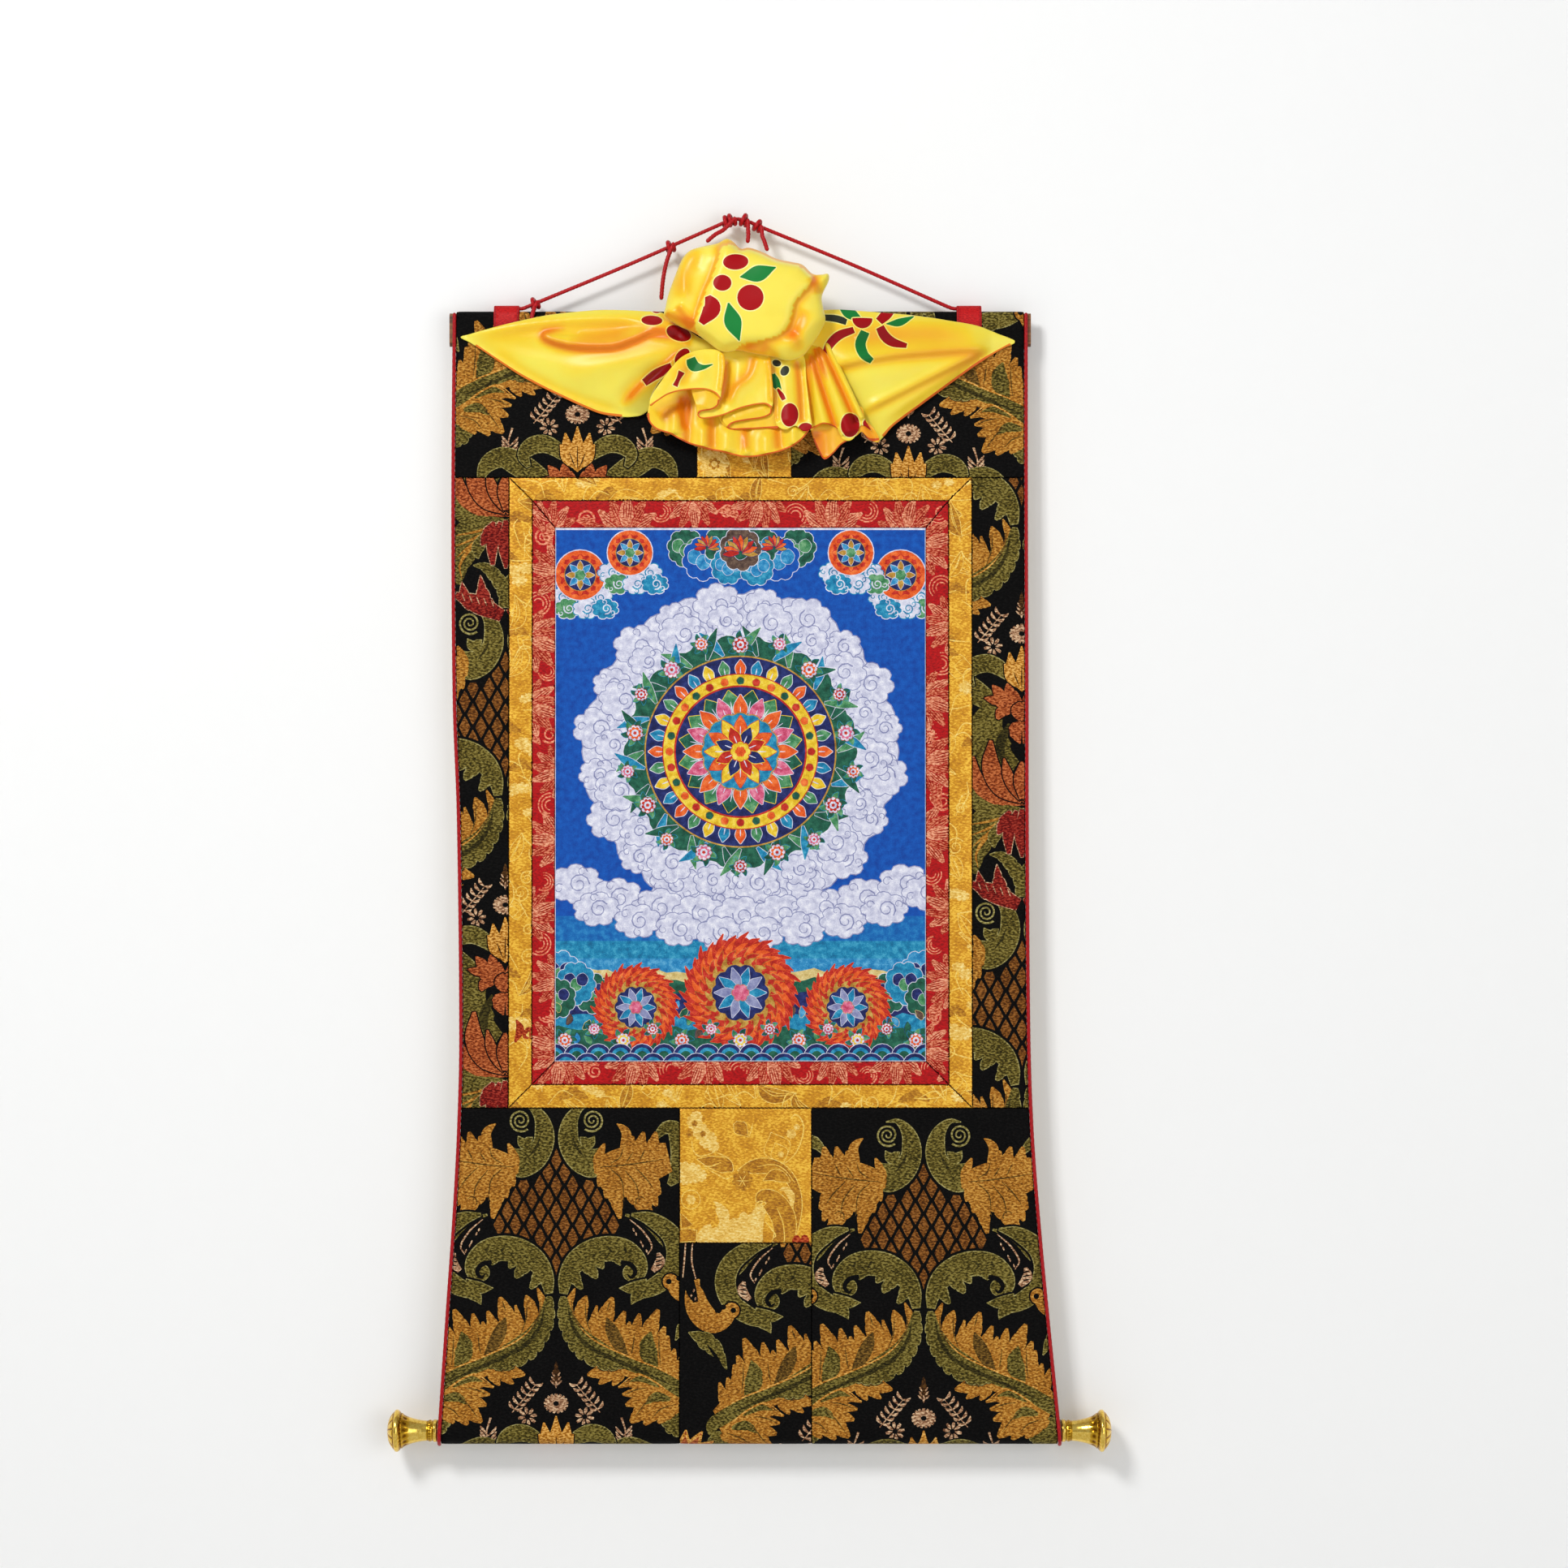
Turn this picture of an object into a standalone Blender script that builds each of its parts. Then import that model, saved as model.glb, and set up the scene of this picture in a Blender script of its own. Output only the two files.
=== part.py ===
"""Thangka scroll: a picture in a pieced brocade mount, hung by a cord from a batten and weighted by a rod.

Modelled in metres, +Z up, as it hangs flat, with the side that shows facing -Y. The origin is the point
that the hanging cord's underside rests on. Sizes and tables below are in millimetres, times MM.
"""

import math

import bmesh
import bpy
from mathutils import Vector

MM = 0.001
GAP = 0.3                     # between two pieces that touch
CLOTH = 1.2                   # brocade with its paste backing
RIBBON = 1.0

# Wooden parts
BATTEN_HEIGHT = 27.0
BATTEN_DEPTH = 8.0
BATTEN_OVERHANG = 2.6         # past the binding at each side
TOP_Z = -73.0                 # top edge of the cloth, below the point it hangs from
BATTEN_Z = TOP_Z - CLOTH - GAP - BATTEN_HEIGHT / 2
ROD_RADIUS = 9.0
ROD_Z = -973.8
ROD_Y = -10.0                 # the knobs are the rearmost part, behind the rod
TENON_RADIUS = 5.0
TENON_LENGTH = 15.0

# Outline of the mount with its red binding: height, left edge, right edge
OUTLINE = (
    (-73.0, -229.5, 233.6),
    (-230.0, -230.4, 233.6),
    (-390.0, -229.0, 234.0),
    (-480.0, -225.6, 234.0),
    (-660.0, -223.4, 235.2),
    (-735.0, -225.2, 237.8),
    (-800.0, -228.6, 242.6),
    (-870.0, -233.4, 249.0),
    (-974.0, -240.4, 259.3),
    (-990.0, -241.4, 260.6),
)
BINDING_RADIUS = 1.5

# Seams of the mount: the picture, the red and gold bands around it, and the panels beyond
PICTURE_LEFT, PICTURE_RIGHT = -146.6, 151.2
PICTURE_TOP, PICTURE_BOTTOM = -248.0, -676.6
RED_SIDE, RED_TOP, RED_BOTTOM = 18.5, 22.0, 18.6
GOLD_SIDE, GOLD_TOP, GOLD_BOTTOM = 18.8, 18.6, 18.8
FRAME_TOP = PICTURE_TOP + RED_TOP + GOLD_TOP
FRAME_BOTTOM = PICTURE_BOTTOM - RED_BOTTOM - GOLD_BOTTOM
FRAME_LEFT = PICTURE_LEFT - RED_SIDE - GOLD_SIDE
FRAME_RIGHT = PICTURE_RIGHT + RED_SIDE + GOLD_SIDE
DOOR_LEFT, DOOR_RIGHT = -46.5, 59.4
DOOR_BOTTOM = FRAME_BOTTOM - 108.0
TAB_LEFT, TAB_RIGHT, TAB_TOP = -32.7, 43.2, -146.0

# Soft waves of the hanging cloth: x, upper end, lower end, half width, how far it stands out
WAVES = (
    (-206.0, -250.0, -690.0, 12.0, 1.3),
    (214.0, -240.0, -520.0, 13.0, -1.1),
    (208.0, -470.0, -700.0, 12.0, 1.2),
    (-172.0, -730.0, -950.0, 20.0, -1.6),
    (-112.0, -725.0, -930.0, 24.0, 1.5),
    (5.0, -830.0, -955.0, 24.0, 1.3),
    (122.0, -740.0, -950.0, 22.0, -1.5),
    (186.0, -725.0, -950.0, 24.0, 1.8),
    (-60.0, -290.0, -640.0, 46.0, 1.2),
    (84.0, -270.0, -650.0, 42.0, 1.4),
    (-150.0, -118.0, -200.0, 26.0, -1.0),
    (160.0, -118.0, -200.0, 26.0, 0.9),
)

# Straps over the batten that hold the cord's ends: left side, right side
STRAPS = {"strap_left": (-196.4, -176.0), "strap_right": (176.4, 196.4)}
STRAP_LENGTH = 34.0

# Cords
CORD_RADIUS = 1.6
TIE_RADIUS = 1.8
TIE_STEPS = 12                # points in one turn round the cord
CORD_REST_Z = TOP_Z + GAP + CORD_RADIUS   # where it runs along the batten, under a strap
APEX_Z = CORD_RADIUS                      # its underside is at z = 0
CORD_ROUTE = (
    (-195.0, CORD_REST_Z),
    (-186.0, CORD_REST_Z),
    (-177.5, CORD_REST_Z),
    (-171.0, CORD_REST_Z + 1.2),
    (-163.0, CORD_REST_Z + 4.8),
    (-90.0, -36.0),
    (-19.0, -4.9),
    (-8.5, APEX_Z - 1.6),
    (0.0, APEX_Z),
    (8.5, APEX_Z - 1.6),
    (19.0, -4.9),
    (92.0, -35.0),
    (163.5, CORD_REST_Z + 4.6),
    (171.5, CORD_REST_Z + 1.1),
    (178.0, CORD_REST_Z),
    (186.5, CORD_REST_Z),
    (195.0, CORD_REST_Z),
)
# Ties hitched round the cord: place along x, turns, then the tail's points as x, y, z
TIES = {
    "tie_left": (-7.5, 2.5, ((-11.0, -6.0, -7.6), (-18.0, -7.8, -12.0), (-25.0, -8.6, -18.0))),
    "tie_right": (5.6, 1.5, ((8.4, -5.6, -7.6), (8.6, -6.6, -12.8), (8.0, -7.0, -18.5))),
    "tie_right_outer": (16.6, 1.5, ((19.8, -5.6, -12.4), (21.6, -6.8, -17.4), (24.0, -7.8, -25.0))),
    "tie_stay": (-55.0, 1.5, ((-57.0, -5.6, -33.0), (-60.0, -6.6, -48.0), (-61.5, -7.0, -64.2))),
    "knot_left": (-163.5, 1.5, ((-164.0, -6.4, -72.0), (-165.5, -8.0, -79.0), (-166.0, -8.0, -86.0))),
}

# Brass knob, turned: distance out from the cloth, radius
KNOB_PROFILE = (
    (0.0, 8.4),
    (3.0, 8.9),
    (4.5, 8.1),
    (12.0, 8.5),
    (20.0, 9.8),
    (26.0, 12.2),
    (30.0, 14.8),
    (31.5, 16.2),
    (33.6, 16.4),
    (35.0, 15.4),
    (38.0, 11.6),
    (39.8, 6.4),
    (40.6, 0.0),
)

# Yellow silk veil: one square of silk, its corners sewn to the batten's ends and its middle tied up.
SILK = 1.6
# Wing stations from the sewn corner to the tie: x, upper edge, lower edge, clearance, belly
LEFT_WING = (
    (-223.4, -87.6, -90.6, 6.2, 0.0),
    (-202.0, -82.2, -102.6, 7.6, 2.0),
    (-170.0, -75.5, -122.0, 8.2, 4.5),
    (-137.0, -70.7, -138.0, 8.4, 7.0),
    (-110.0, -67.8, -147.4, 8.6, 9.0),
    (-88.0, -65.8, -153.2, 9.0, 10.0),
    (-73.0, -65.2, -154.6, 9.5, 10.5),
    (-62.0, -66.4, -149.0, 10.0, 10.5),
    (-50.0, -72.0, -136.0, 11.0, 10.0),
    (-36.0, -84.0, -118.0, 13.0, 7.0),
    (-16.0, -93.0, -108.0, 16.0, 3.0),
)
RIGHT_WING = (
    (222.2, -87.6, -90.6, 6.2, 0.0),
    (190.5, -77.9, -115.2, 7.8, 3.0),
    (164.3, -73.3, -136.8, 8.2, 5.5),
    (138.1, -70.0, -157.7, 8.6, 8.0),
    (116.0, -68.7, -175.8, 9.0, 9.5),
    (104.0, -68.4, -166.0, 9.5, 10.5),
    (92.0, -68.0, -150.0, 10.0, 11.0),
    (78.0, -68.4, -128.0, 11.0, 10.5),
    (60.0, -74.0, -114.0, 13.0, 8.0),
    (34.0, -88.0, -108.0, 16.0, 3.0),
)
# Creases of the wings: start, middle and end as x, z, then half widths above and below, and height
LEFT_CREASES = (
    ((-205.0, -86.0), (-140.0, -76.0), (-58.0, -71.0), 7.0, 5.0, 4.2),
    ((-160.0, -88.0), (-112.0, -84.0), (-52.0, -82.0), 5.0, 4.0, -2.6),
    ((-140.0, -97.0), (-100.0, -92.0), (-50.0, -88.0), 6.0, 4.0, 3.8),
    ((-136.0, -99.0), (-100.0, -107.0), (-66.0, -98.0), 4.0, 6.0, -3.6),
    ((-82.0, -151.0), (-66.0, -136.0), (-44.0, -114.0), 5.0, 7.0, 4.6),
    ((-94.0, -146.0), (-84.0, -128.0), (-62.0, -110.0), 9.0, 6.0, -3.0),
)
RIGHT_CREASES = (
    ((210.0, -86.0), (150.0, -82.0), (74.0, -80.0), 9.0, 10.0, 4.0),
    ((204.0, -96.0), (150.0, -103.0), (84.0, -114.0), 9.0, 4.0, 3.4),
    ((196.0, -100.0), (150.0, -110.0), (92.0, -120.0), 4.0, 7.0, -2.4),
    ((200.0, -104.0), (160.0, -124.0), (108.0, -150.0), 7.0, 5.0, 1.8),
    ((190.0, -110.0), (150.0, -134.0), (112.0, -160.0), 4.0, 5.0, -1.6),
)
# Skirts of the gathered silk below the tie, the rearmost first: reach, lean forward, waves, wave depth
TIE_POINT = (-8.0, -100.0)
SKIRTS = (
    (90.0, 15.0, 18.0, 4.5, 2.6),
    (80.0, 20.0, 27.0, 3.5, 3.6),
    (62.0, 26.0, 36.0, 2.5, 4.4),
)
SKIRT_ANGLES = (219.0, 313.0)
# How far the rim of the skirts reaches, as a share of their reach, from left to right
SKIRT_RIM = ((0.0, 0.96), (0.2, 0.97), (0.45, 0.96), (0.7, 1.03), (0.9, 1.08), (1.0, 1.02))
# Pleats at the right of the tie: x and z at the tie, x and z at the hem
PLEAT_EDGES = (
    (44.0, -100.0, 59.0, -171.0),
    (49.0, -98.0, 72.5, -189.0),
    (55.0, -95.0, 84.0, -172.0),
    (61.0, -92.0, 91.5, -173.0),
    (67.0, -89.0, 99.0, -160.0),
    (73.0, -86.0, 114.0, -175.0),
)
PLEAT_CLEARANCE = 19.0
PLEAT_DEPTH = 6.0
# The gathered lump behind the rosette that the veil's parts meet in
KNOT_MIDDLE = (8.0, -22.0, -98.0)
KNOT_RIM = ((0.0, 52.0), (90.0, 18.0), (180.0, 38.0), (270.0, 18.0), (360.0, 52.0))
KNOT_DEPTH = 11.0
# Rosette: outline as angle in degrees and reach from its middle
ROSETTE_MIDDLE = (10.0, -31.0, -62.0)
ROSETTE_DEPTH = 22.0
ROSETTE_RIM = (
    (0.0, 58.7), (16.0, 64.0), (33.0, 49.6), (51.0, 41.2), (68.0, 38.6), (84.0, 39.6), (99.0, 42.0),
    (111.0, 50.6), (130.0, 56.0), (146.0, 62.6), (161.0, 63.4), (173.0, 65.6), (186.0, 69.0),
    (212.0, 54.0), (228.0, 50.0), (245.0, 48.4), (262.0, 44.0), (284.0, 50.0), (302.0, 58.0),
    (314.0, 63.0), (332.0, 62.5), (345.0, 62.8), (360.0, 58.7),
)
ROSETTE_CREASES = (
    ((-4.0, -20.0), (-12.0, -48.0), (-20.0, -84.0), 9.0, 5.0, -5.0),
    ((-18.0, -24.0), (-28.0, -50.0), (-30.0, -76.0), 8.0, 8.0, 4.0),
    ((56.0, -50.0), (40.0, -88.0), (4.0, -104.0), 6.0, 9.0, -4.5),
    ((8.0, -30.0), (12.0, -60.0), (2.0, -92.0), 22.0, 22.0, 5.0),
)


def smooth(table, at, column):
    """The table's value at a place, on a smooth curve through its rows. Column 0 holds the places."""
    rows = sorted(table)
    at = min(max(at, rows[0][0]), rows[-1][0])
    k = max(i for i in range(len(rows) - 1) if rows[i][0] <= at)
    before, start, end, after = (rows[min(max(k + i, 0), len(rows) - 1)] for i in (-1, 0, 1, 2))
    span = end[0] - start[0]
    t = (at - start[0]) / span
    slope_in = (end[column] - before[column]) / max(end[0] - before[0], 1e-9) * span
    slope_out = (after[column] - start[column]) / max(after[0] - start[0], 1e-9) * span
    return (
        start[column] * (2 * t**3 - 3 * t**2 + 1)
        + slope_in * (t**3 - 2 * t**2 + t)
        + end[column] * (3 * t**2 - 2 * t**3)
        + slope_out * (t**3 - t**2)
    )


def mix(a, b, t):
    """The value that lies the share t of the way from a to b."""
    return a + (b - a) * t


def left_edge(z):
    """Outer left edge of the mount's cloth at a height, inside the binding."""
    return smooth(OUTLINE, z, 1) + 2 * BINDING_RADIUS + GAP


def right_edge(z):
    """Outer right edge of the mount's cloth at a height, inside the binding."""
    return smooth(OUTLINE, z, 2) - 2 * BINDING_RADIUS - GAP


BATTEN_FACE_Y = -(BATTEN_DEPTH / 2 + GAP)            # back of the cloth in front of the batten
SLEEVE_RADIUS = ROD_RADIUS + GAP                     # inside of the cloth round the rod
SHEET_TOP_Z = BATTEN_Z - BATTEN_HEIGHT / 2


def sheet_back(x, z):
    """Back of the hanging cloth at a place: a straight fall from batten to rod, with its waves."""
    share = min(max((SHEET_TOP_Z - z) / (SHEET_TOP_Z - ROD_Z), 0.0), 1.0)
    y = mix(BATTEN_FACE_Y, ROD_Y - SLEEVE_RADIUS, share)
    for middle, upper, lower, width, height in WAVES:
        if lower < z < upper:
            along = math.sin(math.pi * (z - lower) / (upper - lower)) ** 2
            y -= height * along * math.exp(-(((x - middle) / width) ** 2))
    return y


def material(name, colour, roughness, metallic=0.0):
    """A Principled BSDF of one colour."""
    made = bpy.data.materials.new(name)
    made.use_nodes = True
    shader = made.node_tree.nodes["Principled BSDF"]
    shader.inputs["Base Color"].default_value = (*colour, 1.0)
    shader.inputs["Roughness"].default_value = roughness
    shader.inputs["Metallic"].default_value = metallic
    made.diffuse_color = (*colour, 1.0)
    return made


def solid(name, finish, points, faces, smooth_angle=None):
    """A named object from points in millimetres, its faces turned outwards."""
    mesh = bpy.data.meshes.new(name)
    mesh.from_pydata([Vector(p) * MM for p in points], [], faces)
    shape = bmesh.new()
    shape.from_mesh(mesh)
    bmesh.ops.recalc_face_normals(shape, faces=shape.faces)
    shape.to_mesh(mesh)
    shape.free()
    if smooth_angle is not None:
        mesh.shade_smooth()
        mesh.set_sharp_from_angle(angle=math.radians(smooth_angle))
    mesh.materials.append(finish)
    made = bpy.data.objects.new(name, mesh)
    bpy.context.scene.collection.objects.link(made)
    return made


def sheet(name, finish, front, back):
    """A closed sheet between two grids of points, row by row."""
    rows, columns = len(front), len(front[0])
    behind = rows * columns
    points = [p for row in front for p in row] + [p for row in back for p in row]
    faces = []
    for i in range(rows - 1):
        for j in range(columns - 1):
            k = i * columns + j
            quad = (k, k + 1, k + columns + 1, k + columns)
            faces += [quad, tuple(behind + q for q in reversed(quad))]
    rim = (
        list(range(columns))
        + [i * columns + columns - 1 for i in range(1, rows)]
        + [(rows - 1) * columns + j for j in range(columns - 2, -1, -1)]
        + [i * columns for i in range(rows - 2, 0, -1)]
    )
    faces += [(b, a, behind + a, behind + b) for a, b in zip(rim, rim[1:] + rim[:1])]
    return solid(name, finish, points, faces, smooth_angle=40)


def flat_piece(name, finish, place, across, down, proud=0.0):
    """A cut piece of the mount in the plane of its cloth. place(u, v) gives x and z for shares of its cut."""
    front, back = [], []
    for i in range(down + 1):
        spots = [place(j / across, i / down) for j in range(across + 1)]
        back.append([(x, sheet_back(x, z) - proud, z) for x, z in spots])
        front.append([(x, sheet_back(x, z) - proud - CLOTH, z) for x, z in spots])
    return sheet(name, finish, front, back)


def four_sided(top_left, top_right, bottom_left, bottom_right):
    """A place function for a piece with four straight sides."""

    def place(u, v):
        left = [mix(a, b, v) for a, b in zip(top_left, bottom_left)]
        right = [mix(a, b, v) for a, b in zip(top_right, bottom_right)]
        return mix(left[0], right[0], u), mix(left[1], right[1], u)

    return place


def rectangle(left, right, top, bottom):
    """A rectangle, cut half a gap inside its seams."""
    g = GAP / 2
    return four_sided(
        (left + g, top - g), (right - g, top - g), (left + g, bottom + g), (right - g, bottom + g)
    )


def band(outer, inner, side):
    """One mitred strip between two rectangles, each given as left, right, top and bottom."""
    g = GAP / 2
    m = g * math.sqrt(2)
    (ol, o_r, ot, ob), (il, ir, it, ib) = outer, inner
    corners = {
        "top": ((ol + g + m, ot - g), (o_r - g - m, ot - g), (il + m, it + g), (ir - m, it + g)),
        "bottom": ((il + m, ib - g), (ir - m, ib - g), (ol + g + m, ob + g), (o_r - g - m, ob + g)),
        "left": ((ol + g, ot - g - m), (il - g, it - m), (ol + g, ob + g + m), (il - g, ib + m)),
        "right": ((ir + g, it - m), (o_r - g, ot - g - m), (ir + g, ib + m), (o_r - g, ob + g + m)),
    }
    return four_sided(*corners[side])


def wrapped_piece(name, finish, left, right, path, across):
    """A panel that turns round a batten or rod. left and right give the sides of its cut at a height. path has
    a row for each line of its inner face: whether y is counted from the hanging sheet, y, z, and the direction
    in which its outer face lies, as y and z."""
    front, back = [], []
    for follows, y, z, out_y, out_z in path:
        near = min(max(z, ROD_Z - SLEEVE_RADIUS), TOP_Z)
        row_front, row_back = [], []
        for j in range(across + 1):
            x = mix(left(near), right(near), j / across)
            inner = y + (sheet_back(x, z) if follows else 0.0)
            row_back.append((x, inner, z))
            row_front.append((x, inner + CLOTH * out_y, z + CLOTH * out_z))
        front.append(row_front)
        back.append(row_back)
    return sheet(name, finish, front, back)


def turn(middle_y, middle_z, radius, start, end, steps):
    """Rows of a path on an arc, from one angle to another in degrees, facing outwards."""
    rows = []
    for i in range(steps + 1):
        a = math.radians(mix(start, end, i / steps))
        out_y, out_z = math.cos(a), math.sin(a)
        rows.append((False, middle_y + radius * out_y, middle_z + radius * out_z, out_y, out_z))
    return rows


def top_path():
    """From the frame's seam up the front, over the batten and down to the hem behind."""
    half = BATTEN_DEPTH / 2
    round_z = BATTEN_Z + BATTEN_HEIGHT / 2 - half
    fall = [(True, 0.0, mix(FRAME_TOP - GAP / 2, SHEET_TOP_Z, i / 5), -1.0, 0.0) for i in range(6)]
    over = turn(0.0, round_z, half + GAP, 180.0, 0.0, 8)
    behind = [
        (False, half + GAP, SHEET_TOP_Z + half, 1.0, 0.0),
        (False, half * 0.7, SHEET_TOP_Z - 2.2, 0.8, -0.6),
        (True, 1.0, SHEET_TOP_Z - 6.0, 0.95, -0.3),
        (True, 0.8, SHEET_TOP_Z - 14.0, 1.0, 0.0),
    ]
    return fall + over + behind


def bottom_path(top):
    """From a seam down the front, under the rod and up to the hem behind."""
    fall = [(True, 0.0, mix(top - GAP / 2, ROD_Z, i / 9), -1.0, 0.0) for i in range(9)]
    under = turn(ROD_Y, ROD_Z, SLEEVE_RADIUS, 180.0, 414.0, 14)
    behind = [
        (True, 1.4, ROD_Z + 18.0, 0.8, 0.6),
        (True, 0.8, ROD_Z + 24.0, 0.97, 0.25),
        (True, 0.8, ROD_Z + 34.0, 1.0, 0.0),
    ]
    return fall + under + behind


def cut_side(x):
    """A straight side at one x, at every height."""
    return lambda z: x


def tube(name, finish, points, radius, resolution=2):
    """A round cord or bar along points in millimetres, with closed ends."""
    curve = bpy.data.curves.new(name, "CURVE")
    curve.dimensions = "3D"
    curve.bevel_depth = radius * MM
    curve.bevel_resolution = resolution
    curve.use_fill_caps = True
    spline = curve.splines.new("POLY")
    spline.points.add(len(points) - 1)
    for spot, p in zip(spline.points, points):
        spot.co = (*(Vector(p) * MM), 1.0)
    curve.materials.append(finish)
    made = bpy.data.objects.new(name, curve)
    bpy.context.scene.collection.objects.link(made)
    return made


def along(points, step):
    """Points a step apart on a smooth curve through the given ones."""
    points = [Vector(p) for p in points]
    ends = [points[0] * 2 - points[1], *points, points[-1] * 2 - points[-2]]
    fine = []
    for a, b, c, d in zip(ends, ends[1:], ends[2:], ends[3:]):
        for i in range(16):
            t = i / 16
            fine.append(
                0.5 * (2 * b + (c - a) * t + (2 * a - 5 * b + 4 * c - d) * t**2 + (3 * b - a - 3 * c + d) * t**3)
            )
    fine.append(points[-1])
    lengths = [0.0]
    for a, b in zip(fine, fine[1:]):
        lengths.append(lengths[-1] + (b - a).length)
    count = max(2, round(lengths[-1] / step))
    spaced, k = [], 0
    for i in range(count + 1):
        want = lengths[-1] * i / count
        while k < len(fine) - 2 and lengths[k + 1] < want:
            k += 1
        spaced.append(fine[k].lerp(fine[k + 1], (want - lengths[k]) / max(lengths[k + 1] - lengths[k], 1e-9)))
    return spaced


def lathe(name, finish, profile, steps, axis_y, axis_z, x_start, outwards):
    """A turned solid about a line along X. profile has rows of distance along the line and radius."""
    points, faces = [], []
    rings = [row for row in profile if row[1] > 0]
    for distance, radius in rings:
        for k in range(steps):
            a = 2 * math.pi * k / steps
            points.append(
                (x_start + outwards * distance, axis_y + radius * math.cos(a), axis_z + radius * math.sin(a))
            )
    for i in range(len(rings) - 1):
        for k in range(steps):
            n = (k + 1) % steps
            faces.append((i * steps + k, i * steps + n, (i + 1) * steps + n, (i + 1) * steps + k))
    for ring, row in ((0, profile[0]), (len(rings) - 1, profile[-1])):
        hub = len(points)
        points.append((x_start + outwards * row[0], axis_y, axis_z))
        faces += [(ring * steps + k, ring * steps + (k + 1) % steps, hub) for k in range(steps)]
    return solid(name, finish, points, faces, smooth_angle=35)


def build_panels(brocade, gold, red, canvas):
    """The cut and sewn pieces of the mount, and the picture in the middle."""
    wrapped_piece("top_panel", brocade, left_edge, right_edge, top_path(), 12)
    for name, finish, left, right in (
        ("side_panel_left", brocade, left_edge, cut_side(FRAME_LEFT - GAP / 2)),
        ("side_panel_right", brocade, cut_side(FRAME_RIGHT + GAP / 2), right_edge),
    ):
        flat_piece(name, finish, side_strip(left, right), 3, 14)
    g = GAP / 2
    wrapped_piece(
        "bottom_panel_left", brocade, left_edge, cut_side(DOOR_LEFT - g), bottom_path(FRAME_BOTTOM), 6
    )
    wrapped_piece(
        "bottom_panel_centre", brocade, cut_side(DOOR_LEFT + g), cut_side(DOOR_RIGHT - g),
        bottom_path(DOOR_BOTTOM), 4
    )
    wrapped_piece(
        "bottom_panel_right", brocade, cut_side(DOOR_RIGHT + g), right_edge, bottom_path(FRAME_BOTTOM), 6
    )
    flat_piece("gold_door", gold, rectangle(DOOR_LEFT, DOOR_RIGHT, FRAME_BOTTOM, DOOR_BOTTOM), 4, 4)
    flat_piece(
        "gold_tab", gold, rectangle(TAB_LEFT, TAB_RIGHT, TAB_TOP, FRAME_TOP), 3, 3, proud=CLOTH + GAP
    )
    picture = (PICTURE_LEFT, PICTURE_RIGHT, PICTURE_TOP, PICTURE_BOTTOM)
    red_edge = (
        PICTURE_LEFT - RED_SIDE, PICTURE_RIGHT + RED_SIDE, PICTURE_TOP + RED_TOP, PICTURE_BOTTOM - RED_BOTTOM
    )
    gold_edge = (FRAME_LEFT, FRAME_RIGHT, FRAME_TOP, FRAME_BOTTOM)
    for side in ("top", "bottom", "left", "right"):
        across, down = (9, 1) if side in ("top", "bottom") else (1, 12)
        flat_piece(f"gold_band_{side}", gold, band(gold_edge, red_edge, side), across, down)
        flat_piece(f"red_band_{side}", red, band(red_edge, picture, side), across, down)
    flat_piece("picture", canvas, rectangle(*picture), 8, 10)


def side_strip(left, right):
    """A place function for the panel beside the frame, between two sides that may curve."""

    def place(u, v):
        z = mix(FRAME_TOP - GAP / 2, FRAME_BOTTOM + GAP / 2, v)
        return mix(left(z), right(z), u), z

    return place


def build_binding(finish):
    """The red cord-filled binding down both sides and under the rod's sleeve."""
    reach = SLEEVE_RADIUS + CLOTH / 2 + 0.9
    for name, column, inwards in (("binding_left", 1, 1), ("binding_right", 2, -1)):
        points = []
        for i in range(27):
            z = mix(TOP_Z - 1.8, ROD_Z, i / 26)
            x = smooth(OUTLINE, z, column) + inwards * BINDING_RADIUS
            points.append((x, sheet_back(x, z) - CLOTH / 2 - 0.9, z))
        for i in range(1, 7):
            a = math.radians(mix(180.0, 275.0, i / 6))
            z = ROD_Z + reach * math.sin(a)
            x = smooth(OUTLINE, z, column) + inwards * BINDING_RADIUS
            points.append((x, ROD_Y + reach * math.cos(a), z))
        tube(name, finish, points, BINDING_RADIUS)


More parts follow.
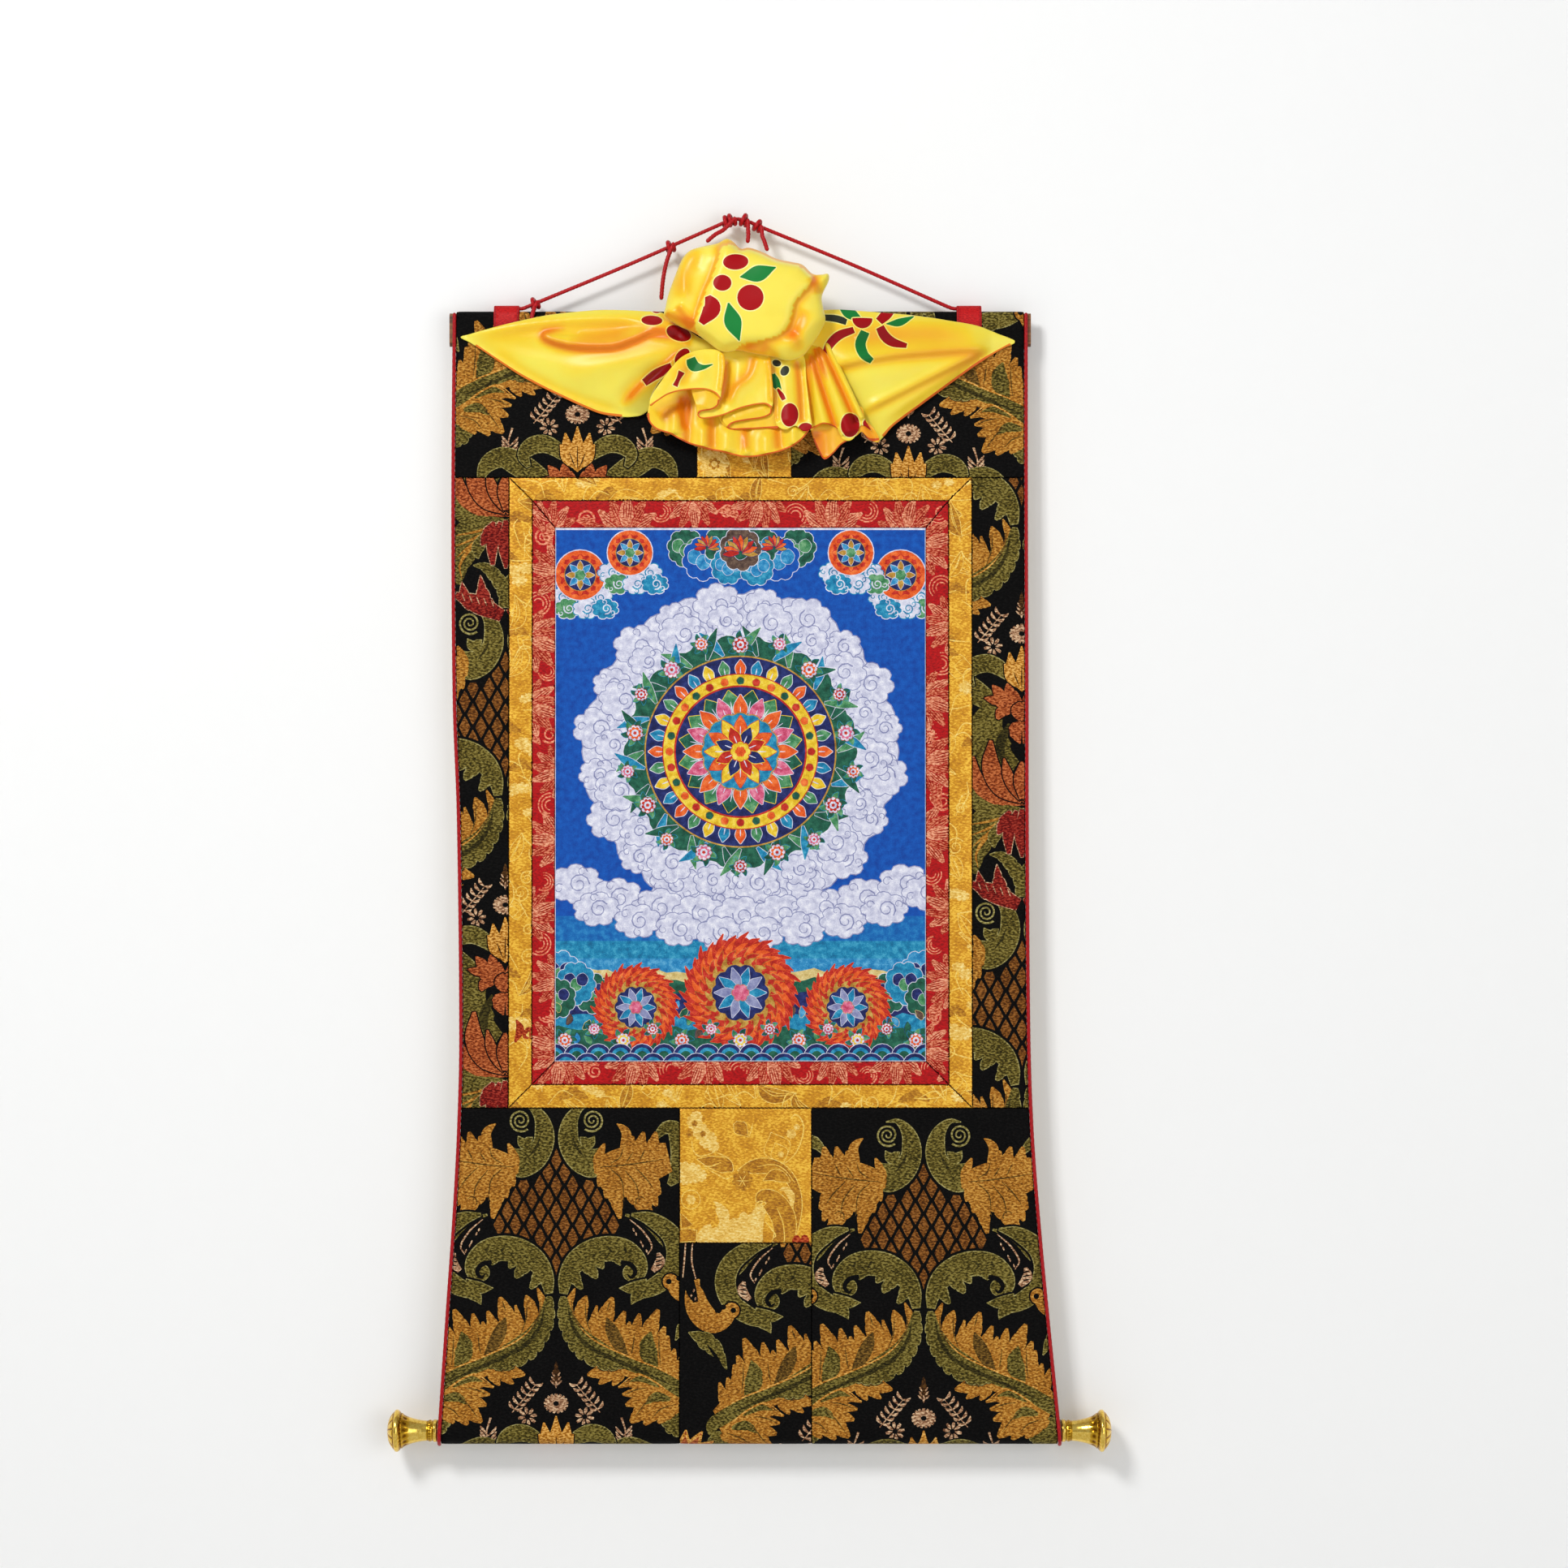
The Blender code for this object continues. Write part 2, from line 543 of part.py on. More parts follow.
def build_wood(wood, brass):
    """The flat batten in the top sleeve, and the round rod in the bottom one with its brass knobs."""
    half, flat = BATTEN_DEPTH / 2, BATTEN_HEIGHT / 2 - BATTEN_DEPTH / 2
    section = [row[1:3] for row in turn(0.0, BATTEN_Z + flat, half, 180.0, 0.0, 6)]
    section += [row[1:3] for row in turn(0.0, BATTEN_Z - flat, half, 0.0, -180.0, 6)]
    ends = (
        smooth(OUTLINE, BATTEN_Z, 1) - BATTEN_OVERHANG,
        smooth(OUTLINE, BATTEN_Z, 2) + BATTEN_OVERHANG,
    )
    count = len(section)
    points = [(x, y, z) for x in ends for y, z in section]
    faces = [(k, (k + 1) % count, count + (k + 1) % count, count + k) for k in range(count)]
    faces += [tuple(range(count)), tuple(range(2 * count - 1, count - 1, -1))]
    solid("batten", wood, points, faces, smooth_angle=40)

    left, right = smooth(OUTLINE, ROD_Z, 1) - 0.5, smooth(OUTLINE, ROD_Z, 2) + 0.5
    length = right - left
    lathe(
        "rod", wood,
        ((-TENON_LENGTH, TENON_RADIUS), (0.0, TENON_RADIUS), (0.0, ROD_RADIUS), (length, ROD_RADIUS),
         (length, TENON_RADIUS), (length + TENON_LENGTH, TENON_RADIUS)),
        16, ROD_Y, ROD_Z, left, 1,
    )
    bore = (
        (TENON_LENGTH + GAP, 0.0),
        (TENON_LENGTH + GAP, TENON_RADIUS + GAP),
        (0.0, TENON_RADIUS + GAP),
    )
    for name, x, outwards in (("knob_left", left - GAP, -1), ("knob_right", right + GAP, 1)):
        lathe(name, brass, bore + KNOB_PROFILE, 20, ROD_Y, ROD_Z, x, outwards)


def build_straps(finish):
    """Red straps over the batten. Each has the cord's end between its fold and the cloth."""
    clear = BATTEN_DEPTH / 2 + 2 * GAP + CLOTH
    peak = CORD_REST_Z + CORD_RADIUS + GAP
    for name, (left, right) in STRAPS.items():
        foot = TOP_Z - STRAP_LENGTH
        inner = [(-clear - 0.3, foot), (-clear, TOP_Z - 8.0), (-clear * 0.94, TOP_Z - 2.4)]
        inner += [(-CORD_RADIUS - GAP, peak - 0.7), (0.0, peak), (CORD_RADIUS + GAP, peak - 0.7)]
        inner += [(clear * 0.94, TOP_Z - 2.4), (clear, TOP_Z - 8.0), (clear, foot)]
        facing = [(-1, 0), (-1, 0.1), (-0.8, 0.6), (-0.45, 0.9), (0, 1), (0.45, 0.9), (0.8, 0.6), (1, 0.1), (1, 0)]
        back = [[(x, y, z) for x in (left, right)] for y, z in inner]
        front = [
            [(x, y + RIBBON * dy, z + RIBBON * dz) for x in (left, right)]
            for (y, z), (dy, dz) in zip(inner, facing)
        ]
        sheet(name, finish, front, back)


def cord_line():
    """The hanging cord's centre, from under one strap over the top point to under the other."""
    return along([(x, 0.0, z) for x, z in CORD_ROUTE], 5.6)


def build_cords(finish):
    """The hanging cord, and the ties hitched round it."""
    line = cord_line()
    tube("hanging_cord", finish, line, CORD_RADIUS)
    fine = [a.lerp(b, i / 6) for a, b in zip(line, line[1:]) for i in range(6)]
    spacing = (line[1] - line[0]).length / 6
    for name, (place, turns, tail) in TIES.items():
        k = min(range(1, len(fine) - 1), key=lambda i: abs(fine[i].x - place))
        ahead = (fine[k + 1] - fine[k - 1]).normalized()
        side = Vector((0.0, -1.0, 0.0))
        up = side.cross(ahead)
        reach = CORD_RADIUS + GAP * 1.6 + TIE_RADIUS
        pitch = 2 * TIE_RADIUS + GAP
        points = []
        for i in range(round(turns * TIE_STEPS) + 1):
            wound = i / TIE_STEPS
            a = 2 * math.pi * (turns - wound)
            middle = fine[k + round(pitch * (wound - turns / 2) / spacing)]
            points.append(middle + (side * math.cos(a) - up * math.sin(a)) * reach)
            points[-1] += ahead * (pitch * (wound - turns / 2) - (middle - fine[k]).dot(ahead))
        tail_line = along([points[-2], points[-1], *tail], 3.2)
        tube(name, finish, points[:-2] + tail_line, TIE_RADIUS)


def crease_height(creases, x, z):
    """How far the creases lift the silk at a place. Each is a bent ridge, or a trough if its height is below 0."""
    total = 0.0
    for start, middle, end, above, below, height in creases:
        best, lift = None, 0.0
        steps = 10
        for i in range(steps + 1):
            t = i / steps
            px = (1 - t) ** 2 * start[0] + 2 * t * (1 - t) * middle[0] + t**2 * end[0]
            pz = (1 - t) ** 2 * start[1] + 2 * t * (1 - t) * middle[1] + t**2 * end[1]
            far = math.hypot(x - px, z - pz)
            if best is None or far < best:
                width = above if z > pz else below
                best = far
                lift = height * math.sin(math.pi * min(max(t, 0.04), 0.96)) ** 0.6 * math.exp(-((far / width) ** 2))
        total += lift
    return total


def wing(name, finish, stations, creases, across, down):
    """One wing of the veil, from its sewn corner to the tie."""
    front, back = [], []
    last = len(stations) - 1
    table = [(k, *row) for k, row in enumerate(stations)]
    for i in range(across + 1):
        at = last * i / across
        x, upper, lower, clear, belly = (smooth(table, at, c) for c in range(1, 6))
        row_front, row_back = [], []
        for j in range(down + 1):
            v = j / down
            z = mix(upper, lower, v)
            fade = min(1.0, at / 1.5, (last - at) / 1.5)
            y = -clear - belly * math.sin(math.pi * v) ** 0.7 - fade * max(crease_height(creases, x, z), -belly * 0.4)
            row_back.append((x, y, z))
            row_front.append((x, y - SILK, z))
        front.append(row_front)
        back.append(row_back)
    return sheet(name, finish, front, back)


def skirt(name, finish, reach, clear, lean, waves, depth, across, down):
    """One ruffled skirt of silk below the tie, open at its hem."""
    front, back = [], []
    for i in range(across + 1):
        s = i / across
        a = math.radians(mix(*SKIRT_ANGLES, s))
        far = reach * smooth(SKIRT_RIM, s, 1)
        row_front, row_back = [], []
        for j in range(down + 1):
            v = mix(0.12, 1.0, j / down)
            wave = math.sin(2 * math.pi * waves * s + reach) * depth * v**1.6
            x = TIE_POINT[0] + far * v * math.cos(a)
            z = TIE_POINT[1] + far * v * math.sin(a) + wave
            y = -clear - (lean - clear) * math.sin(math.pi * 0.62 * v) - wave * 0.5
            row_back.append((x, y, z))
            row_front.append((x, y - SILK, z - SILK * 0.3))
        front.append(row_front)
        back.append(row_back)
    return sheet(name, finish, front, back)


def pleats(name, finish, down):
    """The fluted silk at the right of the tie."""
    front, back = [], []
    last = len(PLEAT_EDGES) - 1
    table = [(k, *row) for k, row in enumerate(PLEAT_EDGES)]
    across = last * 3
    for i in range(across + 1):
        at = last * i / across
        top_x, top_z, hem_x, hem_z = (smooth(table, at, c) for c in range(1, 5))
        flute = abs(math.sin(math.pi * at / 2))
        row_front, row_back = [], []
        for j in range(down + 1):
            v = j / down
            y = -PLEAT_CLEARANCE - PLEAT_DEPTH * flute * v**0.8 + 3.0 * v
            x, z = mix(top_x, hem_x, v), mix(top_z, hem_z, v)
            row_back.append((x, y, z))
            row_front.append((x, y - SILK, z))
        front.append(row_front)
        back.append(row_back)
    return sheet(name, finish, front, back)


def puff(name, finish, middle, rim, depth, creases, around, rings):
    """A puffed fold of silk: a closed cushion-like form with a free outline and creases on its front."""
    points = [(middle[0], middle[1] + depth, middle[2])]
    for j in range(1, rings):
        b = math.pi * j / rings
        for i in range(around):
            a = 360.0 * i / around
            reach = smooth(rim, a, 1) * math.sin(b) ** 0.62
            x = middle[0] + reach * math.cos(math.radians(a))
            z = middle[2] + reach * math.sin(math.radians(a))
            y = middle[1] + depth * math.cos(b)
            if j > rings / 2:
                y -= crease_height(creases, x, z) * math.sin(math.pi * (j / rings - 0.5))
            points.append((x, y, z))
    hub = len(points)
    points.append((middle[0], middle[1] - depth - crease_height(creases, middle[0], middle[2]), middle[2]))
    faces = []
    for i in range(around):
        n = (i + 1) % around
        faces.append((0, 1 + i, 1 + n))
        faces.append((hub, hub - around + n, hub - around + i))
        for j in range(rings - 2):
            k = 1 + j * around
            faces.append((k + i, k + around + i, k + around + n, k + n))
    return solid(name, finish, points, faces, smooth_angle=50)


def build_veil(finish):
    """The veil is one silk: its wings, skirts, pleats and rosette are joined where it is tied."""
    veil = puff("veil", finish, KNOT_MIDDLE, KNOT_RIM, KNOT_DEPTH, (), 16, 6)
    forms = [
        wing("wing_left_form", finish, LEFT_WING, LEFT_CREASES, 18, 12),
        wing("wing_right_form", finish, RIGHT_WING, RIGHT_CREASES, 18, 12),
        pleats("pleats_form", finish, 6),
        puff("rosette_form", finish, ROSETTE_MIDDLE, ROSETTE_RIM, ROSETTE_DEPTH, ROSETTE_CREASES, 28, 12),
    ]
    for k, row in enumerate(SKIRTS):
        forms.append(skirt(f"skirt_form_{k}", finish, *row, 20, 6))
    for form in forms:
        form.hide_render = True
        form.display_type = "WIRE"
        joined = veil.modifiers.new(form.name, "BOOLEAN")
        joined.operation = "UNION"
        joined.solver = "EXACT"
        joined.object = form


def main():
    for old in list(bpy.data.objects):
        bpy.data.objects.remove(old)
    brocade = material("dark_brocade", (0.035, 0.028, 0.018), 0.75)
    gold = material("gold_brocade", (0.66, 0.42, 0.09), 0.5)
    red = material("red_brocade", (0.55, 0.05, 0.04), 0.6)
    canvas = material("painted_canvas", (0.03, 0.12, 0.45), 0.7)
    red_silk = material("red_silk", (0.45, 0.01, 0.02), 0.5)
    silk = material("yellow_silk", (0.95, 0.72, 0.06), 0.4)
    wood = material("dark_wood", (0.22, 0.12, 0.06), 0.5)
    brass = material("brass", (0.80, 0.58, 0.18), 0.25, metallic=1.0)
    build_panels(brocade, gold, red, canvas)
    build_binding(red_silk)
    build_wood(wood, brass)
    build_straps(red_silk)
    build_cords(red_silk)
    build_veil(silk)


main()
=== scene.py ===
"""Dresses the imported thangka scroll: brocades, a painted panel, twisted cords, a silk veil and brass knobs.

Sizes and tables are in millimetres, +Z up, with the side that shows facing -Y and the origin at the point
that the hanging cord rests on. Every mesh is scaled by MM as it is made.
"""

import logging
import math
from collections.abc import Callable, Sequence
from dataclasses import dataclass, field
from enum import Enum

import bpy
import numpy as np
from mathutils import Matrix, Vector
from mathutils.geometry import delaunay_2d_cdt


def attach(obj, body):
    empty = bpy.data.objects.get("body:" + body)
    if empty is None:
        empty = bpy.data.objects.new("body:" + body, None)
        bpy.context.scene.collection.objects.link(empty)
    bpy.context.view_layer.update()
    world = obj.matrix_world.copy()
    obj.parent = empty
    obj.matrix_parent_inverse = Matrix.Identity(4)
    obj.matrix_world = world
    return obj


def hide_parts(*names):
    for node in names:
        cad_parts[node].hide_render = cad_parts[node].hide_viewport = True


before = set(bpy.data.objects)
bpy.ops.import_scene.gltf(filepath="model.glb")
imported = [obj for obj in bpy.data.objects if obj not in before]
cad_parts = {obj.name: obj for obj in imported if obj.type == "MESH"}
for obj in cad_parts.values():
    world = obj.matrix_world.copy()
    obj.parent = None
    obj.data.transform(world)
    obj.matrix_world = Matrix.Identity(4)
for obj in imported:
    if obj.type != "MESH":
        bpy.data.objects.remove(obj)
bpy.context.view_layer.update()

MM = 0.001
POINT = 0.6545                # one square of the point paper that the figured cloths are drawn on
PAPER_ZERO = (909.0, 272.0)   # its squares across and down to the hanging point
LOG = logging.getLogger("thangka_scroll")

Spot = tuple[float, float]
Spot3 = tuple[float, float, float]
Place = Callable[[np.ndarray], tuple[np.ndarray, np.ndarray | None]]


# ---------------------------------------------------------------- curves and outlines


def ray(x: float, z: float, reach: float, angle: float) -> Spot:
    """The place at some distance from a middle, in the direction of an angle in radians."""
    return x + reach * math.cos(angle), z + reach * math.sin(angle)


def through(spots: Sequence[Sequence[float]], count: int) -> np.ndarray:
    """Points on a smooth curve through the given ones.

    Args:
        spots: The points that the curve passes, in two or three dimensions.
        count: How many steps the whole curve is divided into.

    Returns:
        An array of count + 1 points.
    """
    given = np.asarray(spots, float)
    if len(given) == 2:
        share = np.linspace(0.0, 1.0, count + 1)[:, None]
        return given[0] * (1 - share) + given[1] * share
    ends = np.vstack([2 * given[0] - given[1], given, 2 * given[-1] - given[-2]])
    at = np.linspace(0.0, len(given) - 1, count + 1)
    k = np.minimum(at.astype(int), len(given) - 2)
    t = (at - k)[:, None]
    a, b, c, d = ends[k], ends[k + 1], ends[k + 2], ends[k + 3]
    return 0.5 * (
        2 * b + (c - a) * t + (2 * a - 5 * b + 4 * c - d) * t**2 + (3 * b - a - 3 * c + d) * t**3
    )


def evenly(line: np.ndarray, step: float, closed: bool = False) -> np.ndarray:
    """Points an even step apart along a line.

    Args:
        line: The line's points.
        step: The longest step wanted.
        closed: Whether the line runs back to its first point.

    Returns:
        The points, without a repeat of the first where the line is closed.
    """
    full = np.vstack([line, line[:1]]) if closed else np.asarray(line, float)
    lengths = np.concatenate([[0.0], np.cumsum(np.linalg.norm(np.diff(full, axis=0), axis=1))])
    count = max(2, math.ceil(lengths[-1] / step))
    want = np.linspace(0.0, lengths[-1], count + 1)
    if closed:
        want = want[:-1]
    return np.stack([np.interp(want, lengths, full[:, k]) for k in range(full.shape[1])], axis=1)


@dataclass(frozen=True)
class Course:
    """A value that changes smoothly through the rows of a table.

    Args:
        rows: Pairs of a place and the value there.
    """

    rows: tuple[Spot, ...]

    def at(self, where: np.ndarray | float) -> np.ndarray:
        """The values at some places.

        Args:
            where: The places. Those past an end take the end's value.

        Returns:
            The value at each.
        """
        rows = np.array(sorted(self.rows), float)
        p, v = rows[:, 0], rows[:, 1]
        x = np.clip(np.asarray(where, float), p[0], p[-1])
        k = np.clip(np.searchsorted(p, x, side="right") - 1, 0, len(p) - 2)
        before, after = np.maximum(k - 1, 0), np.minimum(k + 2, len(p) - 1)
        span = p[k + 1] - p[k]
        t = (x - p[k]) / span
        slope_in = (v[k + 1] - v[before]) / (p[k + 1] - p[before]) * span
        slope_out = (v[after] - v[k]) / (p[after] - p[k]) * span
        return (
            v[k] * (2 * t**3 - 3 * t**2 + 1) + slope_in * (t**3 - 2 * t**2 + t)
            + v[k + 1] * (3 * t**2 - 2 * t**3) + slope_out * (t**3 - t**2)
        )


def signed_area(ring: np.ndarray) -> float:
    """The area in a ring, above 0 where it runs anticlockwise."""
    x, y = ring[:, 0], ring[:, 1]
    return 0.5 * float(np.sum(x * np.roll(y, -1) - np.roll(x, -1) * y))


def within(ring: np.ndarray, spots: np.ndarray) -> np.ndarray:
    """Whether spots lie in a ring, whose parts may overlap each other.

    Args:
        ring: The outline.
        spots: The points to test.

    Returns:
        True for each spot that the ring winds round.
    """
    found = np.zeros(len(spots), bool)
    near = np.flatnonzero(((spots >= ring.min(axis=0)) & (spots <= ring.max(axis=0))).all(axis=1))
    ax, az = ring.T
    bx, bz = np.roll(ring, -1, axis=0).T
    rise = np.where(bz == az, 1.0, bz - az)
    for k in range(0, len(near), 4000):
        x, z = spots[near[k:k + 4000]].T[:, :, None]
        left = (bx - ax) * (z - az) / rise + ax > x
        winding = np.sum(((az <= z) & (bz > z) & left).astype(int) - ((bz <= z) & (az > z) & left), axis=1)
        found[near[k:k + 4000]] = winding != 0
    return found


def swell(ring: np.ndarray, amount: float) -> np.ndarray:
    """A ring moved outwards by an amount, or inwards where it is below 0.

    Args:
        ring: The outline.
        amount: How far each point moves along the outline's normal.

    Returns:
        The moved outline.
    """
    along = np.roll(ring, -1, axis=0) - np.roll(ring, 1, axis=0)
    along /= np.maximum(np.linalg.norm(along, axis=1, keepdims=True), 1e-9)
    outwards = np.stack([along[:, 1], -along[:, 0]], axis=1) * np.sign(signed_area(ring))
    return ring + outwards * amount


def blade(
    spine: Sequence[Spot], widths: Sequence[float], teeth: int = 0, bite: float = 0.3, count: int = 14,
    right: Sequence[float] | None = None,
) -> np.ndarray:
    """The outline of a leaf, petal, stem or scroll.

    Args:
        spine: Points that its middle line passes, from root to tip.
        widths: Half widths to the left at even shares of the spine.
        teeth: How many teeth each side has, pointing to the tip.
        bite: How deep the teeth are, as a share of the width.
        count: Steps along the spine where there are no teeth.
        right: Half widths to the right, where they differ from the left.

    Returns:
        The closed ring of points.
    """
    if teeth:
        at = np.sort(np.concatenate([np.arange(teeth) + part for part in (0.0, 0.3, 0.65, 0.93)])) / teeth
        at = np.append(at, 1.0)
        cut = np.append(np.tile([1 - bite, 1 - bite * 0.2, 1.0, 1 - bite * 0.3], teeth), 1 - bite)
    else:
        at, cut = np.linspace(0.0, 1.0, count + 1), np.ones(count + 1)
    fine = through(spine, 120)
    line = np.stack([np.interp(at * 120, np.arange(121), fine[:, k]) for k in (0, 1)], axis=1)
    ahead = np.gradient(fine, axis=0)
    ahead = np.stack([np.interp(at * 120, np.arange(121), ahead[:, k]) for k in (0, 1)], axis=1)
    ahead /= np.maximum(np.linalg.norm(ahead, axis=1, keepdims=True), 1e-9)
    side = np.stack([-ahead[:, 1], ahead[:, 0]], axis=1)

    def half(values: Sequence[float]) -> np.ndarray:
        """The half widths at each step, with their teeth."""
        rows = tuple((k / (len(values) - 1), value) for k, value in enumerate(values))
        return (np.maximum(Course(rows).at(at), 0.05) * cut)[:, None]

    other = widths if right is None else right
    return np.vstack([line + side * half(widths), (line - side * half(other))[::-1]])


def bloom(middle: Spot, reach: float, petals: int = 0, depth: float = 0.0, turn: float = 0.0,
          squash: float = 1.0, count: int = 0) -> np.ndarray:
    """The outline of a flower, scalloped cloud, berry or disc.

    Args:
        middle: Its middle.
        reach: Its radius at the petals' tips.
        petals: How many petals it has, or 0 for a plain round.
        depth: How deep the notches between petals are, as a share of the reach.
        turn: Angle of the first petal, in degrees.
        squash: Its height as a share of its width.
        count: Points round it, or 0 to choose by the petals.

    Returns:
        The closed ring of points.
    """
    steps = count or max(16, petals * 6)
    a = np.arange(steps) * 2 * math.pi / steps
    notch = 1 - np.abs(np.cos(petals * a / 2)) ** 0.6 if petals else np.zeros(steps)
    r = reach * (1 - depth * notch)
    w = a + math.radians(turn)
    return np.stack([middle[0] + r * np.cos(w), middle[1] + r * squash * np.sin(w)], axis=1)


def lobe(root: Spot, bend: Spot, tip: Spot, wide: float, teeth: int = 4, end: float = 0.5) -> np.ndarray:
    """A broad lobe of a leaf, with rounded teeth and a rounded end.

    Args:
        root: Where its middle line starts.
        bend: Where its middle line passes.
        tip: Where it ends.
        wide: Its half width at the root.
        teeth: How many teeth each side has.
        end: Its half width near its end, as a share of that at the root.

    Returns:
        The closed ring of points.
    """
    return blade((root, bend, tip), [wide, wide * 0.98, wide * (0.5 + end / 2), wide * end, wide * 0.15],
                 teeth, 0.14)


def coil(middle: Spot, outer: float, inner: float, start: float, turns: float, width: float,
         end_width: float | None = None, count: int = 30) -> np.ndarray:
    """The outline of a line that winds in to a spiral's eye.

    Args:
        middle: The spiral's eye.
        outer: Radius where it starts.
        inner: Radius where it ends.
        start: Angle where it starts, in degrees.
        turns: How many turns it makes, anticlockwise, or clockwise where it is below 0.
        width: The line's half width at its start.
        end_width: Its half width at its end, the same by default.
        count: Steps along the line.

    Returns:
        The closed ring of points.
    """
    t = np.linspace(0.0, 1.0, count + 1)
    a = math.radians(start) + 2 * math.pi * turns * t
    r = outer + (inner - outer) * t
    half = width + ((width if end_width is None else end_width) - width) * t
    rings = [np.stack([middle[0] + (r + s * half) * np.cos(a), middle[1] + (r + s * half) * np.sin(a)],
                      axis=1)
             for s in (1, -1)]
    return np.vstack([rings[0], rings[1][::-1]])


# ---------------------------------------------------------------- finishes


def colour(code: str) -> tuple[float, float, float, float]:
    """The linear colour of an sRGB hex value.

    Args:
        code: The value, such as "#D8A32C".

    Returns:
        Linear red, green and blue, and full alpha.
    """
    parts = [int(code[k:k + 2], 16) / 255 for k in (1, 3, 5)]
    linear = [c / 12.92 if c <= 0.04045 else ((c + 0.055) / 1.055) ** 2.4 for c in parts]
    return (linear[0], linear[1], linear[2], 1.0)


def add_node(
    made: bpy.types.Material, kind: str, settings: dict[str, object] | None = None,
    links: dict[str, tuple[bpy.types.Node, str]] | None = None, stops: Sequence[tuple[float, str]] = (),
) -> bpy.types.Node:
    """Adds a node to a material.

    Args:
        made: The material.
        kind: The node's type.
        settings: Values of its properties, or of its sockets by their names.
        links: The node and socket that feed each of its sockets.
        stops: Places and hex colours of a colour ramp.

    Returns:
        The new node.
    """
    node = made.node_tree.nodes.new(kind)
    for name, value in (settings or {}).items():
        if hasattr(node, name):
            setattr(node, name, value)
        else:
            node.inputs[int(name) if name.isdigit() else name].default_value = value
    for name, (source, socket) in (links or {}).items():
        target = node.inputs[int(name) if name.isdigit() else name]
        made.node_tree.links.new(source.outputs[socket], target)
    if stops:
        ramp = node.color_ramp
        while len(ramp.elements) < len(stops):
            ramp.elements.new(1.0)
        for element, (place, code) in zip(ramp.elements, stops):
            element.position = place
            element.color = colour(code)
    return node


def coat(made: bpy.types.Material, shader: bpy.types.Node, ramp: bpy.types.Node,
         bump: bpy.types.Node) -> None:
    """Feeds the shader's colour from a ramp, and the way its surface lies from a bump.

    Args:
        made: The material.
        shader: Its shader.
        ramp: The ramp.
        bump: The bump.
    """
    made.node_tree.links.new(ramp.outputs["Color"], shader.inputs["Base Color"])
    made.node_tree.links.new(bump.outputs["Normal"], shader.inputs["Normal"])


def new_material(name: str) -> tuple[bpy.types.Material, bpy.types.Node]:
    """An empty material and its shader.

    Args:
        name: The material's name.

    Returns:
        The material and its Principled BSDF node.
    """
    made = bpy.data.materials.new(name)
    made.use_nodes = True
    return made, made.node_tree.nodes["Principled BSDF"]


@dataclass(frozen=True)
class JacquardYarn:
    """Floss silk weft of a jacquard brocade: short floats that catch the light singly, over a darker warp.

    The eye sees a dense stipple of light and dark stitches. Real floats are about 0.6 mm long; they are
    drawn at `float_mm` so that they show at this size.
    """

    name: str
    dark: str
    middle: str
    light: str
    roughness: float = 0.7
    sheen: float = 0.02
    contrast: float = 0.13
    float_mm: float = 1.5
    metallic: float = 0.0
    specular: float = 0.1
    relief: float = 0.4
    lie: float = 0.25
    lie_mm: float = 22.0

    def material(self) -> bpy.types.Material:
        """The yarn's material.

        Returns:
            The material.
        """
        made, shader = new_material(self.name)
        cut = add_node(made, "ShaderNodeUVMap", {"uv_map": "cut"})
        # floats: stretched a little along the weft, which runs across the cloth
        weft = add_node(made, "ShaderNodeMapping", {"Rotation": (0.0, 0.0, 0.35), "Scale": (0.6, 1.15, 1.0)},
                        {"Vector": (cut, "UV")})
        floats = add_node(made, "ShaderNodeTexNoise", {"Scale": 1 / (self.float_mm * MM), "Detail": 1.0,
                                                       "Roughness": 0.6}, {"Vector": (weft, "Vector")})
        # painted sheen and wear: slow light and dark clouds over some centimetres, as the floss lies one way or
        # another
        lie = add_node(made, "ShaderNodeTexNoise", {"Scale": 1 / (self.lie_mm * MM), "Detail": 3.0},
                       {"Vector": (cut, "UV")})
        shade = add_node(made, "ShaderNodeMath", {"operation": "MULTIPLY_ADD", "1": self.lie},
                         {"0": (lie, "Fac"), "2": (floats, "Fac")})
        mean = 0.5 * (1 + self.lie)
        ramp = add_node(made, "ShaderNodeValToRGB", {}, {"Fac": (shade, "Value")},
                        ((mean - self.contrast, self.dark), (mean, self.middle),
                         (mean + self.contrast, self.light)))
        # twill ribs, 1.1 mm apart for a real 0.45 mm
        twill = add_node(made, "ShaderNodeTexWave", {"Scale": 1 / (1.1 * MM) / 6.283,
                                                     "bands_direction": "DIAGONAL", "Distortion": 1.5,
                                                     "Detail": 1.0}, {"Vector": (cut, "UV")})
        height = add_node(made, "ShaderNodeMath", {"operation": "MULTIPLY_ADD", "1": 0.4},
                          {"0": (twill, "Fac"), "2": (floats, "Fac")})
        bump = add_node(made, "ShaderNodeBump", {"Strength": self.relief, "Distance": 0.4 * MM},
                        {"Height": (height, "Value")})
        coat(made, shader, ramp, bump)
        shader.inputs["Roughness"].default_value = self.roughness
        shader.inputs["Metallic"].default_value = self.metallic
        shader.inputs["Specular IOR Level"].default_value = self.specular
        shader.inputs["Sheen Weight"].default_value = self.sheen
        shader.inputs["Sheen Roughness"].default_value = 0.45
        return made


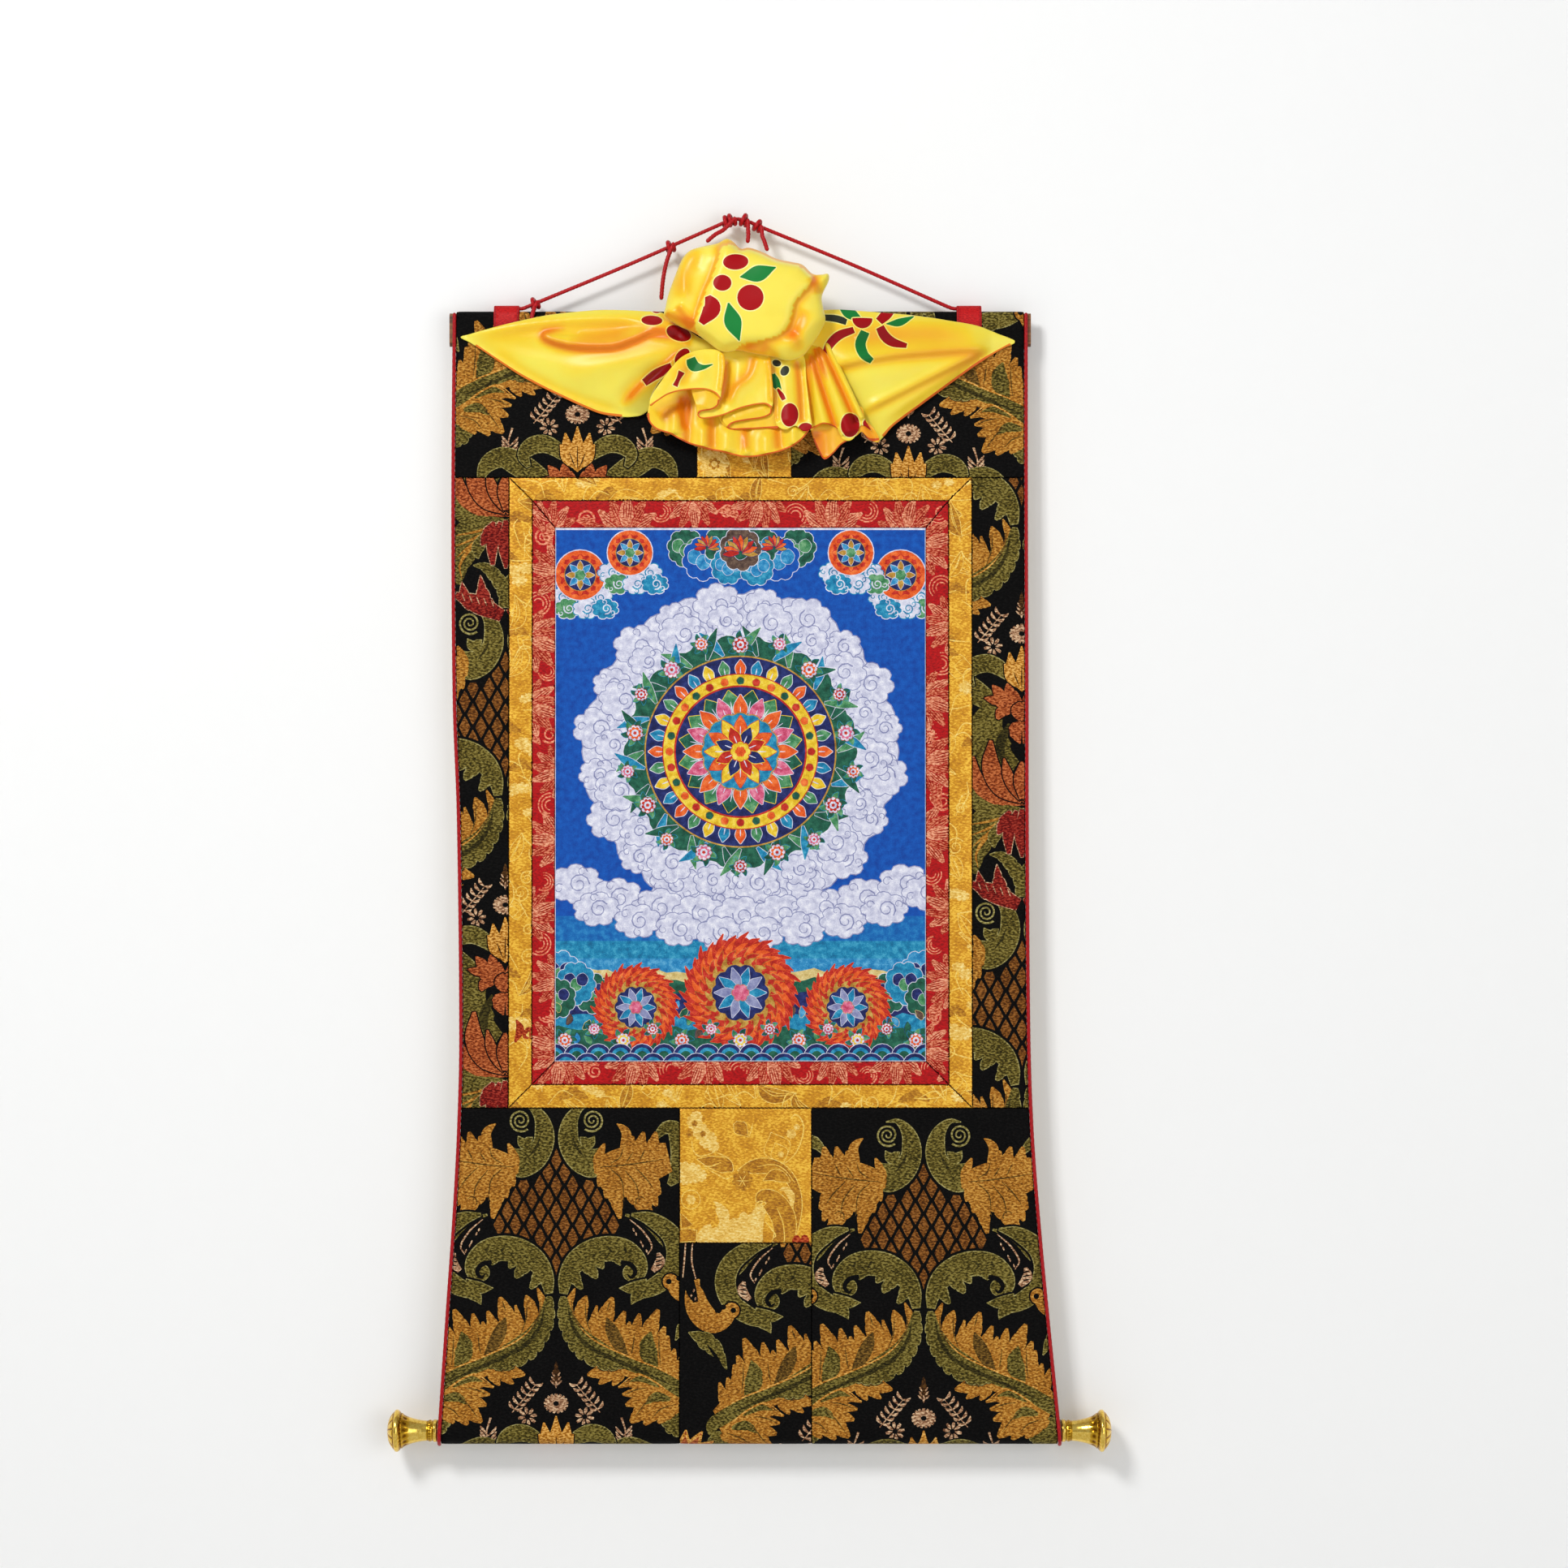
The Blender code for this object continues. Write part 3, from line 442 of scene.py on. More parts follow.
class Yarn(Enum):
    """Yarns of the dark damask-like brocade."""

    GROUND = JacquardYarn("black_satin_ground", "#020202", "#070606", "#100F0E", 0.75, 0.0, 0.2,
                          specular=0.08, relief=0.2)
    # painted shade of the seam gap: a dark band along each piece's sewn edge
    SEAM = JacquardYarn("sewn_edge_shadow", "#020202", "#060505", "#0C0A09", 0.9, 0.0, 0.2, specular=0.02)
    NET = JacquardYarn("brown_floss_lattice", "#442208", "#6E4010", "#96602A")
    OLIVE = JacquardYarn("olive_floss_scroll", "#2C2708", "#594C18", "#8A7C3C")
    MOSS = JacquardYarn("moss_floss_shadow", "#191604", "#312A0B", "#4B431A")
    RIM = JacquardYarn("pale_green_rim", "#5E5624", "#857A40", "#AAA066")
    OCHRE = JacquardYarn("ochre_floss_leaf", "#6C4210", "#A96C20", "#D29E48", contrast=0.17)
    BARK = JacquardYarn("bark_floss_vein", "#261404", "#42260C", "#5E3E18")
    UMBER = JacquardYarn("umber_floss_shadow", "#38250A", "#5C4214", "#846228")
    AMBER = JacquardYarn("amber_floss_tulip", "#8A5210", "#C4842C", "#E8B460")
    RUST = JacquardYarn("rust_floss_petal", "#66240C", "#9E4A20", "#C87240")
    MADDER = JacquardYarn("madder_floss_petal", "#4C0608", "#7C140E", "#A4382A")
    CREAM = JacquardYarn("cream_floss_sprig", "#6E4830", "#AE8260", "#DEBE98")


class GoldYarn(Enum):
    """Yarns of the gold brocade."""

    # the strong slow clouds of the gold yarns are painted sheen of the satin
    GROUND = JacquardYarn("gold_satin_ground", "#B4730C", "#DC9A1A", "#F8C440", 0.42, 0.05, 0.3, 1.6, 0.3,
                          0.4, 0.3, 0.7, 14.0)
    PALE = JacquardYarn("gold_pale_weft", "#D29C34", "#EEC258", "#FCE496", 0.46, 0.05, 0.22, 1.6, 0.15, 0.4,
                        0.35, 0.5, 9.0)
    LINE = JacquardYarn("gold_bright_outline", "#E0A838", "#F6CC58", "#FEE68C", 0.4, 0.05, 0.22, 1.4, 0.25,
                        0.4, 0.3)
    DEEP = JacquardYarn("gold_deep_weft", "#8E560A", "#B87A14", "#D8A02C", 0.5, 0.05, 0.22, 1.6, 0.2, 0.3,
                        0.35, 0.6, 9.0)
    RED = JacquardYarn("gold_red_mark", "#7A1C0A", "#A43214", "#C45A30")
    # painted shade of the seam gap: a dark band along each piece's sewn edge
    SEAM = JacquardYarn("gold_seam_painted_shade", "#2E1804", "#4A2A08", "#6A420E", 0.8, 0.0, 0.2)


class RedYarn(Enum):
    """Yarns of the crimson brocade."""

    GROUND = JacquardYarn("crimson_satin_ground", "#8C0006", "#AE0308", "#C40A10", 0.5, 0.05, 0.2, 1.6,
                          specular=0.2, relief=0.2)
    SALMON = JacquardYarn("salmon_stipple_weft", "#9A2414", "#C65E42", "#E48E6C", contrast=0.12)
    PEACH = JacquardYarn("peach_weft", "#B04C32", "#D87E5E", "#F2AE8A", contrast=0.14)
    LINE = JacquardYarn("coral_outline", "#C44C32", "#E07A5A", "#F4A684")
    HATCH = JacquardYarn("crimson_hatching", "#7C0A08", "#9C1812", "#B83424")
    # painted shade of the seam gap: a dark band along each piece's sewn edge
    SEAM = JacquardYarn("crimson_seam_painted_shade", "#2A0202", "#420405", "#5C0808", 0.8, 0.0, 0.2)


@dataclass(frozen=True)
class Pigment:
    """Mineral-bright pigment bound in size on primed cotton: matt, finely toothed and a little cloudy."""

    name: str
    shade: str
    hue: str
    tint: str
    roughness: float = 0.78

    def material(self) -> bpy.types.Material:
        """The pigment's material.

        Returns:
            The material.
        """
        made, shader = new_material(self.name)
        cut = add_node(made, "ShaderNodeUVMap", {"uv_map": "cut"})
        # brush clouds of a few millimetres, with a speckle of ground pigment grains drawn at 0.9 mm
        cloud = add_node(made, "ShaderNodeTexNoise", {"Scale": 1 / (5 * MM), "Detail": 3.0},
                         {"Vector": (cut, "UV")})
        grain = add_node(made, "ShaderNodeTexNoise", {"Scale": 1 / (0.9 * MM), "Detail": 1.0},
                         {"Vector": (cut, "UV")})
        shade = add_node(made, "ShaderNodeMath", {"operation": "MULTIPLY_ADD", "1": 0.45},
                         {"0": (grain, "Fac"), "2": (cloud, "Fac")})
        ramp = add_node(made, "ShaderNodeValToRGB", {}, {"Fac": (shade, "Value")},
                        ((0.5, self.shade), (0.72, self.hue), (0.95, self.tint)))
        # plain weave of the cotton, 1 mm for a real 0.5 mm
        weave = add_node(made, "ShaderNodeTexWave", {"Scale": 1 / (1.0 * MM) / 6.283, "bands_direction": "X",
                                                     "Distortion": 2.0}, {"Vector": (cut, "UV")})
        bump = add_node(made, "ShaderNodeBump", {"Strength": 0.12, "Distance": 0.2 * MM},
                        {"Height": (weave, "Fac")})
        coat(made, shader, ramp, bump)
        shader.inputs["Roughness"].default_value = self.roughness
        shader.inputs["Specular IOR Level"].default_value = 0.3
        return made


class Paint(Enum):
    """Pigments of the painted panel."""

    SKY = Pigment("ultramarine_sky", "#023E9A", "#034EAC", "#0A5ABA")
    AZURE = Pigment("azure_wash", "#0452A0", "#0C68B2", "#2A86C4")
    DUSK = Pigment("horizon_azure", "#0E6AA6", "#2A8AC0", "#66B2D8")
    BUFF = Pigment("horizon_buff", "#B89A50", "#D8C07C", "#ECDCA8")
    NAVY = Pigment("indigo", "#0E1240", "#1A2460", "#2C3A7C")
    TEAL = Pigment("azurite_turquoise", "#08628E", "#1684B0", "#48AACA")
    GREEN = Pigment("malachite_green", "#26683E", "#458A5A", "#7CB080")
    LEAF = Pigment("dark_leaf_green", "#0C3E2C", "#185844", "#2E7458")
    CLOUD = Pigment("shell_white_cloud", "#B4B6D0", "#D2D3E6", "#F0F0F8")
    LILAC = Pigment("lilac_shadow", "#6E72A0", "#8A8EB6", "#A8ACCC")
    YELLOW = Pigment("orpiment_yellow", "#D09E10", "#EAC42A", "#F8E060")
    ORANGE = Pigment("red_lead_orange", "#C83E10", "#E65C1E", "#F48442")
    RED = Pigment("vermilion", "#96160E", "#BE2418", "#D84632")
    PINK = Pigment("cochineal_pink", "#B83458", "#D86084", "#ECA0B4")
    GOLD = Pigment("shell_gold", "#946418", "#B88830", "#D8B25C", 0.5)
    EARTH = Pigment("earth_brown", "#3A2A26", "#5A443A", "#7E6654")


@dataclass(frozen=True)
class ReverseCloth:
    """Plain cotton backing pasted behind a brocade: matt, slubby, and stained a little by age and paste."""

    name: str
    shade: str
    tint: str

    def material(self) -> bpy.types.Material:
        """The backing's material.

        Returns:
            The material.
        """
        made, shader = new_material(self.name)
        cut = add_node(made, "ShaderNodeUVMap", {"uv_map": "cut"})
        slub = add_node(made, "ShaderNodeMapping", {"Scale": (60.0, 900.0, 1.0)}, {"Vector": (cut, "UV")})
        thread = add_node(made, "ShaderNodeTexNoise", {"Scale": 1.0, "Detail": 2.0},
                          {"Vector": (slub, "Vector")})
        stain = add_node(made, "ShaderNodeTexNoise", {"Scale": 1 / (60 * MM), "Detail": 4.0},
                         {"Vector": (cut, "UV")})
        shade = add_node(made, "ShaderNodeMath", {"operation": "MULTIPLY_ADD", "1": 0.35},
                         {"0": (stain, "Fac"), "2": (thread, "Fac")})
        ramp = add_node(made, "ShaderNodeValToRGB", {}, {"Fac": (shade, "Value")},
                        ((0.5, self.shade), (0.84, self.tint)))
        bump = add_node(made, "ShaderNodeBump", {"Strength": 0.3, "Distance": 0.3 * MM},
                        {"Height": (thread, "Fac")})
        coat(made, shader, ramp, bump)
        shader.inputs["Roughness"].default_value = 0.9
        shader.inputs["Specular IOR Level"].default_value = 0.2
        return made


@dataclass(frozen=True)
class PliedSilk:
    """Hard-twisted or satin-faced silk cord and ribbon: each thread glints along its length."""

    name: str
    shade: str
    hue: str
    tint: str
    roughness: float = 0.42

    def material(self) -> bpy.types.Material:
        """The silk's material.

        Returns:
            The material.
        """
        made, shader = new_material(self.name)
        cut = add_node(made, "ShaderNodeUVMap", {"uv_map": "cut"})
        # single threads, 0.5 mm for a real 0.25 mm, lying along the piece
        lay = add_node(made, "ShaderNodeMapping", {"Scale": (500.0, 2000.0, 1.0)}, {"Vector": (cut, "UV")})
        thread = add_node(made, "ShaderNodeTexNoise", {"Scale": 1.0, "Detail": 2.0},
                          {"Vector": (lay, "Vector")})
        ramp = add_node(made, "ShaderNodeValToRGB", {}, {"Fac": (thread, "Fac")},
                        ((0.32, self.shade), (0.5, self.hue), (0.7, self.tint)))
        bump = add_node(made, "ShaderNodeBump", {"Strength": 0.35, "Distance": 0.2 * MM},
                        {"Height": (thread, "Fac")})
        coat(made, shader, ramp, bump)
        shader.inputs["Roughness"].default_value = self.roughness
        shader.inputs["Specular IOR Level"].default_value = 0.25
        shader.inputs["Sheen Weight"].default_value = 0.06
        shader.inputs["Sheen Roughness"].default_value = 0.4
        return made


@dataclass(frozen=True)
class VeilSilk:
    """Lightweight silk satin, dyed in the piece: it glows where light comes through.

    Painted shade deepens it to orange where folds throw colour back on each other; `fold` holds how much.
    """

    name: str
    light: str
    hue: str
    deep: str
    roughness: float = 0.36
    through: float = 0.28
    sheen: float = 0.2
    specular: float = 0.4

    def material(self) -> bpy.types.Material:
        """The silk's material.

        Returns:
            The material.
        """
        made, shader = new_material(self.name)
        # painted shade: the fold attribute deepens the colour towards orange in creases and inner layers
        fold = add_node(made, "ShaderNodeAttribute", {"attribute_name": "fold"})
        space = add_node(made, "ShaderNodeTexCoord")
        cloud = add_node(made, "ShaderNodeTexNoise", {"Scale": 1 / (30 * MM), "Detail": 2.0},
                         {"Vector": (space, "Object")})
        shade = add_node(made, "ShaderNodeMath", {"operation": "MULTIPLY_ADD", "1": 0.16},
                         {"0": (cloud, "Fac"), "2": (fold, "Fac")})
        ramp = add_node(made, "ShaderNodeValToRGB", {}, {"Fac": (shade, "Value")},
                        ((0.02, self.light), (0.3, self.hue), (0.95, self.deep)))
        # satin floats: fine grain, 0.8 mm for a real 0.2 mm
        grain = add_node(made, "ShaderNodeTexNoise", {"Scale": 1 / (0.8 * MM), "Detail": 1.0},
                         {"Vector": (space, "Object")})
        bump = add_node(made, "ShaderNodeBump", {"Strength": 0.08, "Distance": 0.2 * MM},
                        {"Height": (grain, "Fac")})
        coat(made, shader, ramp, bump)
        shader.inputs["Roughness"].default_value = self.roughness
        shader.inputs["Specular IOR Level"].default_value = self.specular
        shader.inputs["Sheen Weight"].default_value = self.sheen
        shader.inputs["Sheen Roughness"].default_value = 0.35
        shader.inputs["Subsurface Weight"].default_value = self.through
        shader.inputs["Subsurface Radius"].default_value = (1.0, 0.6, 0.15)
        shader.inputs["Subsurface Scale"].default_value = 4 * MM
        return made


class Silk(Enum):
    """Dyed silks of the veil, and the dyes printed on it."""

    BODY = VeilSilk("yellow_satin_silk", "#FFF262", "#FFD228", "#F48404")
    HALO = VeilSilk("pale_resist_halo", "#FFF7B0", "#FCEB78", "#F2C648")
    HEM = VeilSilk("orange_overcast_hem", "#F88C18", "#E2640E", "#BE4008", 0.5, 0.12, 0.05)
    BERRY = VeilSilk("crimson_discharge_print", "#B2000C", "#9C000A", "#7C0006", 0.45, 0.06, 0.0, 0.2)
    LEAF = VeilSilk("green_discharge_print", "#168A3C", "#107632", "#0C5A24", 0.45, 0.06, 0.0, 0.2)
    DUSK = VeilSilk("dark_leaf_print", "#3A4030", "#2C3024", "#1C2018", 0.45, 0.06, 0.0, 0.2)


@dataclass(frozen=True)
class TurnedBrass:
    """Cast brass, turned and lacquered: warm mirror-like highlights, dark grooves where polish stays."""

    name: str = "lacquered_brass_casting"
    shade: str = "#7A4E0C"
    hue: str = "#D9A82E"
    tint: str = "#FFE27A"

    def material(self) -> bpy.types.Material:
        """The brass's material.

        Returns:
            The material.
        """
        made, shader = new_material(self.name)
        groove = add_node(made, "ShaderNodeAttribute", {"attribute_name": "groove"})
        space = add_node(made, "ShaderNodeTexCoord")
        tool = add_node(made, "ShaderNodeTexNoise", {"Scale": 1 / (1.5 * MM), "Detail": 3.0},
                        {"Vector": (space, "Object")})
        shade = add_node(made, "ShaderNodeMath", {"operation": "MULTIPLY_ADD", "1": 0.25},
                         {"0": (tool, "Fac"), "2": (groove, "Fac")})
        ramp = add_node(made, "ShaderNodeValToRGB", {}, {"Fac": (shade, "Value")},
                        ((0.05, self.tint), (0.2, self.hue), (0.9, self.shade)))
        bump = add_node(made, "ShaderNodeBump", {"Strength": 0.12, "Distance": 0.2 * MM},
                        {"Height": (tool, "Fac")})
        rough = add_node(made, "ShaderNodeMapRange", {"To Min": 0.16, "To Max": 0.4},
                         {"Value": (shade, "Value")})
        coat(made, shader, ramp, bump)
        made.node_tree.links.new(rough.outputs["Result"], shader.inputs["Roughness"])
        shader.inputs["Metallic"].default_value = 1.0
        return made


@dataclass(frozen=True)
class PlanedSoftwood:
    """Planed and stained softwood: straight grain along the length, 2 mm between its lines, hand-rubbed."""

    name: str = "planed_stained_pine"
    shade: str = "#4A2A14"
    hue: str = "#7C4E2A"
    tint: str = "#A3713F"

    def material(self) -> bpy.types.Material:
        """The wood's material.

        Returns:
            The material.
        """
        made, shader = new_material(self.name)
        space = add_node(made, "ShaderNodeTexCoord")
        grain_way = add_node(made, "ShaderNodeMapping", {"Scale": (12.0, 480.0, 480.0)},
                             {"Vector": (space, "Object")})
        grain = add_node(made, "ShaderNodeTexNoise", {"Scale": 1.0, "Detail": 4.0, "Distortion": 0.4},
                         {"Vector": (grain_way, "Vector")})
        ramp = add_node(made, "ShaderNodeValToRGB", {}, {"Fac": (grain, "Fac")},
                        ((0.3, self.shade), (0.5, self.hue), (0.72, self.tint)))
        bump = add_node(made, "ShaderNodeBump", {"Strength": 0.25, "Distance": 0.3 * MM},
                        {"Height": (grain, "Fac")})
        coat(made, shader, ramp, bump)
        shader.inputs["Roughness"].default_value = 0.55
        return made


class Dressing:
    """Keeps one made material for each finish."""

    def __init__(self) -> None:
        """Starts with no material made."""
        self.made: dict[str, bpy.types.Material] = {}

    def of(self, finish: Enum | JacquardYarn | ReverseCloth | PliedSilk | TurnedBrass | PlanedSoftwood
           ) -> bpy.types.Material:
        """The material of a finish.

        Args:
            finish: A finish, or an Enum member that holds one.

        Returns:
            Its material, made the first time that it is asked for.
        """
        plain = finish.value if isinstance(finish, Enum) else finish
        if plain.name not in self.made:
            self.made[plain.name] = plain.material()
        return self.made[plain.name]


DRESSING = Dressing()
COTTON = ReverseCloth("unbleached_cotton_backing", "#A89878", "#D2C4A4")
CORD_SILK = PliedSilk("crimson_plied_cord", "#860008", "#B40410", "#D2222A")
PIPING_SILK = PliedSilk("red_silk_piping", "#800008", "#AA0410", "#C61A22")
STRAP_SILK = PliedSilk("red_ribbon_silk", "#980008", "#C2040C", "#D8221E", 0.5)
BRASS = TurnedBrass()
PINE = PlanedSoftwood()


# ---------------------------------------------------------------- cutting and sewing


@dataclass(frozen=True)
class Figure:
    """One figure of a cloth: its outline in millimetres and what fills it."""

    outline: np.ndarray
    fill: Enum


@dataclass
class Cut:
    """A piece cut from figured cloth, as it lies flat on the table.

    Args:
        outline: The ring of its edge, in millimetres.
        ground: What its plain parts are woven with.
        figures: Its figures, the lowest first.
        step: Distance between the mesh's points inside the piece.
        rows: Heights at which the mesh has a line from side to side, where the cloth bends sharply.
        edge_step: Distance between the points along the edge.
        rings: Distances from the edge at which it has more points.
        seam: Painted shade of the seam gap, a dark band along the edge, or None.
        seam_shade_width: Width of that band of painted shade.
    """

    outline: np.ndarray
    ground: Enum
    figures: list[Figure] = field(default_factory=list)
    step: float = 7.0
    rows: tuple[float, ...] = ()
    edge_step: float = 3.0
    rings: tuple[float, ...] = (0.35, 0.8, 2.4)
    seam: Enum | None = None
    seam_shade_width: float = 0.6

    def __post_init__(self) -> None:
        """Turns the outline anticlockwise and spaces its points, keeping its corners."""
        ring = self.outline if signed_area(self.outline) > 0 else self.outline[::-1]
        parts = [evenly(np.array([a, b]), self.edge_step)[:-1]
                 for a, b in zip(ring, np.roll(ring, -1, axis=0))
                 if np.linalg.norm(a - b) > 1e-6]
        self.outline = np.vstack(parts)

    def edge_distance(self, spots: np.ndarray) -> tuple[np.ndarray, np.ndarray]:
        """How far spots are from the edge, and how far round it the nearest place is.

        Args:
            spots: Points in the plane of the cut.

        Returns:
            The distances, and the lengths along the edge.
        """
        starts, ends = self.outline, np.roll(self.outline, -1, axis=0)
        way = ends - starts
        length = np.maximum(np.linalg.norm(way, axis=1), 1e-9)
        begin = np.concatenate([[0.0], np.cumsum(length)[:-1]])
        distance, around = np.empty(len(spots)), np.empty(len(spots))
        for k in range(0, len(spots), 2000):
            part = spots[k:k + 2000, None, :] - starts[None]
            share = np.clip((part * way).sum(axis=2) / length**2, 0.0, 1.0)
            away = np.linalg.norm(part - way * share[..., None], axis=2)
            best = away.argmin(axis=1)
            rows = np.arange(len(best))
            distance[k:k + 2000] = away[rows, best]
            around[k:k + 2000] = begin[best] + share[rows, best] * length[best]
        return distance, around

    def loose_spots(self) -> np.ndarray:
        """Points inside the piece, in rings beside its edge and then an even spread.

        Returns:
            Their x and height.
        """
        low, high = self.outline.min(axis=0), self.outline.max(axis=0)
        spread = []
        for i, z in enumerate(np.arange(low[1], high[1], self.step * 0.87)):
            xs = np.arange(low[0] + (i % 2) * self.step / 2, high[0], self.step)
            spread.append(np.stack([xs, np.full(len(xs), z)], axis=1))
        spots = np.vstack(spread)
        if self.rows:
            spots = spots[np.abs(spots[:, 1][:, None] - np.array(self.rows)[None]).min(axis=1)
                          > self.step * 0.4]
        spots = spots[within(self.outline, spots)]
        spots = spots[self.edge_distance(spots)[0] > max(self.rings, default=0.0) + self.step * 0.35]
        ringed = [swell(self.outline, -away) for away in self.rings]
        rings = np.vstack(ringed) if ringed else np.empty((0, 2))
        if len(rings):
            far = np.concatenate([np.full(len(self.outline), away) for away in self.rings])
            rings = rings[within(self.outline, rings) & (self.edge_distance(rings)[0] > far * 0.8)]
        return np.vstack([rings, spots])

    def triangles(self) -> tuple[np.ndarray, np.ndarray, list[Enum]]:
        """Cuts the piece into triangles whose sides follow every figure.

        Returns:
            The points, the triangles as rows of three point numbers, and what fills each triangle.
        """
        low, high = self.outline.min(axis=0), self.outline.max(axis=0)
        shown = [figure for figure in self.figures
                 if (figure.outline.max(axis=0) > low).all() and (figure.outline.min(axis=0) < high).all()]
        parts, edges, first = [], [], 0
        for ring in [self.outline, *(figure.outline for figure in shown)]:
            count = len(ring)
            parts.append(ring)
            edges += [(first + k, first + (k + 1) % count) for k in range(count)]
            first += count
        for z in self.rows:
            xs = np.linspace(low[0], high[0], max(2, round((high[0] - low[0]) / self.step)))
            edges += [(first + k, first + k + 1) for k in range(len(xs) - 1)]
            parts.append(np.stack([xs, np.full(len(xs), z)], axis=1))
            first += len(xs)
        parts.append(self.loose_spots())
        points = [Vector(spot) for spot in np.vstack(parts)]
        found = delaunay_2d_cdt(points, edges, [], 0, 1e-4, False)
        spots = np.array([tuple(spot) for spot in found[0]])
        corners = np.array(found[2])
        middles = spots[corners].mean(axis=1)
        corners = corners[within(self.outline, middles)]
        middles = spots[corners].mean(axis=1)
        order = np.zeros(len(corners), int)
        for k, figure in enumerate(shown):
            order[within(figure.outline, middles)] = k + 1
        fills = [self.ground, *(figure.fill for figure in shown)]
        # painted shade: the triangles next to the edge get the dark seam-gap colour
        if self.seam is not None:
            order[self.edge_distance(middles)[0] < self.seam_shade_width] = len(fills)
            fills.append(self.seam)
        used, numbered = np.unique(corners, return_inverse=True)
        return spots[used], numbered.reshape(-1, 3), [fills[k] for k in order]

    def lining(self, spots: np.ndarray, rim: Sequence[tuple[int, int, int]]
               ) -> tuple[np.ndarray, np.ndarray, dict[int, int]]:
        """The piece's plain back, which shares its edge with the front.

        Args:
            spots: The front's points.
            rim: The front's edge, as rows of two point numbers and a triangle.

        Returns:
            The back's points, its triangles, and the number there of each of the front's edge points.
        """
        edge = sorted({p for p, _, _ in rim})
        at = {p: k for k, p in enumerate(edge)}
        sides = [(at[p], at[q]) for p, q, _ in rim]
        parts, first = [spots[edge]], len(edge)
        for z in self.rows:
            xs = np.arange(self.outline[:, 0].min(), self.outline[:, 0].max(), self.step)
            row = np.stack([xs, np.full(len(xs), z)], axis=1)
            row = row[within(self.outline, row) & (self.edge_distance(row)[0] > 1.0)]
            sides += [(first + k, first + k + 1) for k in range(len(row) - 1)]
            parts.append(row)
            first += len(row)
        parts.append(self.loose_spots())
        found = delaunay_2d_cdt([Vector(spot) for spot in np.vstack(parts)], sides, [], 0, 1e-5, True)
        flat = np.array([tuple(spot) for spot in found[0]])
        number = {old: new for new, olds in enumerate(found[3]) for old in olds}
        corners = np.array(found[2])
        corners = corners[within(self.outline, flat[corners].mean(axis=1))]
        return flat, corners, {p: number[at[p]] for p in edge}


@dataclass(frozen=True)
class Sewing:
    """How a flat cut becomes a hung sheet with a thickness and soft edges.

    Args:
        thickness: The sheet's thickness.
        pucker: Height of the small waves that stitches draw along the edge.
        pucker_length: Length of one of them.
        dip: How far the front is drawn in at the edge by its seam.
    """

    thickness: float = 1.2
    pucker: float = 0.16
    pucker_length: float = 17.0
    dip: float = 0.0

    def sheet(self, name: str, cut: Cut, place: Place, reverse: Enum | ReverseCloth | None,
              tint: Callable[[np.ndarray], np.ndarray] | None = None) -> bpy.types.Object:
        """Makes a closed sheet of a cut.

        Args:
            name: The new object's name.
            cut: The cut.
            place: Gives the inner face's points for spots of the cut, and the way its outer face lies from
                them, or None for the way its own surface faces.
            reverse: The finish of its inner face, or None for the same as in front.
            tint: Gives how much painted fold shade each spot of the cut gets.

        Returns:
            The object.
        """
        spots, corners, fills = cut.triangles()
        rim = rim_of(corners)
        if reverse is None:
            behind, flat, numbers = corners, spots, {p: p for p, _, _ in rim}
        else:
            flat, behind, numbers = cut.lining(spots, rim)
        front = Skin(spots, self.face(cut, place, spots, corners, True), corners)
        back = Skin(flat, self.face(cut, place, flat, behind, False), behind)
        return closed_sheet(name, front, back, [(p, q, o, numbers[p], numbers[q]) for p, q, o in rim], fills,
                            reverse, None if tint is None else (tint(spots), tint(flat)))

    def face(self, cut: Cut, place: Place, spots: np.ndarray, corners: np.ndarray, outer: bool) -> np.ndarray:
        """The points of one face of the hung sheet.

        Args:
            cut: The cut.
            place: Where its inner face hangs.
            spots: The face's flat points.
            corners: Its triangles.
            outer: Whether it is the outer face.

        Returns:
            The points.
        """
        inner, out = place(spots)
        if out is None:
            out = facing(inner, corners)
        away, around = cut.edge_distance(spots)
        radius = self.thickness * 0.44
        near = np.clip(radius - away, 0.0, None)
        draw = radius - np.sqrt(np.clip(radius**2 - near**2, 0.0, None))
        wave = self.pucker * np.exp(-away / 7.0) * np.sin(around / self.pucker_length * 2 * math.pi)
        wave -= self.dip * np.exp(-away / 1.6)
        return inner + out * ((self.thickness - draw if outer else draw) + wave)[:, None]


def facing(points: np.ndarray, corners: np.ndarray) -> np.ndarray:
    """The way a surface faces at each point, always towards -Y.

    Args:
        points: The surface's points.
        corners: Its triangles.

    Returns:
        A unit vector for each point.
    """
    a, b, c = (points[corners[:, k]] for k in range(3))
    across = np.cross(b - a, c - a)
    total = np.zeros_like(points)
    for k in range(3):
        np.add.at(total, corners[:, k], across)
    total /= np.maximum(np.linalg.norm(total, axis=1, keepdims=True), 1e-12)
    return total * (-1.0 if total[:, 1].mean() > 0 else 1.0)


@dataclass(frozen=True)
class Skin:
    """One face of a sheet: its flat places, its hung points and its triangles."""

    spots: np.ndarray
    points: np.ndarray
    corners: np.ndarray


def rim_of(corners: np.ndarray) -> list[tuple[int, int, int]]:
    """The edge of a face.

    Args:
        corners: The face's triangles.

    Returns:
        Rows of the two points of each side that only one triangle has, and that triangle.
    """
    sides = np.concatenate([corners[:, [0, 1]], corners[:, [1, 2]], corners[:, [2, 0]]])
    owner = np.tile(np.arange(len(corners)), 3)
    keys = {(int(p), int(q)): int(o) for (p, q), o in zip(sides, owner)}
    return [(p, q, o) for (p, q), o in keys.items() if (q, p) not in keys]


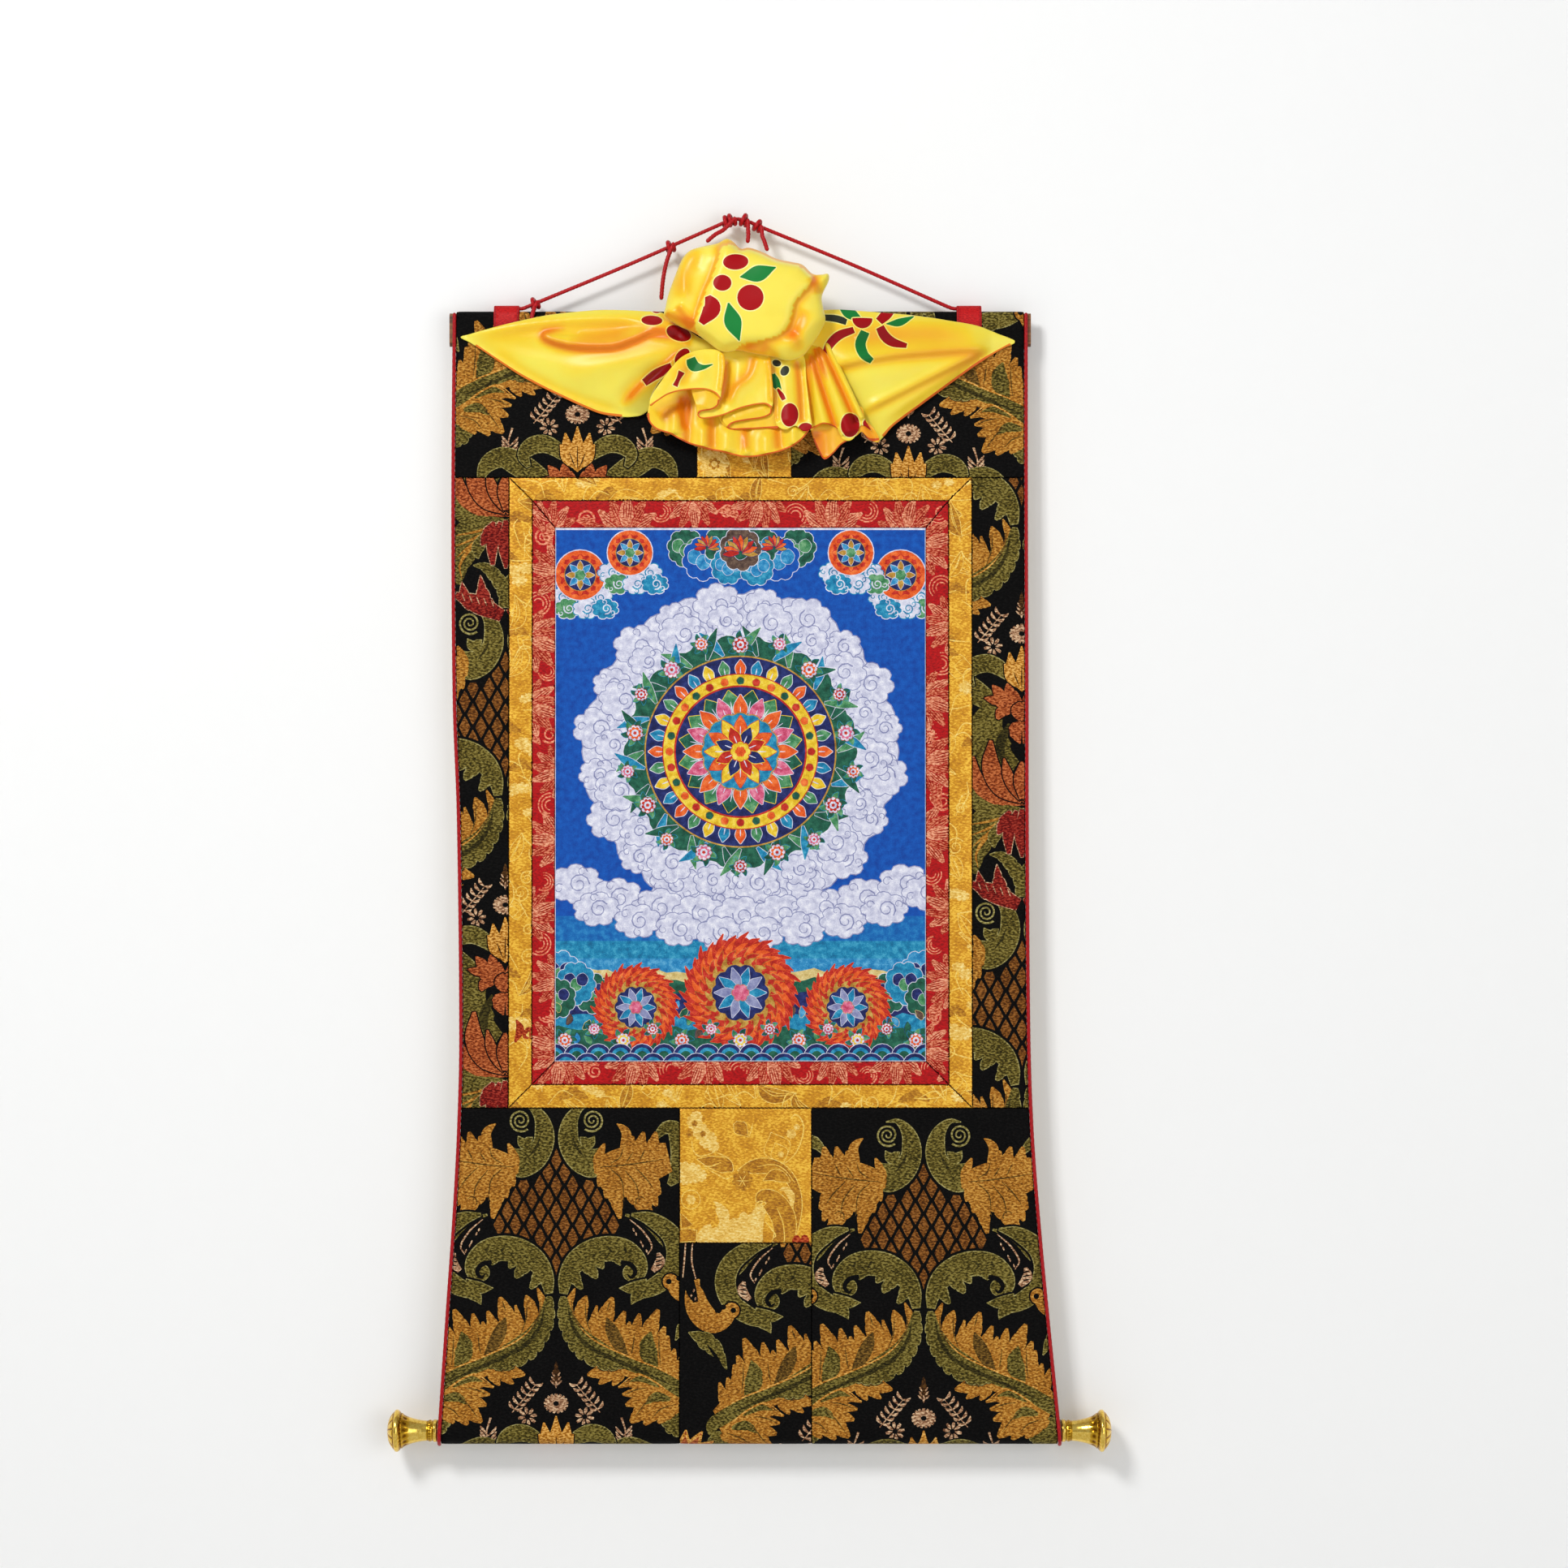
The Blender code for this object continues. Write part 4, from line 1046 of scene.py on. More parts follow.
def closed_sheet(
    name: str, front: Skin, back: Skin, rim: Sequence[tuple[int, int, int, int, int]], fills: Sequence[Enum],
    reverse: Enum | ReverseCloth | None, tint: tuple[np.ndarray, np.ndarray] | None = None,
) -> bpy.types.Object:
    """Joins a front and a back face by a rim.

    Args:
        name: The new object's name.
        front: The front face.
        back: The back face.
        rim: Rows of two points of the front, their triangle, and the same two points of the back.
        fills: What fills each of the front's triangles.
        reverse: The finish of the back face, or None for the same as in front.
        tint: How much painted fold shade each point of both faces gets.

    Returns:
        The object.
    """
    a, b, c = (front.points[front.corners[:, k]] for k in range(3))
    outwards = np.cross(b - a, c - a) @ (front.points.mean(axis=0) - back.points.mean(axis=0))
    turn = -1 if np.median(outwards) < 0 else 1
    count = len(front.points)
    faces = [tuple(map(int, row)) for row in front.corners[:, ::turn]]
    faces += [tuple(int(count + k) for k in row) for row in back.corners[:, ::-turn]]
    faces += [(q, p, count + r, count + t)[::turn] for p, q, _, r, t in rim]
    order: list[Enum | ReverseCloth] = []
    for fill in [*fills, *([reverse] if reverse is not None else [])]:
        if fill not in order:
            order.append(fill)
    number = {id(fill): k for k, fill in enumerate(order)}
    slots = [number[id(fill)] for fill in fills]
    slots += slots if reverse is None else [number[id(reverse)]] * len(back.corners)
    slots += [slots[row[2]] for row in rim]
    return mesh_object(name, np.vstack([front.points, back.points]), faces,
                       [DRESSING.of(fill) for fill in order], slots, np.vstack([front.spots, back.spots]),
                       None if tint is None else {"fold": np.concatenate(tint)})


def mesh_object(
    name: str, points: np.ndarray, faces: Sequence[Sequence[int]], materials: Sequence[bpy.types.Material],
    slots: Sequence[int] | None = None, flat: np.ndarray | None = None,
    values: dict[str, np.ndarray] | None = None,
) -> bpy.types.Object:
    """A smooth-shaded object from points in millimetres.

    Args:
        name: Its name.
        points: Its points.
        faces: Its faces, as rows of point numbers.
        materials: Its materials.
        slots: The number of each face's material.
        flat: Each point's place on the flat cloth, kept as the UV map "cut", in metres.
        values: More named values of each point, for the materials.

    Returns:
        The object, in the scene.
    """
    mesh = bpy.data.meshes.new(name)
    mesh.from_pydata((points * MM).tolist(), [], [list(face) for face in faces])
    for made in materials:
        mesh.materials.append(made)
    if slots is not None:
        mesh.polygons.foreach_set("material_index", np.asarray(slots, np.int32))
    if flat is not None:
        loops = np.empty(len(mesh.loops), np.int32)
        mesh.loops.foreach_get("vertex_index", loops)
        layer = mesh.uv_layers.new(name="cut")
        layer.data.foreach_set("uv", (flat[loops] * MM).astype(np.float32).ravel())
    for label, numbers in (values or {}).items():
        kept = mesh.attributes.new(label, "FLOAT", "POINT")
        kept.data.foreach_set("value", numbers.astype(np.float32))
    mesh.shade_smooth()
    mesh.update()
    made_object = bpy.data.objects.new(name, mesh)
    bpy.context.scene.collection.objects.link(made_object)
    return made_object


def join_pieces(name: str, pieces: Sequence[bpy.types.Object]) -> bpy.types.Object:
    """One object of several meshes.

    Args:
        name: The joined object's name.
        pieces: The objects, which are used up.

    Returns:
        The joined object.
    """
    with bpy.context.temp_override(active_object=pieces[0], selected_editable_objects=list(pieces)):
        bpy.ops.object.join()
    pieces[0].name = name
    pieces[0].data.name = name
    return pieces[0]


# ---------------------------------------------------------------- the mount's hang


@dataclass(frozen=True)
class Hang:
    """How the mount hangs: its outline, the fall of its cloth from batten to rod, and its soft waves."""

    gap: float = 0.3
    seam: float = -0.1            # below 0, since sewn edges press into each other and let no light through
    cloth: float = 1.2
    top_z: float = -73.0
    batten_height: float = 27.0
    batten_depth: float = 8.0
    rod_radius: float = 9.0
    rod_y: float = -10.0
    rod_z: float = -973.8
    binding: float = 1.5
    left: Course = Course((
        (-73.0, -229.5), (-230.0, -230.4), (-390.0, -229.0), (-480.0, -225.6), (-660.0, -223.4),
        (-735.0, -225.2), (-800.0, -228.6), (-870.0, -233.4), (-974.0, -240.4), (-990.0, -241.4),
    ))
    right: Course = Course((
        (-73.0, 233.6), (-230.0, 233.6), (-390.0, 234.0), (-480.0, 234.0), (-660.0, 235.2),
        (-735.0, 237.8), (-800.0, 242.6), (-870.0, 249.0), (-974.0, 259.3), (-990.0, 260.6),
    ))
    # x, upper end, lower end, half width, how far it stands out
    waves: tuple[tuple[float, float, float, float, float], ...] = (
        (-206.0, -250.0, -690.0, 12.0, 1.3), (214.0, -240.0, -520.0, 13.0, -1.1),
        (208.0, -470.0, -700.0, 12.0, 1.2), (-172.0, -730.0, -950.0, 20.0, -1.6),
        (-112.0, -725.0, -930.0, 24.0, 1.5), (5.0, -830.0, -955.0, 24.0, 1.3),
        (122.0, -740.0, -950.0, 22.0, -1.5), (186.0, -725.0, -950.0, 24.0, 1.8),
        (-60.0, -290.0, -640.0, 46.0, 1.2), (84.0, -270.0, -650.0, 42.0, 1.4),
        (-150.0, -118.0, -200.0, 26.0, -1.0), (160.0, -118.0, -200.0, 26.0, 0.9),
    )

    @property
    def batten_z(self) -> float:
        """Height of the batten's middle."""
        return self.top_z - self.cloth - self.gap - self.batten_height / 2

    @property
    def sheet_top(self) -> float:
        """Height where the cloth leaves the batten."""
        return self.batten_z - self.batten_height / 2

    @property
    def sleeve(self) -> float:
        """Radius of the inner face of the cloth round the rod."""
        return self.rod_radius + self.gap

    def left_edge(self, z: np.ndarray | float) -> np.ndarray:
        """Outer left edge of the cloth, inside its binding."""
        return self.left.at(z) + 2 * self.binding + self.seam

    def right_edge(self, z: np.ndarray | float) -> np.ndarray:
        """Outer right edge of the cloth, inside its binding."""
        return self.right.at(z) - 2 * self.binding - self.seam

    def back(self, x: np.ndarray, z: np.ndarray) -> np.ndarray:
        """The inner face's y where the cloth hangs free.

        Args:
            x: Places across.
            z: Heights.

        Returns:
            The y of each.
        """
        share = np.clip((self.sheet_top - z) / (self.sheet_top - self.rod_z), 0.0, 1.0)
        start, end = -(self.batten_depth / 2 + self.gap), self.rod_y - self.sleeve
        y = start + (end - start) * share
        for middle, upper, lower, width, height in self.waves:
            along = np.sin(np.pi * np.clip((z - lower) / (upper - lower), 0.0, 1.0)) ** 2
            y = y - height * along * np.exp(-(((x - middle) / width) ** 2))
        return y

    def flat(self, proud: float = 0.0) -> Place:
        """A place function for a piece that hangs free.

        Args:
            proud: How far it lies in front of the other pieces.

        Returns:
            The place function.
        """

        def place(spots: np.ndarray) -> tuple[np.ndarray, np.ndarray]:
            """Puts spots of the cut on the fall of the cloth.

            Args:
                spots: Points of the cut.

            Returns:
                The inner face's points, and the way the outer face lies.
            """
            x, z = spots[:, 0], spots[:, 1]
            inner = np.stack([x, self.back(x, z) - proud, z], axis=1)
            return inner, np.tile([0.0, -1.0, 0.0], (len(spots), 1))

        return place


HANG = Hang()


class Wrap:
    """The course of a panel that turns round the batten or the rod, by its length along the cloth.

    A spot of its cut is x and the height, and past the turn's start the height runs on by the cloth's length.
    """

    def __init__(self, over: bool) -> None:
        """Lays the course.

        Args:
            over: Whether the panel goes up over the batten, and not down under the rod.
        """
        h = HANG
        if over:
            rows = self.arc(0.0, h.top_z - h.cloth - h.gap - h.batten_depth / 2, h.batten_depth / 2 + h.gap,
                            180.0, 0.0, 12)
            half = h.batten_depth / 2
            rows = [(False, -half - h.gap, h.sheet_top, -1.0, 0.0)] + rows + [
                (False, half + h.gap, h.sheet_top + half, 1.0, 0.0),
                (False, half * 0.7, h.sheet_top - 2.2, 0.8, -0.6),
                (True, 1.0, h.sheet_top - 6.0, 0.95, -0.3),
                (True, 0.8, h.sheet_top - 14.0, 1.0, 0.0),
            ]
        else:
            rows = self.arc(h.rod_y, h.rod_z, h.sleeve, 180.0, 414.0, 26) + [
                (True, 1.4, h.rod_z + 18.0, 0.8, 0.6),
                (True, 0.8, h.rod_z + 24.0, 0.97, 0.25),
                (True, 0.8, h.rod_z + 34.0, 1.0, 0.0),
            ]
        self.start = rows[0][2]
        self.way = 1.0 if over else -1.0
        table = np.array([[float(f), y, z, oy, oz] for f, y, z, oy, oz in rows])
        real_y = table[:, 1] + table[:, 0] * HANG.back(np.zeros(len(table)), table[:, 2])
        lengths = np.hypot(np.diff(real_y), np.diff(table[:, 2]))
        self.lengths = np.concatenate([[0.0], np.cumsum(lengths)])
        self.table = table

    @staticmethod
    def arc(y: float, z: float, radius: float, start: float, end: float, steps: int
            ) -> list[tuple[bool, float, float, float, float]]:
        """Rows of the course on an arc.

        Args:
            y: The arc's middle.
            z: The arc's middle.
            radius: Its radius.
            start: Its first angle in degrees.
            end: Its last angle in degrees.
            steps: How many steps it has.

        Returns:
            Rows of whether y counts from the hanging sheet, y, z and the way the outer face lies.
        """
        angles = np.radians(np.linspace(start, end, steps + 1))
        return [(False, y + radius * math.cos(a), z + radius * math.sin(a), math.cos(a), math.sin(a))
                for a in angles]

    @property
    def length(self) -> float:
        """Length of cloth past the turn's start."""
        return float(self.lengths[-1])

    @property
    def end(self) -> float:
        """Height of the hem on the flat cut."""
        return self.start + self.way * self.length

    def bends(self) -> tuple[float, ...]:
        """Heights on the flat cut where the mesh needs a line across."""
        return tuple(self.start + self.way * length for length in (0.0, *self.lengths[1:-1]))

    def sides(self, flat_z: np.ndarray) -> np.ndarray:
        """The real height that the cut's side is measured at, for heights on the flat cut.

        Args:
            flat_z: Heights on the flat cut.

        Returns:
            The real heights.
        """
        past = np.clip((flat_z - self.start) * self.way, 0.0, None)
        real = np.where(past > 0, np.interp(past, self.lengths, self.table[:, 2]), flat_z)
        return np.clip(real, HANG.rod_z - HANG.sleeve, HANG.top_z)

    def place(self, spots: np.ndarray) -> tuple[np.ndarray, np.ndarray]:
        """Puts spots of the cut on the course.

        Args:
            spots: Points of the flat cut.

        Returns:
            The inner face's points, and the way the outer face lies.
        """
        x, flat_z = spots[:, 0], spots[:, 1]
        past = np.clip((flat_z - self.start) * self.way, 0.0, None)
        y, z, oy, oz = (np.interp(past, self.lengths, self.table[:, k]) for k in range(1, 5))
        follows = np.interp(past, self.lengths, self.table[:, 0])
        turned = past > 0
        z = np.where(turned, z, flat_z)
        sheet = HANG.back(x, z)
        y = np.where(turned, y + follows * sheet, sheet)
        oy, oz = np.where(turned, oy, -1.0), np.where(turned, oz, 0.0)
        size = np.hypot(oy, oz)
        return np.stack([x, y, z], axis=1), np.stack([np.zeros(len(x)), oy / size, oz / size], axis=1)


# ---------------------------------------------------------------- the dark brocade's repeat


class ScrollRepeat:
    """One half of the dark brocade's mirrored repeat, drawn in squares of the point paper.

    Places are across from its axis and down from the middle of its lattice. A repeat is 2 x 204 squares wide
    and 688 high.
    """

    height = 688.0
    net_across, net_down = 10.0, 16.0
    net_cell = (6.9, 13.2)
    net_half_width = Course(((-80.0, 0.0), (-66.0, 9.0), (-50.0, 24.0), (-35.0, 42.0), (-18.0, 62.0),
                             (0.0, 74.0), (20.0, 78.0), (45.0, 66.0), (62.0, 36.0), (80.0, 6.0), (86.0, 0.0)))

    def __init__(self) -> None:
        """Draws the half."""
        self.drawn: list[tuple[np.ndarray, Yarn]] = []
        self.lattice()
        self.coiled_scroll()
        self.flanking_leaf()
        self.c_scroll()
        self.s_scroll()
        self.acanthus()
        self.sprigs()
        self.tulip()
        self.rust_flower()
        self.veined_leaf()
        self.madder_flower()

    def put(self, yarn: Yarn, *rings: np.ndarray, rim: float = 0.0, gap: float = 0.0,
            rim_yarn: Yarn = Yarn.RIM) -> None:
        """Draws shapes as one, with a rim and a dark gap round them where wanted.

        Args:
            yarn: What fills them.
            rings: Their outlines.
            rim: Width of the rim inside the outline.
            gap: Width of ground left clear outside it.
            rim_yarn: What the rim is woven with.
        """
        if gap:
            self.drawn += [(swell(ring, gap), Yarn.GROUND) for ring in rings]
        if rim:
            self.drawn += [(ring, rim_yarn) for ring in rings]
        self.drawn += [(swell(ring, -rim) if rim else ring, yarn) for ring in rings]

    def lattice(self) -> None:
        """The net of lozenges in its pointed oval."""
        across, down = self.net_cell
        for j in range(-5, 6):
            y = -1.0 + j * self.net_down
            for i in range(0, 9):
                x = i * self.net_across
                if (i + j) % 2 or x > float(self.net_half_width.at(y)) - across * 0.4:
                    continue
                ring = np.array([(x - across, y), (x - across * 0.45, y - down * 0.6), (x, y - down),
                                 (x + across * 0.45, y - down * 0.6), (x + across, y),
                                 (x + across * 0.45, y + down * 0.6), (x, y + down),
                                 (x - across * 0.45, y + down * 0.6)])
                if i == 0:
                    ring = np.array([(0.0, y - down), (across * 0.45, y - down * 0.6), (across, y),
                                     (across * 0.45, y + down * 0.6), (0.0, y + down)])
                self.put(Yarn.NET, ring)

    def coiled_scroll(self) -> None:
        """The olive scroll above the lattice, with its coiled end."""
        body = blade([(46, -129), (32, -130), (20, -118), (15, -102), (16, -84), (27, -66), (44, -54),
                      (56, -50)],
                     [0.8, 3.5, 8.0, 11.5, 13.0, 14.5, 12.0, 3.0], count=26)
        hook = blade([(30, -84), (41, -86), (47, -94)], [9.0, 7.0, 0.5])
        hook_low = blade([(34, -70), (46, -73), (54, -79)], [9.0, 6.0, 0.5])
        self.put(Yarn.OLIVE, body, rim=1.3, gap=3.6)
        self.put(Yarn.OLIVE, hook, hook_low, rim=1.1)
        self.put(Yarn.OLIVE, swell(body, -1.4))
        self.put(Yarn.RIM, coil((44, -113), 14.0, 1.5, 130.0, -2.4, 1.25, 0.9, 44))
        self.put(Yarn.MOSS, blade([(20, -92), (25, -80), (34, -68)], [0.4, 1.6, 0.4]))

    def flanking_leaf(self) -> None:
        """The broad ochre leaf that springs from the scroll, with its upright curl and olive tip."""
        lobes = [
            lobe((56, -50), (52, -66), (59, -85), 8.5, 3, 0.6),
            blade([(82, -70), (84, -84), (86, -96), (81, -104), (74, -109)], [5.0, 5.5, 6.0, 4.0, 0.6],
                  count=14),
            lobe((80, -58), (88, -76), (94, -94), 12.0, 3), lobe((96, -58), (102, -80), (107, -99), 12.0),
            lobe((112, -58), (118, -80), (122, -99), 12.0),
            blade([(47, -58), (74, -56), (104, -60), (138, -68)], [9.0, 20.0, 24.0, 24.0, 18.0], count=16),
            lobe((60, -52), (55, -42), (52, -32), 8.0, 2), lobe((60, -50), (64, -32), (61, -18), 12.0, 3),
            lobe((68, -50), (72, -24), (78, 7), 14.0, 6), lobe((84, -50), (98, -26), (117, 8), 21.0, 6),
            lobe((104, -54), (116, -36), (127, -22), 16.0), lobe((108, -40), (116, -24), (123, -8), 12.0, 3),
        ]
        tip = blade([(118, -88), (134, -104), (148, -98), (153, -74), (148, -48), (138, -34)],
                    [2.0, 8.0, 12.0, 13.0, 10.0, 3.0], count=16)
        tail = blade([(84, 4), (104, 10), (124, 22), (140, 36)], [3.0, 6.0, 9.0, 10.0])
        self.put(Yarn.OLIVE, tail, rim=1.0)
        self.put(Yarn.OLIVE, tip, rim=1.2)
        self.put(Yarn.OCHRE, *lobes)
        for spine in ([(54, -56), (80, -58), (110, -62), (134, -66)], [(66, -54), (80, -40), (83, -14)],
                      [(84, -52), (98, -34), (102, -12)], [(96, -56), (110, -42), (120, -28)],
                      [(66, -60), (78, -68), (82, -80)], [(86, -62), (94, -74)], [(102, -64), (109, -78)]):
            self.put(Yarn.UMBER, blade(spine, [0.4, 0.9, 0.2], count=8))
        self.put(Yarn.UMBER, coil((104, -14), 7.0, 5.0, 150.0, 0.5, 0.8, 0.4, 10))

    def c_scroll(self) -> None:
        """The olive C-scroll below the lattice, with its curled eye and jagged inner edge."""
        body = blade([(9, 99), (12, 80), (23, 61), (42, 48), (64, 43.5), (85, 46), (100, 58), (102, 72),
                      (94, 81)],
                     [5.0, 9.5, 13.0, 15.0, 15.5, 13.5, 10.5, 9.0, 6.0], count=30)
        jags = [blade([(70, 50), (75, 57), (79, 64)], [8.0, 6.0, 1.0], 2, 0.2),
                blade([(46, 54), (53, 61), (58, 68)], [9.0, 7.0, 1.5], 2, 0.2),
                blade([(34, 60), (44, 71), (50, 80)], [9.0, 8.0, 2.0], 2, 0.2),
                blade([(20, 74), (26, 85), (32, 93)], [9.0, 6.5, 2.0], 2, 0.2)]
        self.put(Yarn.OLIVE, body, *jags, rim=1.3, gap=3.2)
        self.put(Yarn.OLIVE, swell(body, -1.4))
        eye = bloom((92.0, 73.0), 10.8)
        self.put(Yarn.OLIVE, eye, rim=1.0)
        self.put(Yarn.GROUND, blade([(79, 60), (91, 63), (97, 72), (92, 79), (87, 75)],
                                    [2.6, 3.0, 2.6, 2.0, 0.4], count=14))
        self.put(Yarn.MOSS, blade([(63, 41), (68, 48)], [0.6, 1.5, 0.6]),
                 blade([(83, 41), (86, 49)], [0.6, 1.6, 0.6]))
        for k in range(7):
            x = 24.0 + 9.5 * k
            y = 59.0 - 3.4 * k + 0.36 * k * k
            self.put(Yarn.MOSS, blade([(x, y + 1), (x + 6, y - 4)], [0.2, 0.7, 0.2], count=4))

    def s_scroll(self) -> None:
        """The outer olive scroll, its dark tongue with a striped bud, and the ochre paisley beyond."""
        body = blade([(92, 2), (116, 8), (140, 26), (148, 50), (140, 74), (120, 90), (98, 98)],
                     [2.0, 9.0, 12.0, 13.0, 12.0, 11.0, 8.0], count=24)
        tips = [blade([(112, 88), (92, 92), (77, 92)], [8.0, 7.0, 0.5]),
                blade([(110, 92), (98, 102), (92, 112)], [9.0, 7.0, 0.5])]
        self.put(Yarn.OLIVE, body, *tips, rim=1.2, gap=2.6)
        self.put(Yarn.OLIVE, swell(body, -1.3))
        self.put(Yarn.GROUND, blade([(82, 6), (100, 20), (116, 40), (125, 58), (123, 72)],
                                    [3.0, 8.0, 10.0, 9.0, 4.0]))
        self.put(Yarn.CREAM, blade([(90, 8), (106, 22), (117, 40), (112, 51)], [0.5, 1.0, 1.0, 0.5],
                                   count=12))
        self.put(Yarn.CREAM, blade([(125, 49), (127, 60), (118, 71)], [2.0, 6.0, 3.0]))
        for k in range(3):
            self.put(Yarn.GROUND, blade([(121 + k * 0.5, 55 + 5 * k), (130, 53 + 5 * k)], [0.6, 1.0, 0.4],
                                        count=4))
        for x, y in ((94, 21), (97, 26), (105, 40), (103, 36), (110, 47)):
            self.put(Yarn.CREAM, blade([(x, y - 2.5), (x + 1.5, y + 2.0)], [0.3, 1.1, 0.3], count=4))
        paisley = blade([(141, 82), (150, 96), (166, 98), (181, 82), (186, 58), (180, 46)],
                        [8.0, 10.0, 14.0, 15.0, 10.0, 1.0], count=18)
        self.put(Yarn.OCHRE, paisley, bloom((140, 84), 9.5), gap=2.0)
        self.put(Yarn.GROUND, bloom((138, 84), 3.4), bloom((150, 80), 3.2))
        self.put(Yarn.GROUND, blade([(190, 40), (190, 58), (184, 74)], [2.0, 6.5, 3.0]))
        self.put(Yarn.CREAM, blade([(188, 0), (189, 24), (184, 46)], [0.7, 1.0, 0.7]),
                 blade([(196, -6), (198, 22), (200, 44)], [0.7, 1.0, 0.7]))
        for x, y in ((186, 60), (189, 66), (184, 70)):
            self.put(Yarn.CREAM, blade([(x, y - 2.0), (x + 1.0, y + 2.0)], [0.3, 1.2, 0.3], count=4))

    def acanthus(self) -> None:
        """The great serrated leaf that sweeps down and out below the lattice."""
        upper = [
            lobe((26, 146), (15, 118), (23, 92), 6.5, 3, 0.7),
            lobe((33, 152), (30, 124), (37, 101), 8.5, 3, 0.9),
            lobe((48, 154), (47, 130), (50, 113), 10.0, 2, 0.3),
            lobe((56, 160), (60, 130), (69, 103), 14.0, 4, 0.6), lobe((70, 166), (76, 142), (84, 120), 12.0),
            lobe((80, 172), (86, 152), (90, 133), 10.0, 3),
            lobe((98, 184), (97, 152), (102, 123), 11.0, 4, 0.6),
            lobe((106, 186), (112, 152), (125, 118), 15.0, 5, 0.6),
            lobe((118, 190), (124, 165), (133, 139), 13.0), lobe((127, 196), (132, 175), (137, 150), 12.0),
            lobe((136, 200), (141, 184), (145, 166), 10.0, 3),
            lobe((144, 206), (150, 190), (155, 172), 9.0, 3),
            blade([(19, 128), (31, 146), (54, 164), (87, 180), (130, 196), (160, 212)],
                  [5.0, 10.0, 17.0, 19.0, 17.0, 6.0], count=20),
        ]
        lower = [
            lobe((72, 190), (56, 194), (38, 198), 10.0, 4, 0.65),
            lobe((60, 188), (53, 187), (46, 186), 6.0, 2), lobe((66, 196), (60, 203), (52, 209), 7.5, 2),
            lobe((78, 196), (74, 204), (69, 211), 7.5, 2),
            lobe((112, 208), (94, 208), (76, 213), 10.0, 3, 0.3),
            lobe((118, 216), (100, 219), (81, 222), 10.0, 3),
            lobe((120, 222), (102, 229), (85, 235), 12.0, 3),
            lobe((126, 222), (108, 240), (91, 256), 14.5, 4, 0.6),
            lobe((134, 228), (120, 244), (108, 259), 13.5), lobe((146, 230), (135, 245), (125, 257), 12.0, 3),
            blade([(98, 205), (124, 220), (152, 234)], [5.0, 17.0, 14.0], count=12),
        ]
        self.put(Yarn.OLIVE, bloom((150, 252), 22.0, 11, 0.12), rim=1.0)
        self.put(Yarn.OCHRE, *lower, *upper)
        self.put(Yarn.UMBER, blade([(62, 128), (70, 148), (85, 176)], [0.8, 7.0, 8.0, 4.0], count=12),
                 blade([(49, 190), (58, 190), (68, 194)], [0.5, 2.6, 1.0], 2, 0.2))
        self.put(Yarn.OLIVE, blade([(116, 145), (112, 164), (119, 192)], [0.8, 8.5, 11.0, 6.0], 4, 0.12),
                 blade([(109, 234), (122, 225), (140, 228)], [0.6, 5.0, 6.0, 2.0], 3, 0.14),
                 blade([(90, 206), (106, 203), (126, 213)], [0.6, 4.0, 1.0], count=8))
        half = blade([(9, 102), (12, 127), (24, 150), (42, 165), (70, 178), (88, 186)],
                     [5.0, 11.0, 15.5, 20.0, 17.0, 3.0], 10, 0.22, right=[3.0, 7.0, 9.0, 9.0, 6.0, 2.0])
        smooth = blade([(10, 104), (14, 127), (27, 149), (46, 163), (72, 176), (88, 184)],
                       [3.0, 5.0, 8.0, 10.0, 9.0, 3.0], count=20, right=[3.5, 8.0, 10.5, 10.5, 7.5, 5.0])
        rib = blade([(62, 173), (87, 184), (107, 192), (130, 203), (150, 215), (163, 224), (163, 234),
                     (154, 238)],
                    [7.0, 7.5, 7.5, 8.5, 9.0, 8.0, 5.0, 0.5], count=24)
        self.put(Yarn.OLIVE, half, rim=0.9, gap=0.8)
        self.put(Yarn.OLIVE, smooth, rib)
        self.put(Yarn.AMBER, blade([(22, 129), (35, 146), (54, 160), (87, 175), (107, 183), (130, 192),
                                    (148, 203)],
                                   [0.3, 0.9, 1.0, 0.9, 0.4], count=18),
                 blade([(76, 213), (95, 198), (107, 199), (125, 209), (139, 220)], [0.3, 1.0, 1.0, 0.4],
                       count=14))
        self.put(Yarn.MOSS, blade([(14, 112), (20, 138), (36, 160), (62, 175), (96, 190), (140, 210)],
                                  [0.3, 2.2, 3.0, 3.0, 2.4, 0.6], 9, 0.4))
        for spine in ([(19, 106), (21, 126), (32, 144)], [(36, 110), (37, 130), (44, 150)],
                      [(66, 108), (62, 120)], [(96, 148), (94, 164), (92, 172)],
                      [(126, 150), (126, 166), (128, 186)], [(84, 222), (98, 216), (112, 214)],
                      [(96, 250), (108, 234), (120, 222)], [(118, 250), (128, 240), (146, 234)]):
            self.put(Yarn.UMBER, blade(spine, [0.3, 0.9, 0.3], count=8))
        leaf = blade([(146, 156), (158, 134), (174, 120), (193, 111)], [1.0, 9.0, 11.0, 0.8], 4, 0.2)
        self.put(Yarn.OLIVE, leaf, rim=1.0)
        self.put(Yarn.GROUND, blade([(150, 156), (160, 140), (170, 126)], [1.0, 2.2, 0.5]))
        petals = [blade([(190, 268), (176, 256), (162, 244)], [9.0, 9.0, 1.0]),
                  blade([(192, 266), (186, 248), (176, 232)], [8.0, 8.0, 1.0]),
                  blade([(200, 266), (198, 248), (196, 230)], [8.0, 8.0, 1.0])]
        self.put(Yarn.AMBER, *petals, gap=1.0)
        self.put(Yarn.RUST, *[swell(petal, -3.6) for petal in petals])

